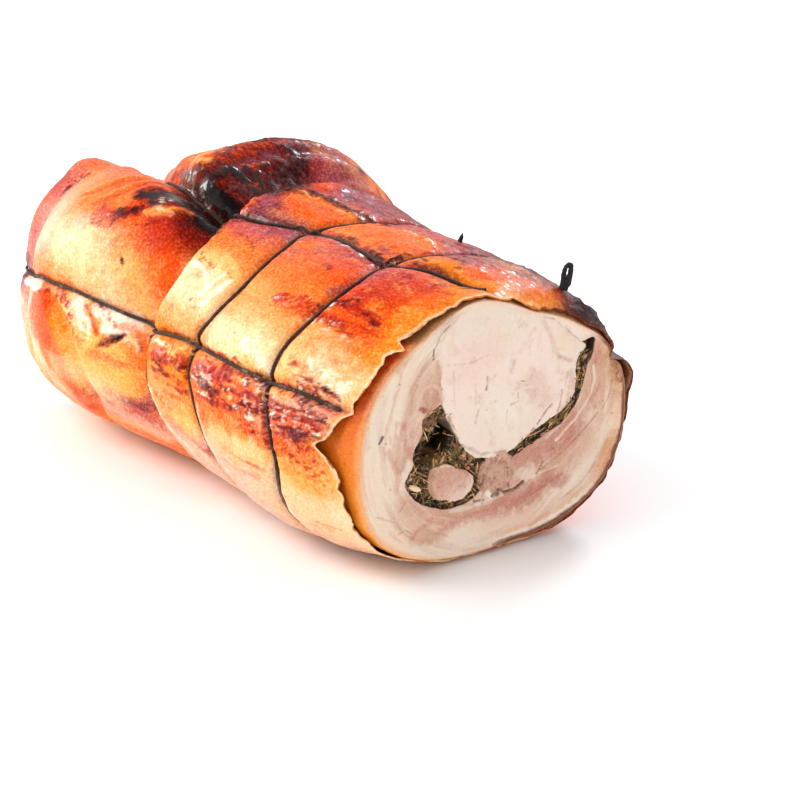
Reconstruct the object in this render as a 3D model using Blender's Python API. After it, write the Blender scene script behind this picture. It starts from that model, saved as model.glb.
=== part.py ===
"""Porchetta: a rolled, tied and roasted belly of pork with loin, fillet and herbs inside.

The roll lies along X on its flattened underside, cut face towards +X, up +Z.
All sizes are metres unless a name says millimetres or degrees.
"""
import math

import bmesh
import bpy
import numpy as np
from mathutils import Matrix, Vector
from mathutils.bvhtree import BVHTree

MM = 0.001
GAP = 0.35
# Where the middle of the underside is in the lengths below, mm.
ORIGIN = (-15.2, -2.0, 0.0)

# Roll sections, from the closed far end to the skin's front edge, in mm:
# station along the roll, sideways centre, half width, height.
SECTIONS = (
    (-150.0, -12.0, 86.0, 158.0),
    (-118.0, -6.0, 106.0, 168.0),
    (-90.0, -2.0, 114.0, 172.0),
    (-50.0, 0.0, 110.0, 176.0),
    (-12.0, 0.0, 101.0, 168.0),
    (20.0, 0.0, 101.0, 160.0),
    (70.0, 0.0, 104.0, 155.0),
    (120.0, 1.0, 105.0, 154.0),
    (166.0, 7.0, 97.0, 144.0),
    (182.0, 8.0, 94.0, 142.0),
)
CAP_LENGTH = 52.0
CAP_ROUNDNESS = 0.8
UPPER_SQUARENESS = 2.2
LOWER_SQUARENESS = ((-150, 2.0), (0, 2.02), (60, 2.12), (120, 2.3), (175, 2.5))
# The roll has settled on its underside: it is flat where it would reach below the table.
SETTLED = ((-150, 8), (110, 8), (176, -0.5))
REST_BLEND = 2.0

# Where each tying loop runs: angle round the roll in degrees (0 near side, 90 top), station in mm.
LOOP_FAR = ((-90, 2), (-40, 0), (-28, -2), (-12, -7), (0, -9), (12, -8), (24, -6), (38, -6), (50, -8),
            (62, -15), (80, -14), (100, -13), (125, -6), (160, 0), (200, 2), (270, 2))
LOOP_MIDDLE = ((-90, 58), (-60, 63), (-35, 62), (-24, 58), (-12, 53), (0, 46), (11, 40), (22, 40), (32, 48),
               (47, 54), (65, 49), (80, 39), (94, 44), (110, 46), (150, 50), (200, 55), (270, 58))
LOOP_FRONT = ((-90, 122), (-60, 122), (-29, 124), (-10, 128), (1, 125), (11, 121), (20, 114), (34, 116),
              (50, 120), (67, 117), (81, 109), (110, 114), (150, 120), (200, 122), (270, 122))
SKIN_EDGE = ((-90, 174), (-60, 176), (-36, 176), (-22, 174), (-10, 171), (0, 164), (4, 157), (9, 163),
             (15, 167), (30, 173), (55, 174), (75, 173), (90, 174), (130, 174), (160, 173), (200, 173),
             (270, 174))
# Where the lengthwise twines run: station in mm, angle in degrees.
TWINE_SIDE = ((-150, 14), (-102, 17), (-73, 16), (-48, 14), (-8, 13), (15, 17), (33, 19), (75, 21),
              (111, 21), (139, 22), (166, 21))
TWINE_TOP = ((-150, 88), (-110, 76), (-81, 70), (-58, 66), (-29, 63), (-8, 65), (16, 71), (39, 80), (72, 83),
             (109, 81), (135, 88), (166, 92))

CUT_STATION = 175.0
CUT_SLANT = -0.035
SKIN_THICKNESS = 3.0
POCKET_DEPTH = 5.0
# How far the bare meat at the cut lies inside the skin's outside, mm, by angle.
MEAT_INSET = ((-90, 3), (-60, 4), (-20, 5), (20, 6), (60, 5), (85, 3), (180, 3), (270, 3))

TWINE_RADIUS = 1.25
TWINE_SIDES = 5

# Cut face layout, mm, measured as (sideways, height) on the cut.
LOIN_CENTRE = (19.0, 96.5)
LOIN_HALF_WIDTH = 46.0
LOIN_HALF_HEIGHT = 38.5
LOIN_TILT = -16.0
FILLET_CENTRE = (-19.5, 47.5)
FILLET_HALF_WIDTH = 15.5
FILLET_HALF_HEIGHT = 10.5
FILLET_TILT = 3.0
HERB_POCKET = ((-20, 92), (-38, 88), (-40, 78), (-45, 69), (-46, 61), (-51, 54), (-46, 45), (-37, 38.5),
               (-27, 34), (-15, 32.5), (-3, 35.5), (4, 44), (1, 54), (-3, 62), (-6, 76))
# Herb seam between loin and belly: sideways, height, half thickness.
HERB_SEAM = ((20, 57, 4.0), (31, 60, 4.5), (43, 64, 4.5), (54, 68, 4.5), (62, 75, 4.5), (66, 85, 4.5),
             (67, 94, 4.5), (72, 103, 3.0))
# The filling runs back from the cut and draws in towards the closed end: station, size.
RUN = ((-60.0, 1.0), (-163.0, 0.7))
RUN_CENTRE = (0.0, 75.0)


def clear_scene():
    for item in list(bpy.data.objects):
        bpy.data.objects.remove(item, do_unlink=True)


def smooth_steps(x, table):
    """Monotone cubic through the named stations, flat beyond both ends."""
    xs = np.array([row[0] for row in table], dtype=float)
    ys = np.array([row[1] for row in table], dtype=float)
    step = np.diff(xs)
    slope = np.diff(ys) / step
    tangent = np.zeros_like(ys)
    same = slope[:-1] * slope[1:] > 0
    w1 = 2 * step[1:] + step[:-1]
    w2 = step[1:] + 2 * step[:-1]
    inner = np.zeros_like(slope[:-1])
    inner[same] = (w1 + w2)[same] / (w1[same] / slope[:-1][same] + w2[same] / slope[1:][same])
    tangent[1:-1] = inner
    x = np.clip(x, xs[0], xs[-1])
    k = np.clip(np.searchsorted(xs, x, side="right") - 1, 0, len(step) - 1)
    t = (x - xs[k]) / step[k]
    h = step[k]
    return ((1 + 2 * t) * (1 - t) ** 2 * ys[k] + t * (1 - t) ** 2 * h * tangent[k]
            + t * t * (3 - 2 * t) * ys[k + 1] + t * t * (t - 1) * h * tangent[k + 1])


def around(angle, table):
    """Value of a closed table (angle, value) at an angle in degrees."""
    wrapped = (np.asarray(angle, dtype=float) + 90.0) % 360.0 - 90.0
    return smooth_steps(wrapped, table)


def section(x):
    rows = [[(row[0], row[k]) for row in SECTIONS] for k in (1, 2, 3)]
    return [smooth_steps(x, row) for row in rows]


def bell(distance, width):
    return np.exp(-(distance / width) ** 2)


def two_sided_bell(distance, width_back, width_front):
    width = np.where(distance < 0, width_back, width_front)
    return np.exp(-(distance / width) ** 2)


def turn(angle, centre):
    """Signed difference of two angles, degrees, between -180 and 180."""
    return (angle - centre + 180.0) % 360.0 - 180.0


def lap_line(angle):
    """Station of the fold where the outer lap of skin ends at the far end."""
    return smooth_steps(angle, ((-60, -92), (-40, -82), (-26, -70), (-9, -72), (2, -77), (13, -90)))


def relief(x, angle):
    """Height of the skin over the plain roll, mm."""
    wide = 95.0 * math.pi / 180.0
    far = x - around(angle, LOOP_FAR)
    middle = x - around(angle, LOOP_MIDDLE)
    front = x - around(angle, LOOP_FRONT)
    side = turn(angle, smooth_steps(x, TWINE_SIDE)) * wide
    other_side = turn(angle, 180.0 - smooth_steps(x, TWINE_SIDE)) * wide
    top = turn(angle, smooth_steps(x, TWINE_TOP)) * wide
    under = turn(angle, -90.0) * wide
    upper = np.clip((angle + 10.0) / 40.0, 0.0, 1.0) * np.clip((200.0 - angle) / 40.0, 0.0, 1.0)
    height = -(5.0 + 8.0 * upper) * two_sided_bell(far, 13.0, 5.0)
    height -= 3.2 * bell(middle, 3.5) + 1.6 * bell(middle, 14.0)
    height -= 3.4 * bell(front, 3.5) + 2.2 * bell(front, 14.0)
    behind = x < 0
    height -= 3.0 * bell(side, 3.5) + 2.2 * bell(side, 12.0)
    height -= 3.0 * bell(other_side, 3.5) + 2.0 * bell(other_side, 12.0)
    height -= 3.0 * bell(under, 3.5)
    cleft = np.clip(-far / 12.0, 0.0, 1.0)
    height -= (2.6 * bell(top, 3.5) + 1.8 * bell(top, 12.0)) * (1 - cleft)
    height -= cleft * (13.0 * bell(top, 9.0) + 3.0 * bell(top, 3.5))
    bulb = bell(x + 75.0, 60.0) * bell(turn(angle, 40.0), 24.0)
    height += 7.0 * bulb + 11.0 * bell(x + 158.0, 22.0) * bell(turn(angle, 66.0), 11.0)
    height += 4.5 * bell(x + 166.0, 26.0) * bell(turn(angle, 46.0), 12.0)
    height -= 2.5 * bell(x + 160.0, 20.0) * bell(turn(angle, 22.0), 8.0)
    height += 4.0 * bell(x + 140.0, 35.0) * bell(turn(angle, -26.0), 14.0)
    back_bulb = two_sided_bell(x + 52.0, 29.0, 34.0) * bell(turn(angle, 102.0), 34.0)
    ridge = np.abs(np.sin((x + 85.0) * math.pi / 27.0))
    height += back_bulb * (4.0 + 5.0 * ridge)
    height -= 20.0 * np.clip((-84.0 - x) / 22.0, 0.0, 1.0) * bell(turn(angle, 112.0), 34.0)
    height -= 3.5 * bell(x + 38.0, 26.0) * bell(turn(angle, 6.0), 7.0)
    lap = x - lap_line(angle)
    on_lap = np.clip((angle + 65.0) / 15.0, 0.0, 1.0) * np.clip((15.0 - angle) / 6.0, 0.0, 1.0)
    height -= 5.0 * on_lap * behind * two_sided_bell(lap, 4.0, 8.0)
    seam = turn(angle, 160.0) * wide
    near_cut = np.clip((x - 120.0) / 40.0, 0.0, 1.0)
    height -= (2.0 + 3.0 * near_cut) * bell(seam, 4.0)
    height += 5.0 * near_cut * bell(turn(angle, 172.0), 9.0)
    return height


def twine_room(x, angle):
    """Depth of the twines' grooves across the flat underside, with a pit where two cross, mm."""
    along = np.abs(turn(angle, -90.0)) * 1.6
    loop = np.full_like(np.asarray(x, dtype=float), 500.0)
    for table in (LOOP_FAR, LOOP_MIDDLE, LOOP_FRONT):
        loop = np.minimum(loop, np.abs(x - around(angle, table)))
    under = np.clip((52.0 - np.abs(turn(angle, -90.0))) / 20.0, 0.0, 1.0)
    pit = 3.4 * bell(loop, 9.0) * bell(along, 4.5)
    depth = under * (4.1 * bell(loop, 4.0) + 4.1 * bell(along, 4.0) + pit)
    return np.where(depth > 0.05, depth, 0.0)


def roll_point(x, angle, fullness=1.0, lift=0.0):
    """Point of the plain roll, lifted off it by some mm."""
    x = np.asarray(x, dtype=float)
    centre, half_width, height = section(x)
    settled = smooth_steps(x, SETTLED)
    half_height = 0.5 * (height + settled)
    rad = np.radians(angle)
    c, s = np.cos(rad), np.sin(rad)
    square = np.where(s > 0, UPPER_SQUARENESS, smooth_steps(x, LOWER_SQUARENESS))
    reach = (np.abs(c) ** square + np.abs(s) ** square) ** (-1.0 / square)
    y = -half_width * reach * c
    z = half_height * reach * s
    radius = np.sqrt(y * y + z * z)
    scale = fullness * (1.0 + lift / radius)
    y = centre + y * scale
    z = half_height - settled + z * scale
    near = np.clip(z, -REST_BLEND, REST_BLEND)
    z = np.where(z > REST_BLEND, z, (near + REST_BLEND) ** 2 / (4.0 * REST_BLEND))
    return np.stack([x, y, z], axis=-1)


def skin_point(x, angle, fullness=1.0, inset=0.0):
    """Point of the roll's outside, or of a surface set in from it, mm."""
    fade = np.clip((fullness - 0.35) / 0.5, 0.0, 1.0)
    point = roll_point(x, angle, fullness, relief(x, angle) * fade - inset)
    point[..., 2] += twine_room(x, angle)
    return point


def meat_point(x, angle, inset=0.0):
    """Point of the bare meat inside the skin near the cut, mm."""
    seam = bell(turn(angle, 160.0), 3.0)
    return roll_point(x, angle, 1.0, -around(angle, MEAT_INSET) - 3.0 * seam - inset)


def grid_angle(column, x):
    """Angle of a mesh column, bent so that columns follow the lengthwise twines."""
    side = float(smooth_steps(x, TWINE_SIDE))
    top = float(smooth_steps(x, TWINE_TOP))
    return np.interp(column, (-90.0, 20.0, 80.0, 158.0, 270.0), (-90.0, side, top, 180.0 - side, 270.0))


def grid_columns():
    """Column labels, with one column exactly on each lengthwise twine."""
    spans = ((-90.0, 20.0, 15), (20.0, 80.0, 9), (80.0, 158.0, 11), (158.0, 270.0, 15))
    labels = []
    for start, end, count in spans:
        labels.extend(start + (end - start) * k / count for k in range(count))
    return np.array(labels)


def shifted_station(x, angle):
    """Station of a mesh row, bent so that rows follow the tying loops and the skin's edge."""
    anchors = [-80.0, -6.0, 50.0, 119.0, 171.0]
    shifts = [np.zeros_like(angle)]
    for nominal, table in zip(anchors[1:], (LOOP_FAR, LOOP_MIDDLE, LOOP_FRONT, SKIN_EDGE)):
        shifts.append(around(angle, table) - nominal)
    out = np.zeros_like(angle)
    for k in range(len(angle)):
        out[k] = x + np.interp(x, anchors, [shift[k] for shift in shifts])
    return out


def outside_rows():
    """All rows of the outside from the far end to the skin's edge, mm."""
    labels = grid_columns()
    rows = []
    first = SECTIONS[0][0]
    for k in range(1, 7):
        phi = 0.5 * math.pi * k / 7
        x = first - CAP_LENGTH * math.cos(phi)
        fullness = math.sin(phi) ** CAP_ROUNDNESS
        angle = grid_angle(labels, first)
        rows.append(skin_point(np.full_like(angle, x), angle, fullness))
    stations = [-150, -137, -123, -110, -99, -89, -80, -71, -62, -53, -44, -35, -27, -20, -14, -9, -6, -3, 0,
                5, 14, 27, 40, 46, 50, 54, 60, 72, 87, 102, 113, 119, 125, 134, 148, 160, 167, 171]
    for x in stations:
        angle = grid_angle(labels, x)
        rows.append(skin_point(shifted_station(float(x), angle), angle))
    return rows


def cut_station(sideways, edge):
    """Station of the cut's rim: the slanted cut, or just past the skin's edge."""
    return np.maximum(CUT_STATION + CUT_SLANT * sideways, edge + 2.0)


def edge_rows():
    """Rows under the skin's front edge, down the bare meat to the cut, mm."""
    labels = grid_columns()
    angle = grid_angle(labels, 166.0)
    edge = shifted_station(171.0, angle)
    rows = [skin_point(edge, angle, inset=SKIN_THICKNESS * 0.6)]
    rows.append(skin_point(edge - POCKET_DEPTH, angle, inset=SKIN_THICKNESS))
    rows.append(meat_point(edge - POCKET_DEPTH, angle, 1.5))
    rows.append(meat_point(edge + 1.0, angle, 0.6))
    face = meat_point(np.full_like(angle, CUT_STATION), angle, 2.2)
    face[:, 0] = cut_station(face[:, 1], edge)
    rows.append(face)
    return rows


def finish(name, verts, faces, colour, roughness, smooth=40.0):
    mesh = bpy.data.meshes.new(name)
    mesh.from_pydata([Vector(v) * MM for v in verts], [], faces)
    mesh.validate()
    obj = bpy.data.objects.new(name, mesh)
    bpy.context.scene.collection.objects.link(obj)
    bm = bmesh.new()
    bm.from_mesh(mesh)
    bmesh.ops.recalc_face_normals(bm, faces=bm.faces)
    bm.to_mesh(mesh)
    bm.free()
    dress(obj, colour, roughness)
    soften(obj, smooth)
    return obj


def dress(obj, colour, roughness):
    material = bpy.data.materials.new(obj.name + "_finish")
    material.use_nodes = True
    shader = material.node_tree.nodes["Principled BSDF"]
    shader.inputs["Base Color"].default_value = (*colour, 1.0)
    shader.inputs["Roughness"].default_value = roughness
    obj.data.materials.clear()
    obj.data.materials.append(material)


def soften(obj, degrees):
    obj.data.shade_smooth()
    obj.data.set_sharp_from_angle(angle=math.radians(degrees))


def loft(rows, closed_start=True, closed_end=True):
    """Faces of a tube through rows of equal length, with fans or caps at its ends."""
    count = len(rows[0])
    verts = [tuple(p) for row in rows for p in row]
    faces = []
    for r in range(len(rows) - 1):
        for k in range(count):
            a = r * count + k
            b = r * count + (k + 1) % count
            faces.append((a, b, b + count, a + count))
    if closed_start:
        faces.append(tuple(range(count - 1, -1, -1)))
    if closed_end:
        last = (len(rows) - 1) * count
        faces.append(tuple(last + k for k in range(count)))
    return verts, faces


def ellipse_outline(centre, half_width, half_height, tilt, square, count, grow=0.0):
    """Closed outline on the cut, as (sideways, height) pairs."""
    points = []
    for k in range(count):
        t = 2 * math.pi * k / count
        c, s = math.cos(t), math.sin(t)
        reach = (abs(c) ** square + abs(s) ** square) ** (-1.0 / square)
        p = (half_width + grow) * reach * c
        q = (half_height + grow) * reach * s
        a = math.radians(tilt)
        points.append((centre[0] + p * math.cos(a) - q * math.sin(a),
                       centre[1] + p * math.sin(a) + q * math.cos(a)))
    return points


def band_outline(path, grow=0.0):
    """Closed outline of a band of varying half thickness along a path on the cut."""
    left, right = [], []
    for k, (p, q, half) in enumerate(path):
        before = path[max(k - 1, 0)]
        after = path[min(k + 1, len(path) - 1)]
        tangent = Vector((after[0] - before[0], after[1] - before[1])).normalized()
        normal = Vector((-tangent.y, tangent.x))
        spot = Vector((p, q))
        if k == 0:
            spot -= tangent * grow
        if k == len(path) - 1:
            spot += tangent * grow
        left.append(tuple(spot + normal * (half + grow)))
        right.append(tuple(spot - normal * (half + grow)))
    return left + right[::-1]


def smooth_outline(points, grow=0.0):
    """Closed smooth curve through points on the cut, moved outwards by a little."""
    out = []
    count = len(points)
    for k in range(count):
        a, b, c, d = (Vector(points[(k + n) % count]) for n in (-1, 0, 1, 2))
        for t in (0.0, 0.5):
            out.append(0.5 * (2 * b + (c - a) * t + (2 * a - 5 * b + 4 * c - d) * t * t
                              + (3 * b - a - 3 * c + d) * t ** 3))
    grown = []
    for k, spot in enumerate(out):
        tangent = (out[(k + 1) % len(out)] - out[k - 1]).normalized()
        grown.append(tuple(spot - Vector((-tangent.y, tangent.x)) * grow * outline_sense(points)))
    return grown


def outline_sense(points):
    """1 for an outline that runs anticlockwise, -1 for clockwise."""
    area = sum(points[k - 1][0] * points[k][1] - points[k][0] * points[k - 1][1] for k in range(len(points)))
    return math.copysign(1.0, area)


def running_piece(name, outline, beyond, colour, roughness):
    """A piece that shows at the cut and runs back inside the roll; beyond is how far it passes either end."""
    rows = []
    for station, size in ((None, 1.0), *RUN):
        row = []
        for p, q in outline:
            y = RUN_CENTRE[0] + (p - RUN_CENTRE[0]) * size
            z = RUN_CENTRE[1] + (q - RUN_CENTRE[1]) * size
            x = CUT_STATION + CUT_SLANT * p + beyond if station is None else station
            if station == RUN[-1][0]:
                x -= beyond * 0.1
            row.append((x, y, z))
        rows.append(row)
    verts, faces = loft(rows)
    return finish(name, verts, faces, colour, roughness, 30.0)


def cut_away(target, cutter):
    change = target.modifiers.new("Cut", "BOOLEAN")
    change.operation = "DIFFERENCE"
    change.solver = "EXACT"
    change.object = cutter
    cutter.hide_render = True
    cutter.display_type = "WIRE"


def tree_of(obj):
    points = [v.co.copy() for v in obj.data.vertices]
    polygons = [tuple(p.vertices) for p in obj.data.polygons]
    return BVHTree.FromPolygons(points, polygons)


def lay_on(tree, outer, inner, lift):
    """Drop a point from outside on to the skin and lift it clear of it, metres."""
    start = Vector(outer) * MM
    aim = (Vector(inner) * MM - start).normalized()
    spot, normal, _, _ = tree.ray_cast(start, aim)
    return spot + normal * (lift * MM)


def tube(name, centres, closed, radius, colour):
    """A round twine along a chain of centres, metres."""
    count = len(centres)
    rows = []
    for k in range(count):
        if closed:
            before, after = centres[k - 1], centres[(k + 1) % count]
        else:
            before, after = centres[max(k - 1, 0)], centres[min(k + 1, count - 1)]
        tangent = (after - before).normalized()
        side = tangent.cross(Vector((0.13, 0.21, 0.97))).normalized()
        if abs(tangent.z) > 0.8:
            side = tangent.cross(Vector((0.97, 0.13, 0.21))).normalized()
        rows.append((centres[k], tangent, side))
    frames = []
    side = rows[0][2]
    for centre, tangent, _ in rows:
        side = (side - tangent * side.dot(tangent)).normalized()
        frames.append((centre, side, tangent.cross(side)))
    twist = 0.0
    if closed:
        last_side = frames[-1][1]
        first = frames[0]
        flat = (last_side - rows[0][1] * last_side.dot(rows[0][1])).normalized()
        twist = -math.atan2(flat.dot(first[2]), flat.dot(first[1]))
    rings = []
    for k, (centre, side, cross) in enumerate(frames):
        extra = twist * k / count
        ring = []
        for n in range(TWINE_SIDES):
            t = 2 * math.pi * n / TWINE_SIDES + extra
            spot = centre + (side * math.cos(t) + cross * math.sin(t)) * (radius * MM)
            ring.append(tuple(spot / MM))
        rings.append(ring)
    if closed:
        verts = [p for ring in rings for p in ring]
        faces = []
        for r in range(count):
            for n in range(TWINE_SIDES):
                a = r * TWINE_SIDES + n
                b = r * TWINE_SIDES + (n + 1) % TWINE_SIDES
                c = ((r + 1) % count) * TWINE_SIDES
                faces.append((a, b, c + (n + 1) % TWINE_SIDES, c + n))
        return finish(name, verts, faces, colour, 0.8, 50.0)
    verts, faces = loft(rings)
    return finish(name, verts, faces, colour, 0.8, 50.0)


def push_clear(trees, centres, closed, need):
    """Move a chain of centres away from the bodies in the trees until it clears them, metres."""
    count = len(centres)
    spans = range(count if closed else count - 1)
    for _ in range(30):
        moved = False
        for k in spans:
            after = (k + 1) % count
            for share in (0.0, 0.25, 0.5, 0.75, 1.0):
                spot = centres[k].lerp(centres[after], share)
                for tree in trees:
                    nearest, normal, _, distance = tree.find_nearest(spot)
                    if distance > need:
                        continue
                    away = (spot - nearest).normalized()
                    if away.dot(normal) < 0:
                        away, distance = normal, -distance
                    push = away * (need - distance + 0.00001)
                    centres[k] = centres[k] + push * (1.0 - share)
                    centres[after] = centres[after] + push * share
                    spot = centres[k].lerp(centres[after], share)
                    moved = True
        if not moved:
            break
    return centres


def outside_aim(x, angle, fullness=1.0):
    """A point well outside the skin and one well inside, to drop the twine between, mm."""
    outer = skin_point(x, angle, fullness, inset=-25.0)
    under = np.clip((55.0 - abs(turn(angle, -90.0))) / 20.0, 0.0, 1.0)
    outer[2] -= 30.0 * under
    inner = roll_point(x, angle, fullness * 0.5)
    inner[2] += 10.0 * under
    return outer, inner


def loop_centres(tree, table):
    """Centres of a tying loop laid in its groove."""
    centres = []
    for label in grid_columns():
        x = float(around(label, table))
        for _ in range(3):
            angle = float(grid_angle(label, x))
            x = float(around(angle, table))
        outer, inner = outside_aim(x, angle)
        centres.append(lay_on(tree, outer, inner, TWINE_RADIUS * 1.1 + GAP))
    return centres


def rise_over(distance):
    """Share of a full step over another twine, by distance from the crossing, mm."""
    t = np.clip((9.0 - abs(distance)) / 5.5, 0.0, 1.0)
    return float(t * t * (3.0 - 2.0 * t))


def lengthwise_centres(tree, angle_of, angle_back, over_pole):
    """Centres of a twine laid along the roll, round its far end and back."""
    step = 2.2 * TWINE_RADIUS + GAP
    first = SECTIONS[0][0]
    centres = []
    out, back = [], []
    for side, chain in ((angle_of, out), (angle_back, back)):
        crossings = []
        for table in (LOOP_FAR, LOOP_MIDDLE, LOOP_FRONT):
            x = float(around(side(0.0), table))
            for _ in range(4):
                x = float(around(side(x), table))
            crossings.append(x)
        stations = [-150, -130, -119, -108, -90, -70, -50, -36, -22, 24, 68, 86, 102, 143, 155, 164]
        for crossing in crossings:
            stations.extend(crossing + d for d in (-11, -7, -3.5, 0, 3.5, 7, 11))
        for x in sorted(stations, reverse=True):
            outer, inner = outside_aim(x, side(x))
            lift = sum(rise_over(x - crossing) for crossing in crossings)
            chain.append(lay_on(tree, outer, inner, TWINE_RADIUS * 1.1 + GAP + step * lift))
        for k in range(6, 0, -1):
            phi = 0.5 * math.pi * k / 7
            fullness = math.sin(phi) ** CAP_ROUNDNESS
            x = first - CAP_LENGTH * math.cos(phi)
            outer, inner = outside_aim(x, side(first), fullness)
            outer[0] -= 30.0 * math.cos(phi)
            lift = rise_over(60.0 * phi) if over_pole else 0.0
            chain.append(lay_on(tree, outer, inner, TWINE_RADIUS * 1.1 + GAP + step * lift))
    pole = np.array([first - CAP_LENGTH, SECTIONS[0][1], 0.5 * (SECTIONS[0][3] - SETTLED[0][1])])
    lift = step if over_pole else 0.0
    top = lay_on(tree, pole - np.array([30.0, 0, 0]), pole + np.array([60.0, 0, 0]),
                 TWINE_RADIUS * 1.1 + GAP + lift)
    centres.extend(out)
    centres.append(top)
    centres.extend(back[::-1])
    return centres


def tail_centres(tree, x, angle, height, lean):
    """Centres of a burnt end of twine standing up from the skin."""
    outer, inner = outside_aim(x, angle)
    base = lay_on(tree, outer, inner, TWINE_RADIUS * 1.5 + GAP)
    reach = Vector(lean).normalized()
    chain = []
    for k in range(6):
        share = k / 5
        bend = Vector((0.0012, -0.0008, 0.0)) * math.sin(share * math.pi)
        chain.append(base + reach * (height * MM * share) + bend)
    return chain


def build_belly():
    rows = outside_rows() + edge_rows()
    pole = np.array([SECTIONS[0][0] - CAP_LENGTH, SECTIONS[0][1], 0.5 * (SECTIONS[0][3] - SETTLED[0][1])])
    count = len(rows[0])
    verts = [tuple(p) for row in rows for p in row] + [tuple(pole)]
    faces = []
    for r in range(len(rows) - 1):
        for k in range(count):
            a = r * count + k
            b = r * count + (k + 1) % count
            faces.append((a, b, b + count, a + count))
    tip = len(verts) - 1
    for k in range(count):
        faces.append((tip, (k + 1) % count, k))
    last = (len(rows) - 1) * count
    faces.append(tuple(last + k for k in range(count)))
    return finish("belly_roll", verts, faces, (0.72, 0.36, 0.16), 0.4, 60.0)


def build_filling(belly):
    """Loin, fillet and the two herb layers, each a piece of its own in a channel cut for it."""
    def loin(grow):
        return ellipse_outline(LOIN_CENTRE, LOIN_HALF_WIDTH, LOIN_HALF_HEIGHT, LOIN_TILT, 2.1, 32, grow)

    def fillet(grow):
        return ellipse_outline(FILLET_CENTRE, FILLET_HALF_WIDTH, FILLET_HALF_HEIGHT, FILLET_TILT, 2.2, 20,
                               grow)

    def pocket(grow):
        return smooth_outline(HERB_POCKET, grow)

    def seam(grow):
        return band_outline(HERB_SEAM, grow)

    meat, herbs = (0.78, 0.55, 0.46), (0.13, 0.10, 0.05)
    pieces = {"loin": (loin, meat, 0.6), "fillet": (fillet, meat, 0.6),
              "herb_pocket": (pocket, herbs, 0.9), "herb_seam": (seam, herbs, 0.9)}
    made, cutters = {}, {}
    for name, (outline, colour, roughness) in pieces.items():
        made[name] = running_piece(name, outline(0.0), 0.0, colour, roughness)
        cutters[name] = running_piece(name + "_room", outline(GAP), 8.0, colour, roughness)
        cut_away(belly, cutters[name])
    for name in ("herb_pocket", "herb_seam"):
        cut_away(made[name], cutters["loin"])
    cut_away(made["herb_pocket"], cutters["fillet"])


def build_twine(belly):
    """Three tying loops, two lengthwise twines and two burnt ends."""
    tree = tree_of(belly)
    burnt = (0.07, 0.05, 0.045)
    trees = [tree]
    need = (TWINE_RADIUS + GAP) * MM
    for name, table in (("twine_loop_far", LOOP_FAR), ("twine_loop_middle", LOOP_MIDDLE),
                        ("twine_loop_front", LOOP_FRONT)):
        centres = push_clear(trees[:1], loop_centres(tree, table), True, need)
        trees.append(tree_of(tube(name, centres, True, TWINE_RADIUS, burnt)))

    def side(x):
        return float(smooth_steps(x, TWINE_SIDE))

    def other_side(x):
        return 180.0 - side(x)

    def top(x):
        return float(smooth_steps(x, TWINE_TOP))

    def under(_):
        return -90.0

    centres = push_clear(trees, lengthwise_centres(tree, side, other_side, False), False, need)
    trees.append(tree_of(tube("twine_sides", centres, False, TWINE_RADIUS, burnt)))
    centres = push_clear(trees, lengthwise_centres(tree, top, under, True), False, need)
    tube("twine_top", centres, False, TWINE_RADIUS, burnt)
    tube("twine_end_front", tail_centres(tree, 143.0, 131.0, 13.0, (0.1, 0.15, 1.0)), False,
         TWINE_RADIUS * 1.5, burnt)
    tube("twine_end_back", tail_centres(tree, 88.0, 118.0, 4.5, (0.2, 0.3, 1.0)), False, TWINE_RADIUS, burnt)


def centre_all():
    """Put the middle of the underside at the origin."""
    shift = Matrix.Translation(Vector(ORIGIN) * -MM)
    for item in bpy.data.objects:
        item.data.transform(shift)


if __name__ == "__main__":
    clear_scene()
    roll = build_belly()
    build_twine(roll)
    build_filling(roll)
    centre_all()
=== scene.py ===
"""Looks of a rolled, tied and roasted pork belly: rind, cut meat, herbs, twine, floor and light.

Sizes of the roast are millimetres in the roll's own layout (X along the roll towards the cut, Z up,
angles in degrees round the roll: 0 near side, 90 top). `place` turns them into metres in the frame.
"""
import logging
import math
from collections.abc import Callable
from dataclasses import dataclass
from enum import Enum

import bmesh
import bpy
import numpy as np
from mathutils import Matrix, Vector


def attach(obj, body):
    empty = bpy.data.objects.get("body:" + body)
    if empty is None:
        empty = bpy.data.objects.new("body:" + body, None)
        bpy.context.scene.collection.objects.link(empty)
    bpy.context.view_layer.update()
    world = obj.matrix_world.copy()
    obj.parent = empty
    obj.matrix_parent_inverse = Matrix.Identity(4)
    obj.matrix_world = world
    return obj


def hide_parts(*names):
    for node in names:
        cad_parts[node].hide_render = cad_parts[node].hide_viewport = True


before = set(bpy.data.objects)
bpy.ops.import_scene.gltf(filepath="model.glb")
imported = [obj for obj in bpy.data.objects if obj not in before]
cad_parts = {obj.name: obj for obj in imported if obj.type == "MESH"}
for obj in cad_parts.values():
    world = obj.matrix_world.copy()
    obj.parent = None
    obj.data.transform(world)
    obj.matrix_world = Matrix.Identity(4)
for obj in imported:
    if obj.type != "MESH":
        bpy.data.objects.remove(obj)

LOG = logging.getLogger("porchetta")
MM = 0.001
ORIGIN = np.array((-15.2, -2.0, 0.0))
ARC = 1.72  # mm round the roll for each degree, about
UNDER = -90.0  # angle of the underside, where every ring of points starts
FULL_TURN = 360.0
MERGE, SLIVER = 2e-6, 1e-7  # m: points closer than this are one, and faces thinner than this go


def place(points: np.ndarray) -> np.ndarray:
    """Turn millimetres in the roll's layout into metres in the frame."""
    return (np.asarray(points, dtype=float) - ORIGIN) * MM


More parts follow.
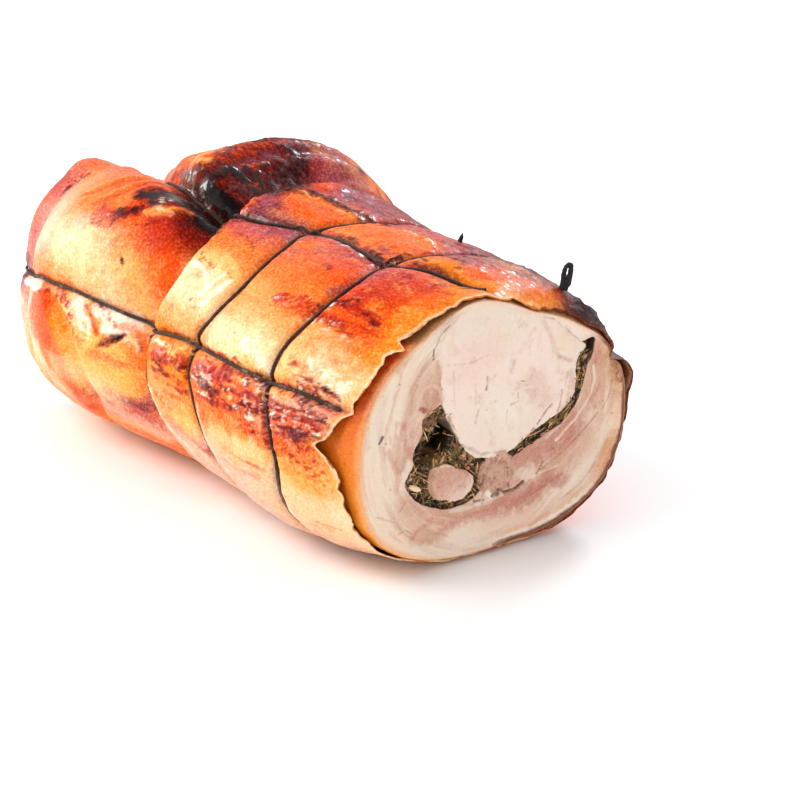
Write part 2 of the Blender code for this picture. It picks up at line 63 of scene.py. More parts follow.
class Tone(Enum):
    """Named colours of roast pork, as display values, with some that serve as painted shade, highlight and
    sheen.
    """

    WHITE = (1.0, 0.97, 0.90)
    CREAM = (0.99, 0.87, 0.70)
    BUTTER = (0.99, 0.77, 0.46)
    AMBER = (0.96, 0.60, 0.16)
    BLUSH = (0.96, 0.80, 0.70)
    PEACH = (0.97, 0.70, 0.44)
    APRICOT = (0.94, 0.56, 0.26)
    ORANGE = (0.94, 0.44, 0.10)
    EMBER = (0.80, 0.26, 0.05)
    RUST = (0.50, 0.16, 0.07)
    BROWN = (0.36, 0.19, 0.10)
    ROSE = (0.80, 0.44, 0.40)
    MAUVE = (0.62, 0.37, 0.42)
    PLUM = (0.36, 0.15, 0.20)
    CRIMSON = (0.62, 0.08, 0.12)
    WINE = (0.28, 0.05, 0.10)
    CHAR = (0.10, 0.07, 0.09)
    TAN = (0.80, 0.60, 0.40)
    IVORY = (0.96, 0.885, 0.805)
    FAT = (0.98, 0.875, 0.775)
    LOIN = (0.99, 0.895, 0.835)
    LEAN = (0.85, 0.66, 0.56)
    PINK = (0.79, 0.54, 0.46)
    BURNT = (0.22, 0.13, 0.10)
    TAUPE = (0.50, 0.40, 0.38)
    MEAT_RED = (0.62, 0.25, 0.20)
    SHADE = (0.55, 0.40, 0.24)
    OLIVE = (0.50, 0.42, 0.14)
    HERB = (0.16, 0.12, 0.05)
    SOOT = (0.05, 0.035, 0.03)

    @property
    def linear(self) -> np.ndarray:
        """Scene-linear value of the colour."""
        value = np.array(self.value)
        return np.where(value <= 0.04045, value / 12.92, ((value + 0.055) / 1.055) ** 2.4)


class Coat(Enum):
    """How a mark covers the surface."""

    PLAIN = 0
    SPECKLED = 1
    ALONG = 2
    AROUND = 3


@dataclass(frozen=True)
class Mark:
    """A painted and raised stroke on a surface, along a chain of named places."""

    tone: Tone
    width: float
    places: tuple
    strength: float = 0.9
    soft: float = 0.7
    ragged: float = 0.4
    raised: float = 0.0
    shine: float | None = None
    taper: float = 0.0
    coat: Coat = Coat.PLAIN
    cover: float = 0.5


@dataclass(frozen=True)
class Zone:
    """A broad soft patch of base colour: its middle, its reach both ways and its tone."""

    along: float
    angle: float
    reach_along: float
    reach_around: float
    tone: Tone
    weight: float = 1.0


def speckled(cover: float, *brush: object, **more: float) -> Mark:
    """A mark broken into specks that cover a share of it."""
    return Mark(*brush, **more, coat=Coat.SPECKLED, cover=cover)


def streaked(cover: float, *brush: object, **more: float) -> Mark:
    """A mark broken into streaks, along the roll or sideways on the cut, that cover a share of it."""
    return Mark(*brush, **more, coat=Coat.ALONG, cover=cover)


def ringed(cover: float, *brush: object, **more: float) -> Mark:
    """A mark broken into streaks round the roll or upright on the cut that cover a share of it."""
    return Mark(*brush, **more, coat=Coat.AROUND, cover=cover)


def ramp(low: float, high: float, value: np.ndarray) -> np.ndarray:
    """Smooth step from 0 at low to 1 at high."""
    t = np.clip((value - low) / (high - low), 0.0, 1.0)
    return t * t * (3.0 - 2.0 * t)


def bell(distance: np.ndarray, width: float) -> np.ndarray:
    """Bell curve of a distance."""
    return np.exp(-((distance / width) ** 2))


def lopsided_bell(distance: np.ndarray, back: float, front: float) -> np.ndarray:
    """Bell curve with its own width on either side."""
    return np.exp(-((distance / np.where(distance < 0, back, front)) ** 2))


def pinch(distance: np.ndarray, deep: float, narrow: float, shallow: float, wide: float) -> np.ndarray:
    """A sharp groove inside a broad dip, mm."""
    return deep * bell(distance, narrow) + shallow * bell(distance, wide)


def between(value: np.ndarray, start: float, full: float, fade: float, end: float) -> np.ndarray:
    """0 to 1 to 0: rises from start to full and falls from fade to end."""
    return ramp(start, full, value) * ramp(end, fade, value)


def turn(angle: np.ndarray, centre: float | np.ndarray) -> np.ndarray:
    """Signed difference of two angles in degrees, between -180 and 180."""
    return (angle - centre + 180.0) % 360.0 - 180.0


def smooth_steps(x: np.ndarray, table: tuple) -> np.ndarray:
    """Monotone cubic through the named stations, flat beyond both ends."""
    xs, ys = np.array(table, dtype=float).T
    step = np.diff(xs)
    slope = np.diff(ys) / step
    tangent = np.zeros_like(ys)
    same = slope[:-1] * slope[1:] > 0
    w1, w2 = 2 * step[1:] + step[:-1], step[1:] + 2 * step[:-1]
    inner = np.zeros_like(slope[:-1])
    inner[same] = (w1 + w2)[same] / (w1[same] / slope[:-1][same] + w2[same] / slope[1:][same])
    tangent[1:-1] = inner
    x = np.clip(x, xs[0], xs[-1])
    k = np.clip(np.searchsorted(xs, x, side="right") - 1, 0, len(step) - 1)
    t, h = (x - xs[k]) / step[k], step[k]
    return ((1 + 2 * t) * (1 - t) ** 2 * ys[k] + t * (1 - t) ** 2 * h * tangent[k]
            + t * t * (3 - 2 * t) * ys[k + 1] + t * t * (t - 1) * h * tangent[k + 1])


def around(angle: np.ndarray, table: tuple) -> np.ndarray:
    """Value of a closed table (angle, value) at an angle in degrees."""
    return smooth_steps((np.asarray(angle, dtype=float) + 90.0) % 360.0 - 90.0, table)


@dataclass(frozen=True)
class Noise:
    """Smooth seeded noise between about -1 and 1."""

    seed: int

    def value(self, points: np.ndarray) -> np.ndarray:
        """Noise with bumps about one unit across."""
        base = np.floor(points).astype(np.int64)
        part = points - base
        part = part ** 3 * (part * (part * 6 - 15) + 10)
        total = np.zeros(points.shape[:-1])
        for corner in range(8):
            weight = np.ones(points.shape[:-1])
            code = np.full(points.shape[:-1], self.seed * 9176 + 17, dtype=np.int64)
            for axis, prime in enumerate((73856093, 19349663, 83492791)):
                far = (corner >> axis) & 1
                weight = weight * (part[..., axis] if far else 1.0 - part[..., axis])
                code = code ^ ((base[..., axis] + far) * prime)
            code = ((code ^ (code >> 13)) * 1274126177) & 0xFFFFFFFF
            total += weight * (((code ^ (code >> 16)) & 0xFFFF) / 65535.0)
        return total * 2.0 - 1.0

    def cloud(self, points: np.ndarray, size: float, octaves: int = 3) -> np.ndarray:
        """Layered noise whose largest bumps are about size across."""
        total, share = np.zeros(points.shape[:-1]), 1.0
        for k in range(octaves):
            total += share * self.value(points * (2.03 ** k / size) + 31.7 * k)
            share *= 0.55
        return total


def chain_distance(a: np.ndarray, b: np.ndarray, chain: np.ndarray) -> tuple[np.ndarray, np.ndarray]:
    """Distance of points to a chain of places, and how far along it they are, 0 to 1."""
    if len(chain) == 1:
        return np.hypot(a - chain[0, 0], b - chain[0, 1]), np.full_like(a, 0.5)
    best, where = np.full_like(a, 1e9), np.zeros_like(a)
    lengths = np.hypot(*np.diff(chain, axis=0).T)
    walked = np.concatenate([[0.0], np.cumsum(lengths)])
    for k, length in enumerate(lengths):
        da, db = (chain[k + 1] - chain[k]) / max(length, 1e-6)
        t = np.clip((a - chain[k, 0]) * da + (b - chain[k, 1]) * db, 0.0, length)
        gap = np.hypot(a - chain[k, 0] - t * da, b - chain[k, 1] - t * db)
        nearer = gap < best
        best = np.where(nearer, gap, best)
        where = np.where(nearer, (walked[k] + t) / walked[-1], where)
    return best, where


class Canvas:
    """Paint, relief and shine over the points of a surface laid out flat, mm."""

    def __init__(self, a: np.ndarray, b: np.ndarray, body: np.ndarray, unit: float = 1.0) -> None:
        """Start a canvas.

        Args:
            a: First flat coordinate of each point.
            b: Second flat coordinate of each point.
            body: Places of the points in space, for noise.
            unit: How many flat units one unit of the second coordinate is.
        """
        self.a, self.b, self.unit = a, b * unit, unit
        self.body = body
        self.colour = np.zeros(a.shape + (3,))
        self.raised = np.zeros_like(a)
        self.shine = np.full_like(a, 0.5)
        flat = np.stack([self.a, self.b, np.zeros_like(a)], axis=-1)
        self.fine = Noise(3).cloud(body, 2.6, 2)
        self.middle = Noise(5).cloud(body, 7.0, 3)
        self.broad = Noise(7).cloud(body, 26.0, 3)
        sway = self.middle[..., None] * 0.8
        self.coats = {
            Coat.PLAIN: np.full_like(a, 9.0),
            Coat.SPECKLED: 0.5 + 0.62 * Noise(11).cloud(body, 2.4, 2),
            Coat.ALONG: 0.5 + 0.62 * Noise(13).cloud(flat * (0.16, 1.0, 1.0) + sway, 2.1, 2),
            Coat.AROUND: 0.5 + 0.62 * Noise(17).cloud(flat * (1.0, 0.16, 1.0) + sway, 2.1, 2),
        }

    def base(self, zones: tuple) -> None:
        """Blend broad zones into the base colour."""
        total = np.full(self.a.shape, 1e-6)
        colour = np.zeros_like(self.colour)
        wobble_a = self.a + 5.0 * self.broad + 2.0 * self.middle
        wobble_b = self.b + 5.0 * np.roll(self.broad, 7, axis=-1) + 2.0 * self.fine
        for zone in zones:
            weight = zone.weight * np.exp(-((wobble_a - zone.along) / zone.reach_along) ** 2
                                          - ((wobble_b - zone.angle * self.unit)
                                             / (zone.reach_around * self.unit)) ** 2)
            total += weight
            colour += weight[..., None] * zone.tone.linear
        self.colour = colour / total[..., None]

    def mask(self, mark: Mark) -> np.ndarray:
        """How much a mark covers each point."""
        chain = np.array(mark.places, dtype=float).reshape(-1, 2) * (1.0, self.unit)
        near, out = 2.2 * mark.width + 2.0, np.zeros_like(self.a)
        low, high = chain.min(axis=0) - near, chain.max(axis=0) + near
        pick = (self.a > low[0]) & (self.a < high[0]) & (self.b > low[1]) & (self.b < high[1])
        gap, where = chain_distance(self.a[pick], self.b[pick], chain)
        width = mark.width * (1.0 - mark.taper * np.abs(2.0 * where - 1.0) ** 1.5)
        width = width * (1.0 + mark.ragged * (0.7 * self.middle[pick] + 0.5 * self.fine[pick]))
        soft = max(mark.soft * mark.width, 0.5)
        cover = ramp(0.0, 1.0, (width - gap) / soft + 0.5)
        broken = 0.62 + 0.38 * ramp(0.15, 0.6, self.coats[Coat.SPECKLED][pick])
        coat = ramp(1.0 - mark.cover - 0.14, 1.0 - mark.cover + 0.14, self.coats[mark.coat][pick])
        out[pick] = cover * coat * broken
        return out

    def lay(self, *marks: Mark) -> None:
        """Paint and raise marks one over the other."""
        for mark in marks:
            cover = self.mask(mark)
            self.blend(cover * mark.strength, mark.tone, mark.shine)
            self.raised += mark.raised * cover

    def blend(self, cover: np.ndarray, tone: Tone, shine: float | None = None) -> None:
        """Mix a tone in by a mask."""
        cover = np.clip(cover, 0.0, 1.0)
        self.colour = self.colour * (1.0 - cover[..., None]) + tone.linear * cover[..., None]
        if shine is not None:
            self.shine = self.shine * (1.0 - cover) + shine * cover


@dataclass(frozen=True)
class RollForm:
    """Form of the roll: its sections, tying lines and skin edge, in mm and degrees."""

    sections: tuple = (
        (-150.0, -12.0, 86.0, 158.0), (-118.0, -6.0, 106.0, 168.0), (-90.0, -2.0, 114.0, 172.0),
        (-50.0, 0.0, 110.0, 176.0), (-12.0, 0.0, 101.0, 168.0), (20.0, 0.0, 101.0, 160.0),
        (70.0, 0.0, 104.0, 155.0), (120.0, 1.0, 105.0, 154.0), (166.0, 7.0, 97.0, 144.0),
        (182.0, 8.0, 94.0, 142.0))
    cap_length: float = 52.0
    cap_roundness: float = 0.8
    upper_squareness: float = 2.2
    lower_squareness: tuple = ((-150, 2.0), (0, 2.02), (60, 2.12), (120, 2.3), (175, 2.5))
    settled: tuple = ((-150, 8), (110, 8), (176, -0.5))
    rest_blend: float = 2.0
    loop_far: tuple = ((-90, 2), (-40, 0), (-28, -2), (-12, -7), (0, -9), (12, -8), (24, -4), (38, 0),
                       (50, 0), (62, -6), (80, -12), (100, -13), (125, -6), (160, 0), (200, 2), (270, 2))
    loop_middle: tuple = ((-90, 58), (-60, 63), (-35, 62), (-24, 58), (-12, 53), (0, 46), (11, 40),
                          (22, 40), (32, 48), (47, 54), (65, 49), (80, 39), (94, 44), (110, 46),
                          (150, 50), (200, 55), (270, 58))
    loop_front: tuple = ((-90, 122), (-60, 122), (-29, 124), (-10, 128), (1, 125), (11, 121), (20, 114),
                         (34, 116), (50, 120), (67, 117), (81, 109), (110, 114), (150, 120), (200, 122),
                         (270, 122))
    skin_edge: tuple = ((-90, 172), (-60, 171.5), (-36, 172.5), (-22, 173), (-10, 171), (0, 164),
                        (4, 157), (9, 163), (15, 167), (30, 173), (55, 174), (75, 173), (90, 173.6),
                        (112, 172.8), (130, 172), (160, 172), (200, 173), (270, 172))
    twine_side: tuple = ((-150, 14), (-102, 17), (-73, 16), (-48, 14), (-8, 13), (15, 17), (33, 19),
                         (75, 21), (111, 21), (139, 22), (166, 21))
    twine_top: tuple = ((-150, 88), (-110, 76), (-81, 70), (-58, 66), (-29, 63), (-8, 65), (16, 71),
                        (39, 80), (72, 83), (109, 81), (135, 88), (166, 92))
    meat_inset: tuple = ((-90, 2.0), (-60, 1.8), (-36, 2.6), (-20, 4.2), (20, 6), (44, 5.2), (60, 3.9),
                         (74, 2.4), (94, 1.6), (112, 1.6), (150, 2.2), (180, 2.4), (270, 2.0))
    skin_thickness: float = 1.1

    def lap_line(self, angle: np.ndarray) -> np.ndarray:
        """Station of the fold where the outer lap of skin ends at the far end."""
        return smooth_steps(angle, ((-60, -92), (-40, -82), (-26, -70), (-9, -72), (2, -77), (13, -90)))

    def relief(self, x: np.ndarray, angle: np.ndarray) -> np.ndarray:
        """Height of the skin over the plain roll, mm."""
        wide = 95.0 * math.pi / 180.0
        far = x - around(angle, self.loop_far)
        middle = x - around(angle, self.loop_middle)
        front = x - around(angle, self.loop_front)
        side = turn(angle, smooth_steps(x, self.twine_side)) * wide
        other_side = turn(angle, 180.0 - smooth_steps(x, self.twine_side)) * wide
        top = turn(angle, smooth_steps(x, self.twine_top)) * wide
        under = turn(angle, UNDER) * wide
        upper = np.clip((angle + 10.0) / 40.0, 0.0, 1.0) * np.clip((200.0 - angle) / 40.0, 0.0, 1.0)
        height = -(5.0 + 8.0 * upper) * lopsided_bell(far, 13.0, 5.0)
        height -= pinch(middle, 3.2, 3.2, 1.6, 14.0)
        height -= pinch(front, 3.4, 3.2, 2.2, 14.0)
        height -= pinch(side, 3.0, 3.2, 2.2, 12.0)
        height -= pinch(other_side, 3.0, 3.5, 2.0, 12.0)
        height -= 3.0 * bell(under, 3.5)
        cleft = np.clip(-far / 12.0, 0.0, 1.0)
        fading = (1 - cleft) * (1 - 0.8 * ramp(156.0, 172.0, x))
        height -= pinch(top, 2.6, 3.2, 1.8, 12.0) * fading
        height -= cleft * pinch(top, 13.0, 9.0, 3.0, 3.5)
        bulb = bell(x + 75.0, 60.0) * bell(turn(angle, 40.0), 24.0)
        height += 7.0 * bulb + 11.0 * bell(x + 158.0, 22.0) * bell(turn(angle, 66.0), 11.0)
        height += 4.5 * bell(x + 166.0, 26.0) * bell(turn(angle, 46.0), 12.0)
        height -= 2.5 * bell(x + 160.0, 20.0) * bell(turn(angle, 22.0), 8.0)
        height += 4.0 * bell(x + 140.0, 35.0) * bell(turn(angle, -26.0), 14.0)
        height += self.back_ridges(x, angle)
        height -= 20.0 * np.clip((-84.0 - x) / 22.0, 0.0, 1.0) * bell(turn(angle, 112.0), 34.0)
        height -= 3.5 * bell(x + 38.0, 26.0) * bell(turn(angle, 6.0), 7.0)
        lap = x - self.lap_line(angle)
        on_lap = np.clip((angle + 65.0) / 15.0, 0.0, 1.0) * np.clip((15.0 - angle) / 6.0, 0.0, 1.0)
        height -= 5.0 * on_lap * (x < 0) * lopsided_bell(lap, 4.0, 8.0)
        near_cut = np.clip((x - 120.0) / 40.0, 0.0, 1.0)
        height -= (2.0 + 3.0 * near_cut) * bell(turn(angle, 160.0) * wide, 4.0)
        height += 5.0 * near_cut * bell(turn(angle, 172.0), 9.0)
        return height + self.front_curl(x, angle)

    def back_ridges(self, x: np.ndarray, angle: np.ndarray) -> np.ndarray:
        """Three ridges of skin that run over the top behind the far loop, mm."""
        lobe = lopsided_bell(x + 48.0, 15.0, 32.0) * bell(turn(angle, 102.0), 34.0)
        first = smooth_steps(angle, ((60, -40), (74, -38), (95, -35), (110, -37), (135, -42)))
        second = smooth_steps(angle, ((60, -22), (74, -24), (88, -27), (100, -21), (118, -22), (135, -24)))
        groove = bell(x - first, 4.5) + 0.8 * bell(x - second, 4.0)
        return lobe * (8.6 - 5.2 * groove - 3.0 * bell(x + 86.0, 9.0))

    def room(self, x: np.ndarray, angle: np.ndarray) -> np.ndarray:
        """Depth of the twines' grooves across the flat underside, mm."""
        along = np.abs(turn(angle, UNDER)) * 1.6
        loop = np.full_like(np.asarray(x, dtype=float), 500.0)
        for table in (self.loop_far, self.loop_middle, self.loop_front):
            loop = np.minimum(loop, np.abs(x - around(angle, table)))
        under = np.clip((52.0 - np.abs(turn(angle, UNDER))) / 20.0, 0.0, 1.0)
        pit = 3.4 * bell(loop, 9.0) * bell(along, 4.5)
        return under * (4.1 * bell(loop, 4.0) + 4.1 * bell(along, 4.0) + pit)

    def point(self, x: np.ndarray, angle: np.ndarray, fullness: np.ndarray | float = 1.0,
              lift: np.ndarray | float = 0.0) -> np.ndarray:
        """Point of the plain roll, lifted off it by some mm."""
        x = np.asarray(x, dtype=float)
        centre, half_width, height = (smooth_steps(x, tuple((row[0], row[k]) for row in self.sections))
                                      for k in (1, 2, 3))
        settled = smooth_steps(x, self.settled)
        half_height = 0.5 * (height + settled)
        rad = np.radians(angle)
        c, s = np.cos(rad), np.sin(rad)
        square = np.where(s > 0, self.upper_squareness, smooth_steps(x, self.lower_squareness))
        reach = (np.abs(c) ** square + np.abs(s) ** square) ** (-1.0 / square)
        y, z = -half_width * reach * c, half_height * reach * s
        scale = fullness * (1.0 + lift / np.sqrt(y * y + z * z))
        y = centre + y * scale
        z = half_height - settled + z * scale
        near = np.clip(z, -self.rest_blend, self.rest_blend)
        z = np.where(z > self.rest_blend, z, (near + self.rest_blend) ** 2 / (4.0 * self.rest_blend))
        return np.stack([x + 0.0 * y, y, z], axis=-1)

    def skin(self, x: np.ndarray, angle: np.ndarray, fullness: np.ndarray | float = 1.0,
             lift: np.ndarray | float = 0.0) -> np.ndarray:
        """Point of the roll's outside, lifted by some mm."""
        fade = np.clip((fullness - 0.35) / 0.5, 0.0, 1.0)
        spot = self.point(x, angle, fullness, self.relief(x, angle) * fade + lift)
        spot[..., 2] += self.room(x, angle)
        return spot

    def front_curl(self, x: np.ndarray, angle: np.ndarray) -> np.ndarray:
        """How the last stretch before the cut swells on top and draws in on the far shoulder, mm."""
        drawn = smooth_steps(angle, ((78, 0), (96, 4), (112, 9), (132, 10), (150, 5), (160, 2), (176, 0)))
        swell = 4.6 * bell(turn(angle, 84.0), 17.0) * ramp(148.0, 172.0, x)
        return swell - drawn * ramp(155.0, 178.0, x) ** 1.3

    def meat(self, x: np.ndarray, angle: np.ndarray, inset: np.ndarray | float = 0.0) -> np.ndarray:
        """Point of the bare meat inside the skin near the cut, mm."""
        seam = bell(turn(angle, 160.0), 3.0)
        lift = self.front_curl(x, angle) - around(angle, self.meat_inset) - 3.0 * seam - inset
        return self.point(x, angle, 1.0, lift)

    def rim(self, angle: np.ndarray) -> np.ndarray:
        """Ragged station of the skin's front edge."""
        flat = np.stack([angle * ARC, np.zeros_like(angle), np.zeros_like(angle)], axis=-1)
        rough = 0.95 * Noise(41).cloud(flat, 5.0, 4) + 1.2 * Noise(42).cloud(flat, 14.0, 2)
        tab = 5.5 * bell(turn(angle, 51.0), 1.5) - 2.5 * bell(turn(angle, 54.5), 2.0)
        return around(angle, self.skin_edge) + rough + tab


class Mesher:
    """Turns a net of points into a finished, closed mesh object."""

    @staticmethod
    def net(name: str, points: np.ndarray, wrap: bool = True, layers: dict | None = None,
            crease: float = 60.0) -> bpy.types.Object:
        """Bend a flat grid into shape and close it.

        Args:
            name: Name of the piece.
            points: Places in mm, shaped (rows, columns, 3).
            wrap: Whether the last column joins the first.
            layers: Values per point to keep as attributes, by name.
            crease: Angle in degrees beyond which an edge stays sharp.

        Returns:
            The object, at the origin, with its faces pointing out.
        """
        layers = dict(layers or {})
        if wrap:
            points = np.concatenate([points, points[:, :1]], axis=1)
            layers = {key: np.concatenate([val, val[:, :1]], axis=1) for key, val in layers.items()}
        rows, columns = points.shape[:2]
        bm = bmesh.new()
        bmesh.ops.create_grid(bm, x_segments=columns - 1, y_segments=rows - 1, size=1.0)
        mesh = bpy.data.meshes.new(name)
        bm.to_mesh(mesh)
        bm.free()
        mesh.vertices.foreach_set("co", place(points.reshape(-1, 3)).ravel())
        for key, val in layers.items():
            Mesher.keep(mesh, key, val.reshape(rows * columns, -1))
        bm = bmesh.new()
        bm.from_mesh(mesh)
        bmesh.ops.remove_doubles(bm, verts=bm.verts, dist=MERGE)
        bmesh.ops.dissolve_degenerate(bm, dist=SLIVER, edges=bm.edges)
        bmesh.ops.recalc_face_normals(bm, faces=bm.faces)
        bm.to_mesh(mesh)
        bm.free()
        obj = bpy.data.objects.new(name, mesh)
        bpy.context.scene.collection.objects.link(obj)
        mesh.shade_smooth()
        mesh.set_sharp_from_angle(angle=math.radians(crease))
        return obj

    @staticmethod
    def painted(name: str, points: np.ndarray, canvas: Canvas, crease: float = 50.0) -> bpy.types.Object:
        """Make a net that wraps round and wears what a canvas holds."""
        layers = {"tone": canvas.colour, "shine": canvas.shine[..., None]}
        return Mesher.net(name, points, True, layers, crease)

    @staticmethod
    def keep(mesh: bpy.types.Mesh, name: str, values: np.ndarray) -> None:
        """Store a value per point as a colour or a number."""
        if values.shape[1] == 3:
            layer = mesh.attributes.new(name, "FLOAT_COLOR", "POINT")
            full = np.ones((len(values), 4))
            full[:, :3] = values
            layer.data.foreach_set("color", full.ravel())
        else:
            layer = mesh.attributes.new(name, "FLOAT", "POINT")
            layer.data.foreach_set("value", values.ravel())

    @staticmethod
    def join(name: str, parts: list) -> bpy.types.Object:
        """Join finished objects into one piece."""
        bm = bmesh.new()
        for part in parts:
            bm.from_mesh(part.data)
            old = part.data
            bpy.data.objects.remove(part, do_unlink=True)
            bpy.data.meshes.remove(old)
        mesh = bpy.data.meshes.new(name)
        bm.to_mesh(mesh)
        bm.free()
        obj = bpy.data.objects.new(name, mesh)
        bpy.context.scene.collection.objects.link(obj)
        return obj


class Graph:
    """Small helper that lays out the nodes of a material or a node group."""

    def __init__(self, tree: bpy.types.NodeTree) -> None:
        """Keep the tree."""
        self.tree = tree

    def node(self, kind: str, settings: dict | None = None, **links: object) -> bpy.types.Node:
        """Add a node, set its properties and feed its sockets.

        Args:
            kind: Node type.
            settings: Properties to set.
            links: Socket names with spaces as underscores; a value or another node's socket.

        Returns:
            The new node.
        """
        made = self.tree.nodes.new(kind)
        for key, val in (settings or {}).items():
            setattr(made, key, val)
        for key, val in links.items():
            index = int(key[1:]) if key[0] == "s" and key[1:].isdigit() else key.replace("_", " ")
            socket = made.inputs[index]
            if isinstance(val, bpy.types.NodeSocket):
                self.tree.links.new(val, socket)
            else:
                socket.default_value = val
        return made

    def math(self, operation: str, *values: object) -> bpy.types.NodeSocket:
        """Arithmetic on up to three values."""
        links = {f"s{k}": val for k, val in enumerate(values)}
        return self.node("ShaderNodeMath", {"operation": operation}, **links).outputs[0]

    def fit(self, value: object, low: float, high: float, start: float = 0.0,
            end: float = 1.0) -> bpy.types.NodeSocket:
        """Map a range smoothly on to another."""
        return self.node("ShaderNodeMapRange", {"interpolation_type": "SMOOTHSTEP"}, Value=value,
                         s1=low, s2=high, s3=start, s4=end).outputs[0]

    def read(self, name: str, output: str = "Fac") -> bpy.types.NodeSocket:
        """Read one of the mesh's own attributes."""
        return self.node("ShaderNodeAttribute", {"attribute_name": name}).outputs[output]

    def noise(self, vector: object, size: float, detail: float = 2.0,
              rough: float = 0.55) -> bpy.types.NodeSocket:
        """Noise with bumps about size millimetres across."""
        return self.node("ShaderNodeTexNoise", Vector=vector, Scale=1.0 / size, Detail=detail,
                         Roughness=rough).outputs["Fac"]


def grain_group() -> bpy.types.NodeTree:
    """Shared fine grain of skin and meat: mottles a colour and gives a height.

    Returns:
        A node group with Colour, Size, Mottle and Depth in, Colour and Height out.
    """
    group = bpy.data.node_groups.new("fine_grain", "ShaderNodeTree")
    face = group.interface
    face.new_socket("Colour", in_out="INPUT", socket_type="NodeSocketColor")
    for name, value in (("Size", 1.2), ("Mottle", 0.15), ("Depth", 1.0)):
        face.new_socket(name, in_out="INPUT", socket_type="NodeSocketFloat").default_value = value
    face.new_socket("Colour", in_out="OUTPUT", socket_type="NodeSocketColor")
    face.new_socket("Height", in_out="OUTPUT", socket_type="NodeSocketFloat")
    graph = Graph(group)
    given = group.nodes.new("NodeGroupInput")
    where = graph.node("ShaderNodeTexCoord").outputs["Object"]
    large = graph.node("ShaderNodeVectorMath", {"operation": "SCALE"}, s0=where, Scale=1.0 / MM).outputs[0]
    scaled = graph.node("ShaderNodeVectorMath", {"operation": "SCALE"}, s0=large,
                        Scale=graph.math("DIVIDE", 1.0, given.outputs["Size"])).outputs[0]
    coarse = graph.noise(scaled, 1.0, 3.0, 0.6)
    fine = graph.noise(scaled, 0.3, 2.0, 0.6)
    both = graph.math("ADD", graph.math("MULTIPLY", coarse, 0.7), graph.math("MULTIPLY", fine, 0.3))
    change = graph.math("MULTIPLY", graph.math("SUBTRACT", both, 0.5), given.outputs["Mottle"])
    deep = graph.math("ADD", 1.0, graph.math("MULTIPLY", change, 10.0))
    shade = graph.node("ShaderNodeGamma", Color=given.outputs["Colour"], Gamma=deep).outputs[0]
    out = group.nodes.new("NodeGroupOutput")
    group.links.new(shade, out.inputs["Colour"])
    group.links.new(graph.math("MULTIPLY", both, given.outputs["Depth"]), out.inputs["Height"])
    return group


@dataclass(frozen=True)
class Finish:
    """A finish that reads a piece's painted tone and shine."""

    name: str
    grain: float = 1.2
    mottle: float = 0.12
    bump: float = 0.25
    dull: float = 0.62
    glossy: float = 0.16
    coat: float = 0.0
    coat_roughness: float = 0.12
    soft: float = 0.12
    soft_reach: tuple = (1.0, 0.45, 0.25)
    specular: float = 0.5
    soft_depth: float = 3.0 * MM

    def build(self, grain: bpy.types.NodeTree) -> bpy.types.Material:
        """Make the material."""
        material = bpy.data.materials.new(self.name)
        material.use_nodes = True
        tree = material.node_tree
        graph = Graph(tree)
        shader = tree.nodes["Principled BSDF"]
        detail = graph.node("ShaderNodeGroup", {"node_tree": grain}, Colour=graph.read("tone", "Color"),
                            Size=self.grain, Mottle=self.mottle, Depth=1.0)
        tree.links.new(detail.outputs["Colour"], shader.inputs["Base Color"])
        shine = graph.read("shine")
        rough = graph.fit(shine, 0.0, 1.0, self.dull, self.glossy)
        wear = graph.math("MULTIPLY", graph.math("SUBTRACT", detail.outputs["Height"], 0.5), 0.25)
        tree.links.new(graph.math("ADD", rough, wear), shader.inputs["Roughness"])
        bump = graph.node("ShaderNodeBump", Strength=1.0, Distance=self.bump * MM,
                          Height=detail.outputs["Height"])
        tree.links.new(bump.outputs["Normal"], shader.inputs["Normal"])
        shader.inputs["Specular IOR Level"].default_value = self.specular
        tree.links.new(graph.fit(shine, 0.5, 0.95, 0.0, self.coat), shader.inputs["Coat Weight"])
        shader.inputs["Coat Roughness"].default_value = self.coat_roughness
        shader.inputs["Subsurface Weight"].default_value = self.soft
        shader.inputs["Subsurface Radius"].default_value = self.soft_reach
        shader.inputs["Subsurface Scale"].default_value = self.soft_depth
        return material


FINISHES = (
    Finish("roast_rind", grain=1.5, mottle=0.28, bump=0.34, dull=0.50, glossy=0.14, coat=0.8,
           coat_roughness=0.10, soft=0.04, soft_reach=(1.0, 0.4, 0.2), specular=0.07),
    Finish("cut_meat", grain=1.1, mottle=0.15, bump=0.30, dull=0.66, glossy=0.25, coat=0.05,
           coat_roughness=0.25, soft=0.15, soft_reach=(1.0, 0.5, 0.35), specular=0.3),
    Finish("wet_herbs", grain=0.9, mottle=0.20, bump=0.30, dull=0.55, glossy=0.15, coat=0.25,
           coat_roughness=0.2, soft=0.0),
    Finish("burnt_string", grain=0.5, mottle=0.30, bump=0.15, dull=0.85, glossy=0.5, coat=0.0,
           coat_roughness=0.3, soft=0.0),
)

# Zones are places on the skin (station mm, angle degrees) with their reach both ways, tone and weight.
# Marks are a tone, a width in mm and places, then strength, softness, raggedness, height in mm and shine.
# On the cut, places are mm sideways and mm high. A mark lies over the ones before it.

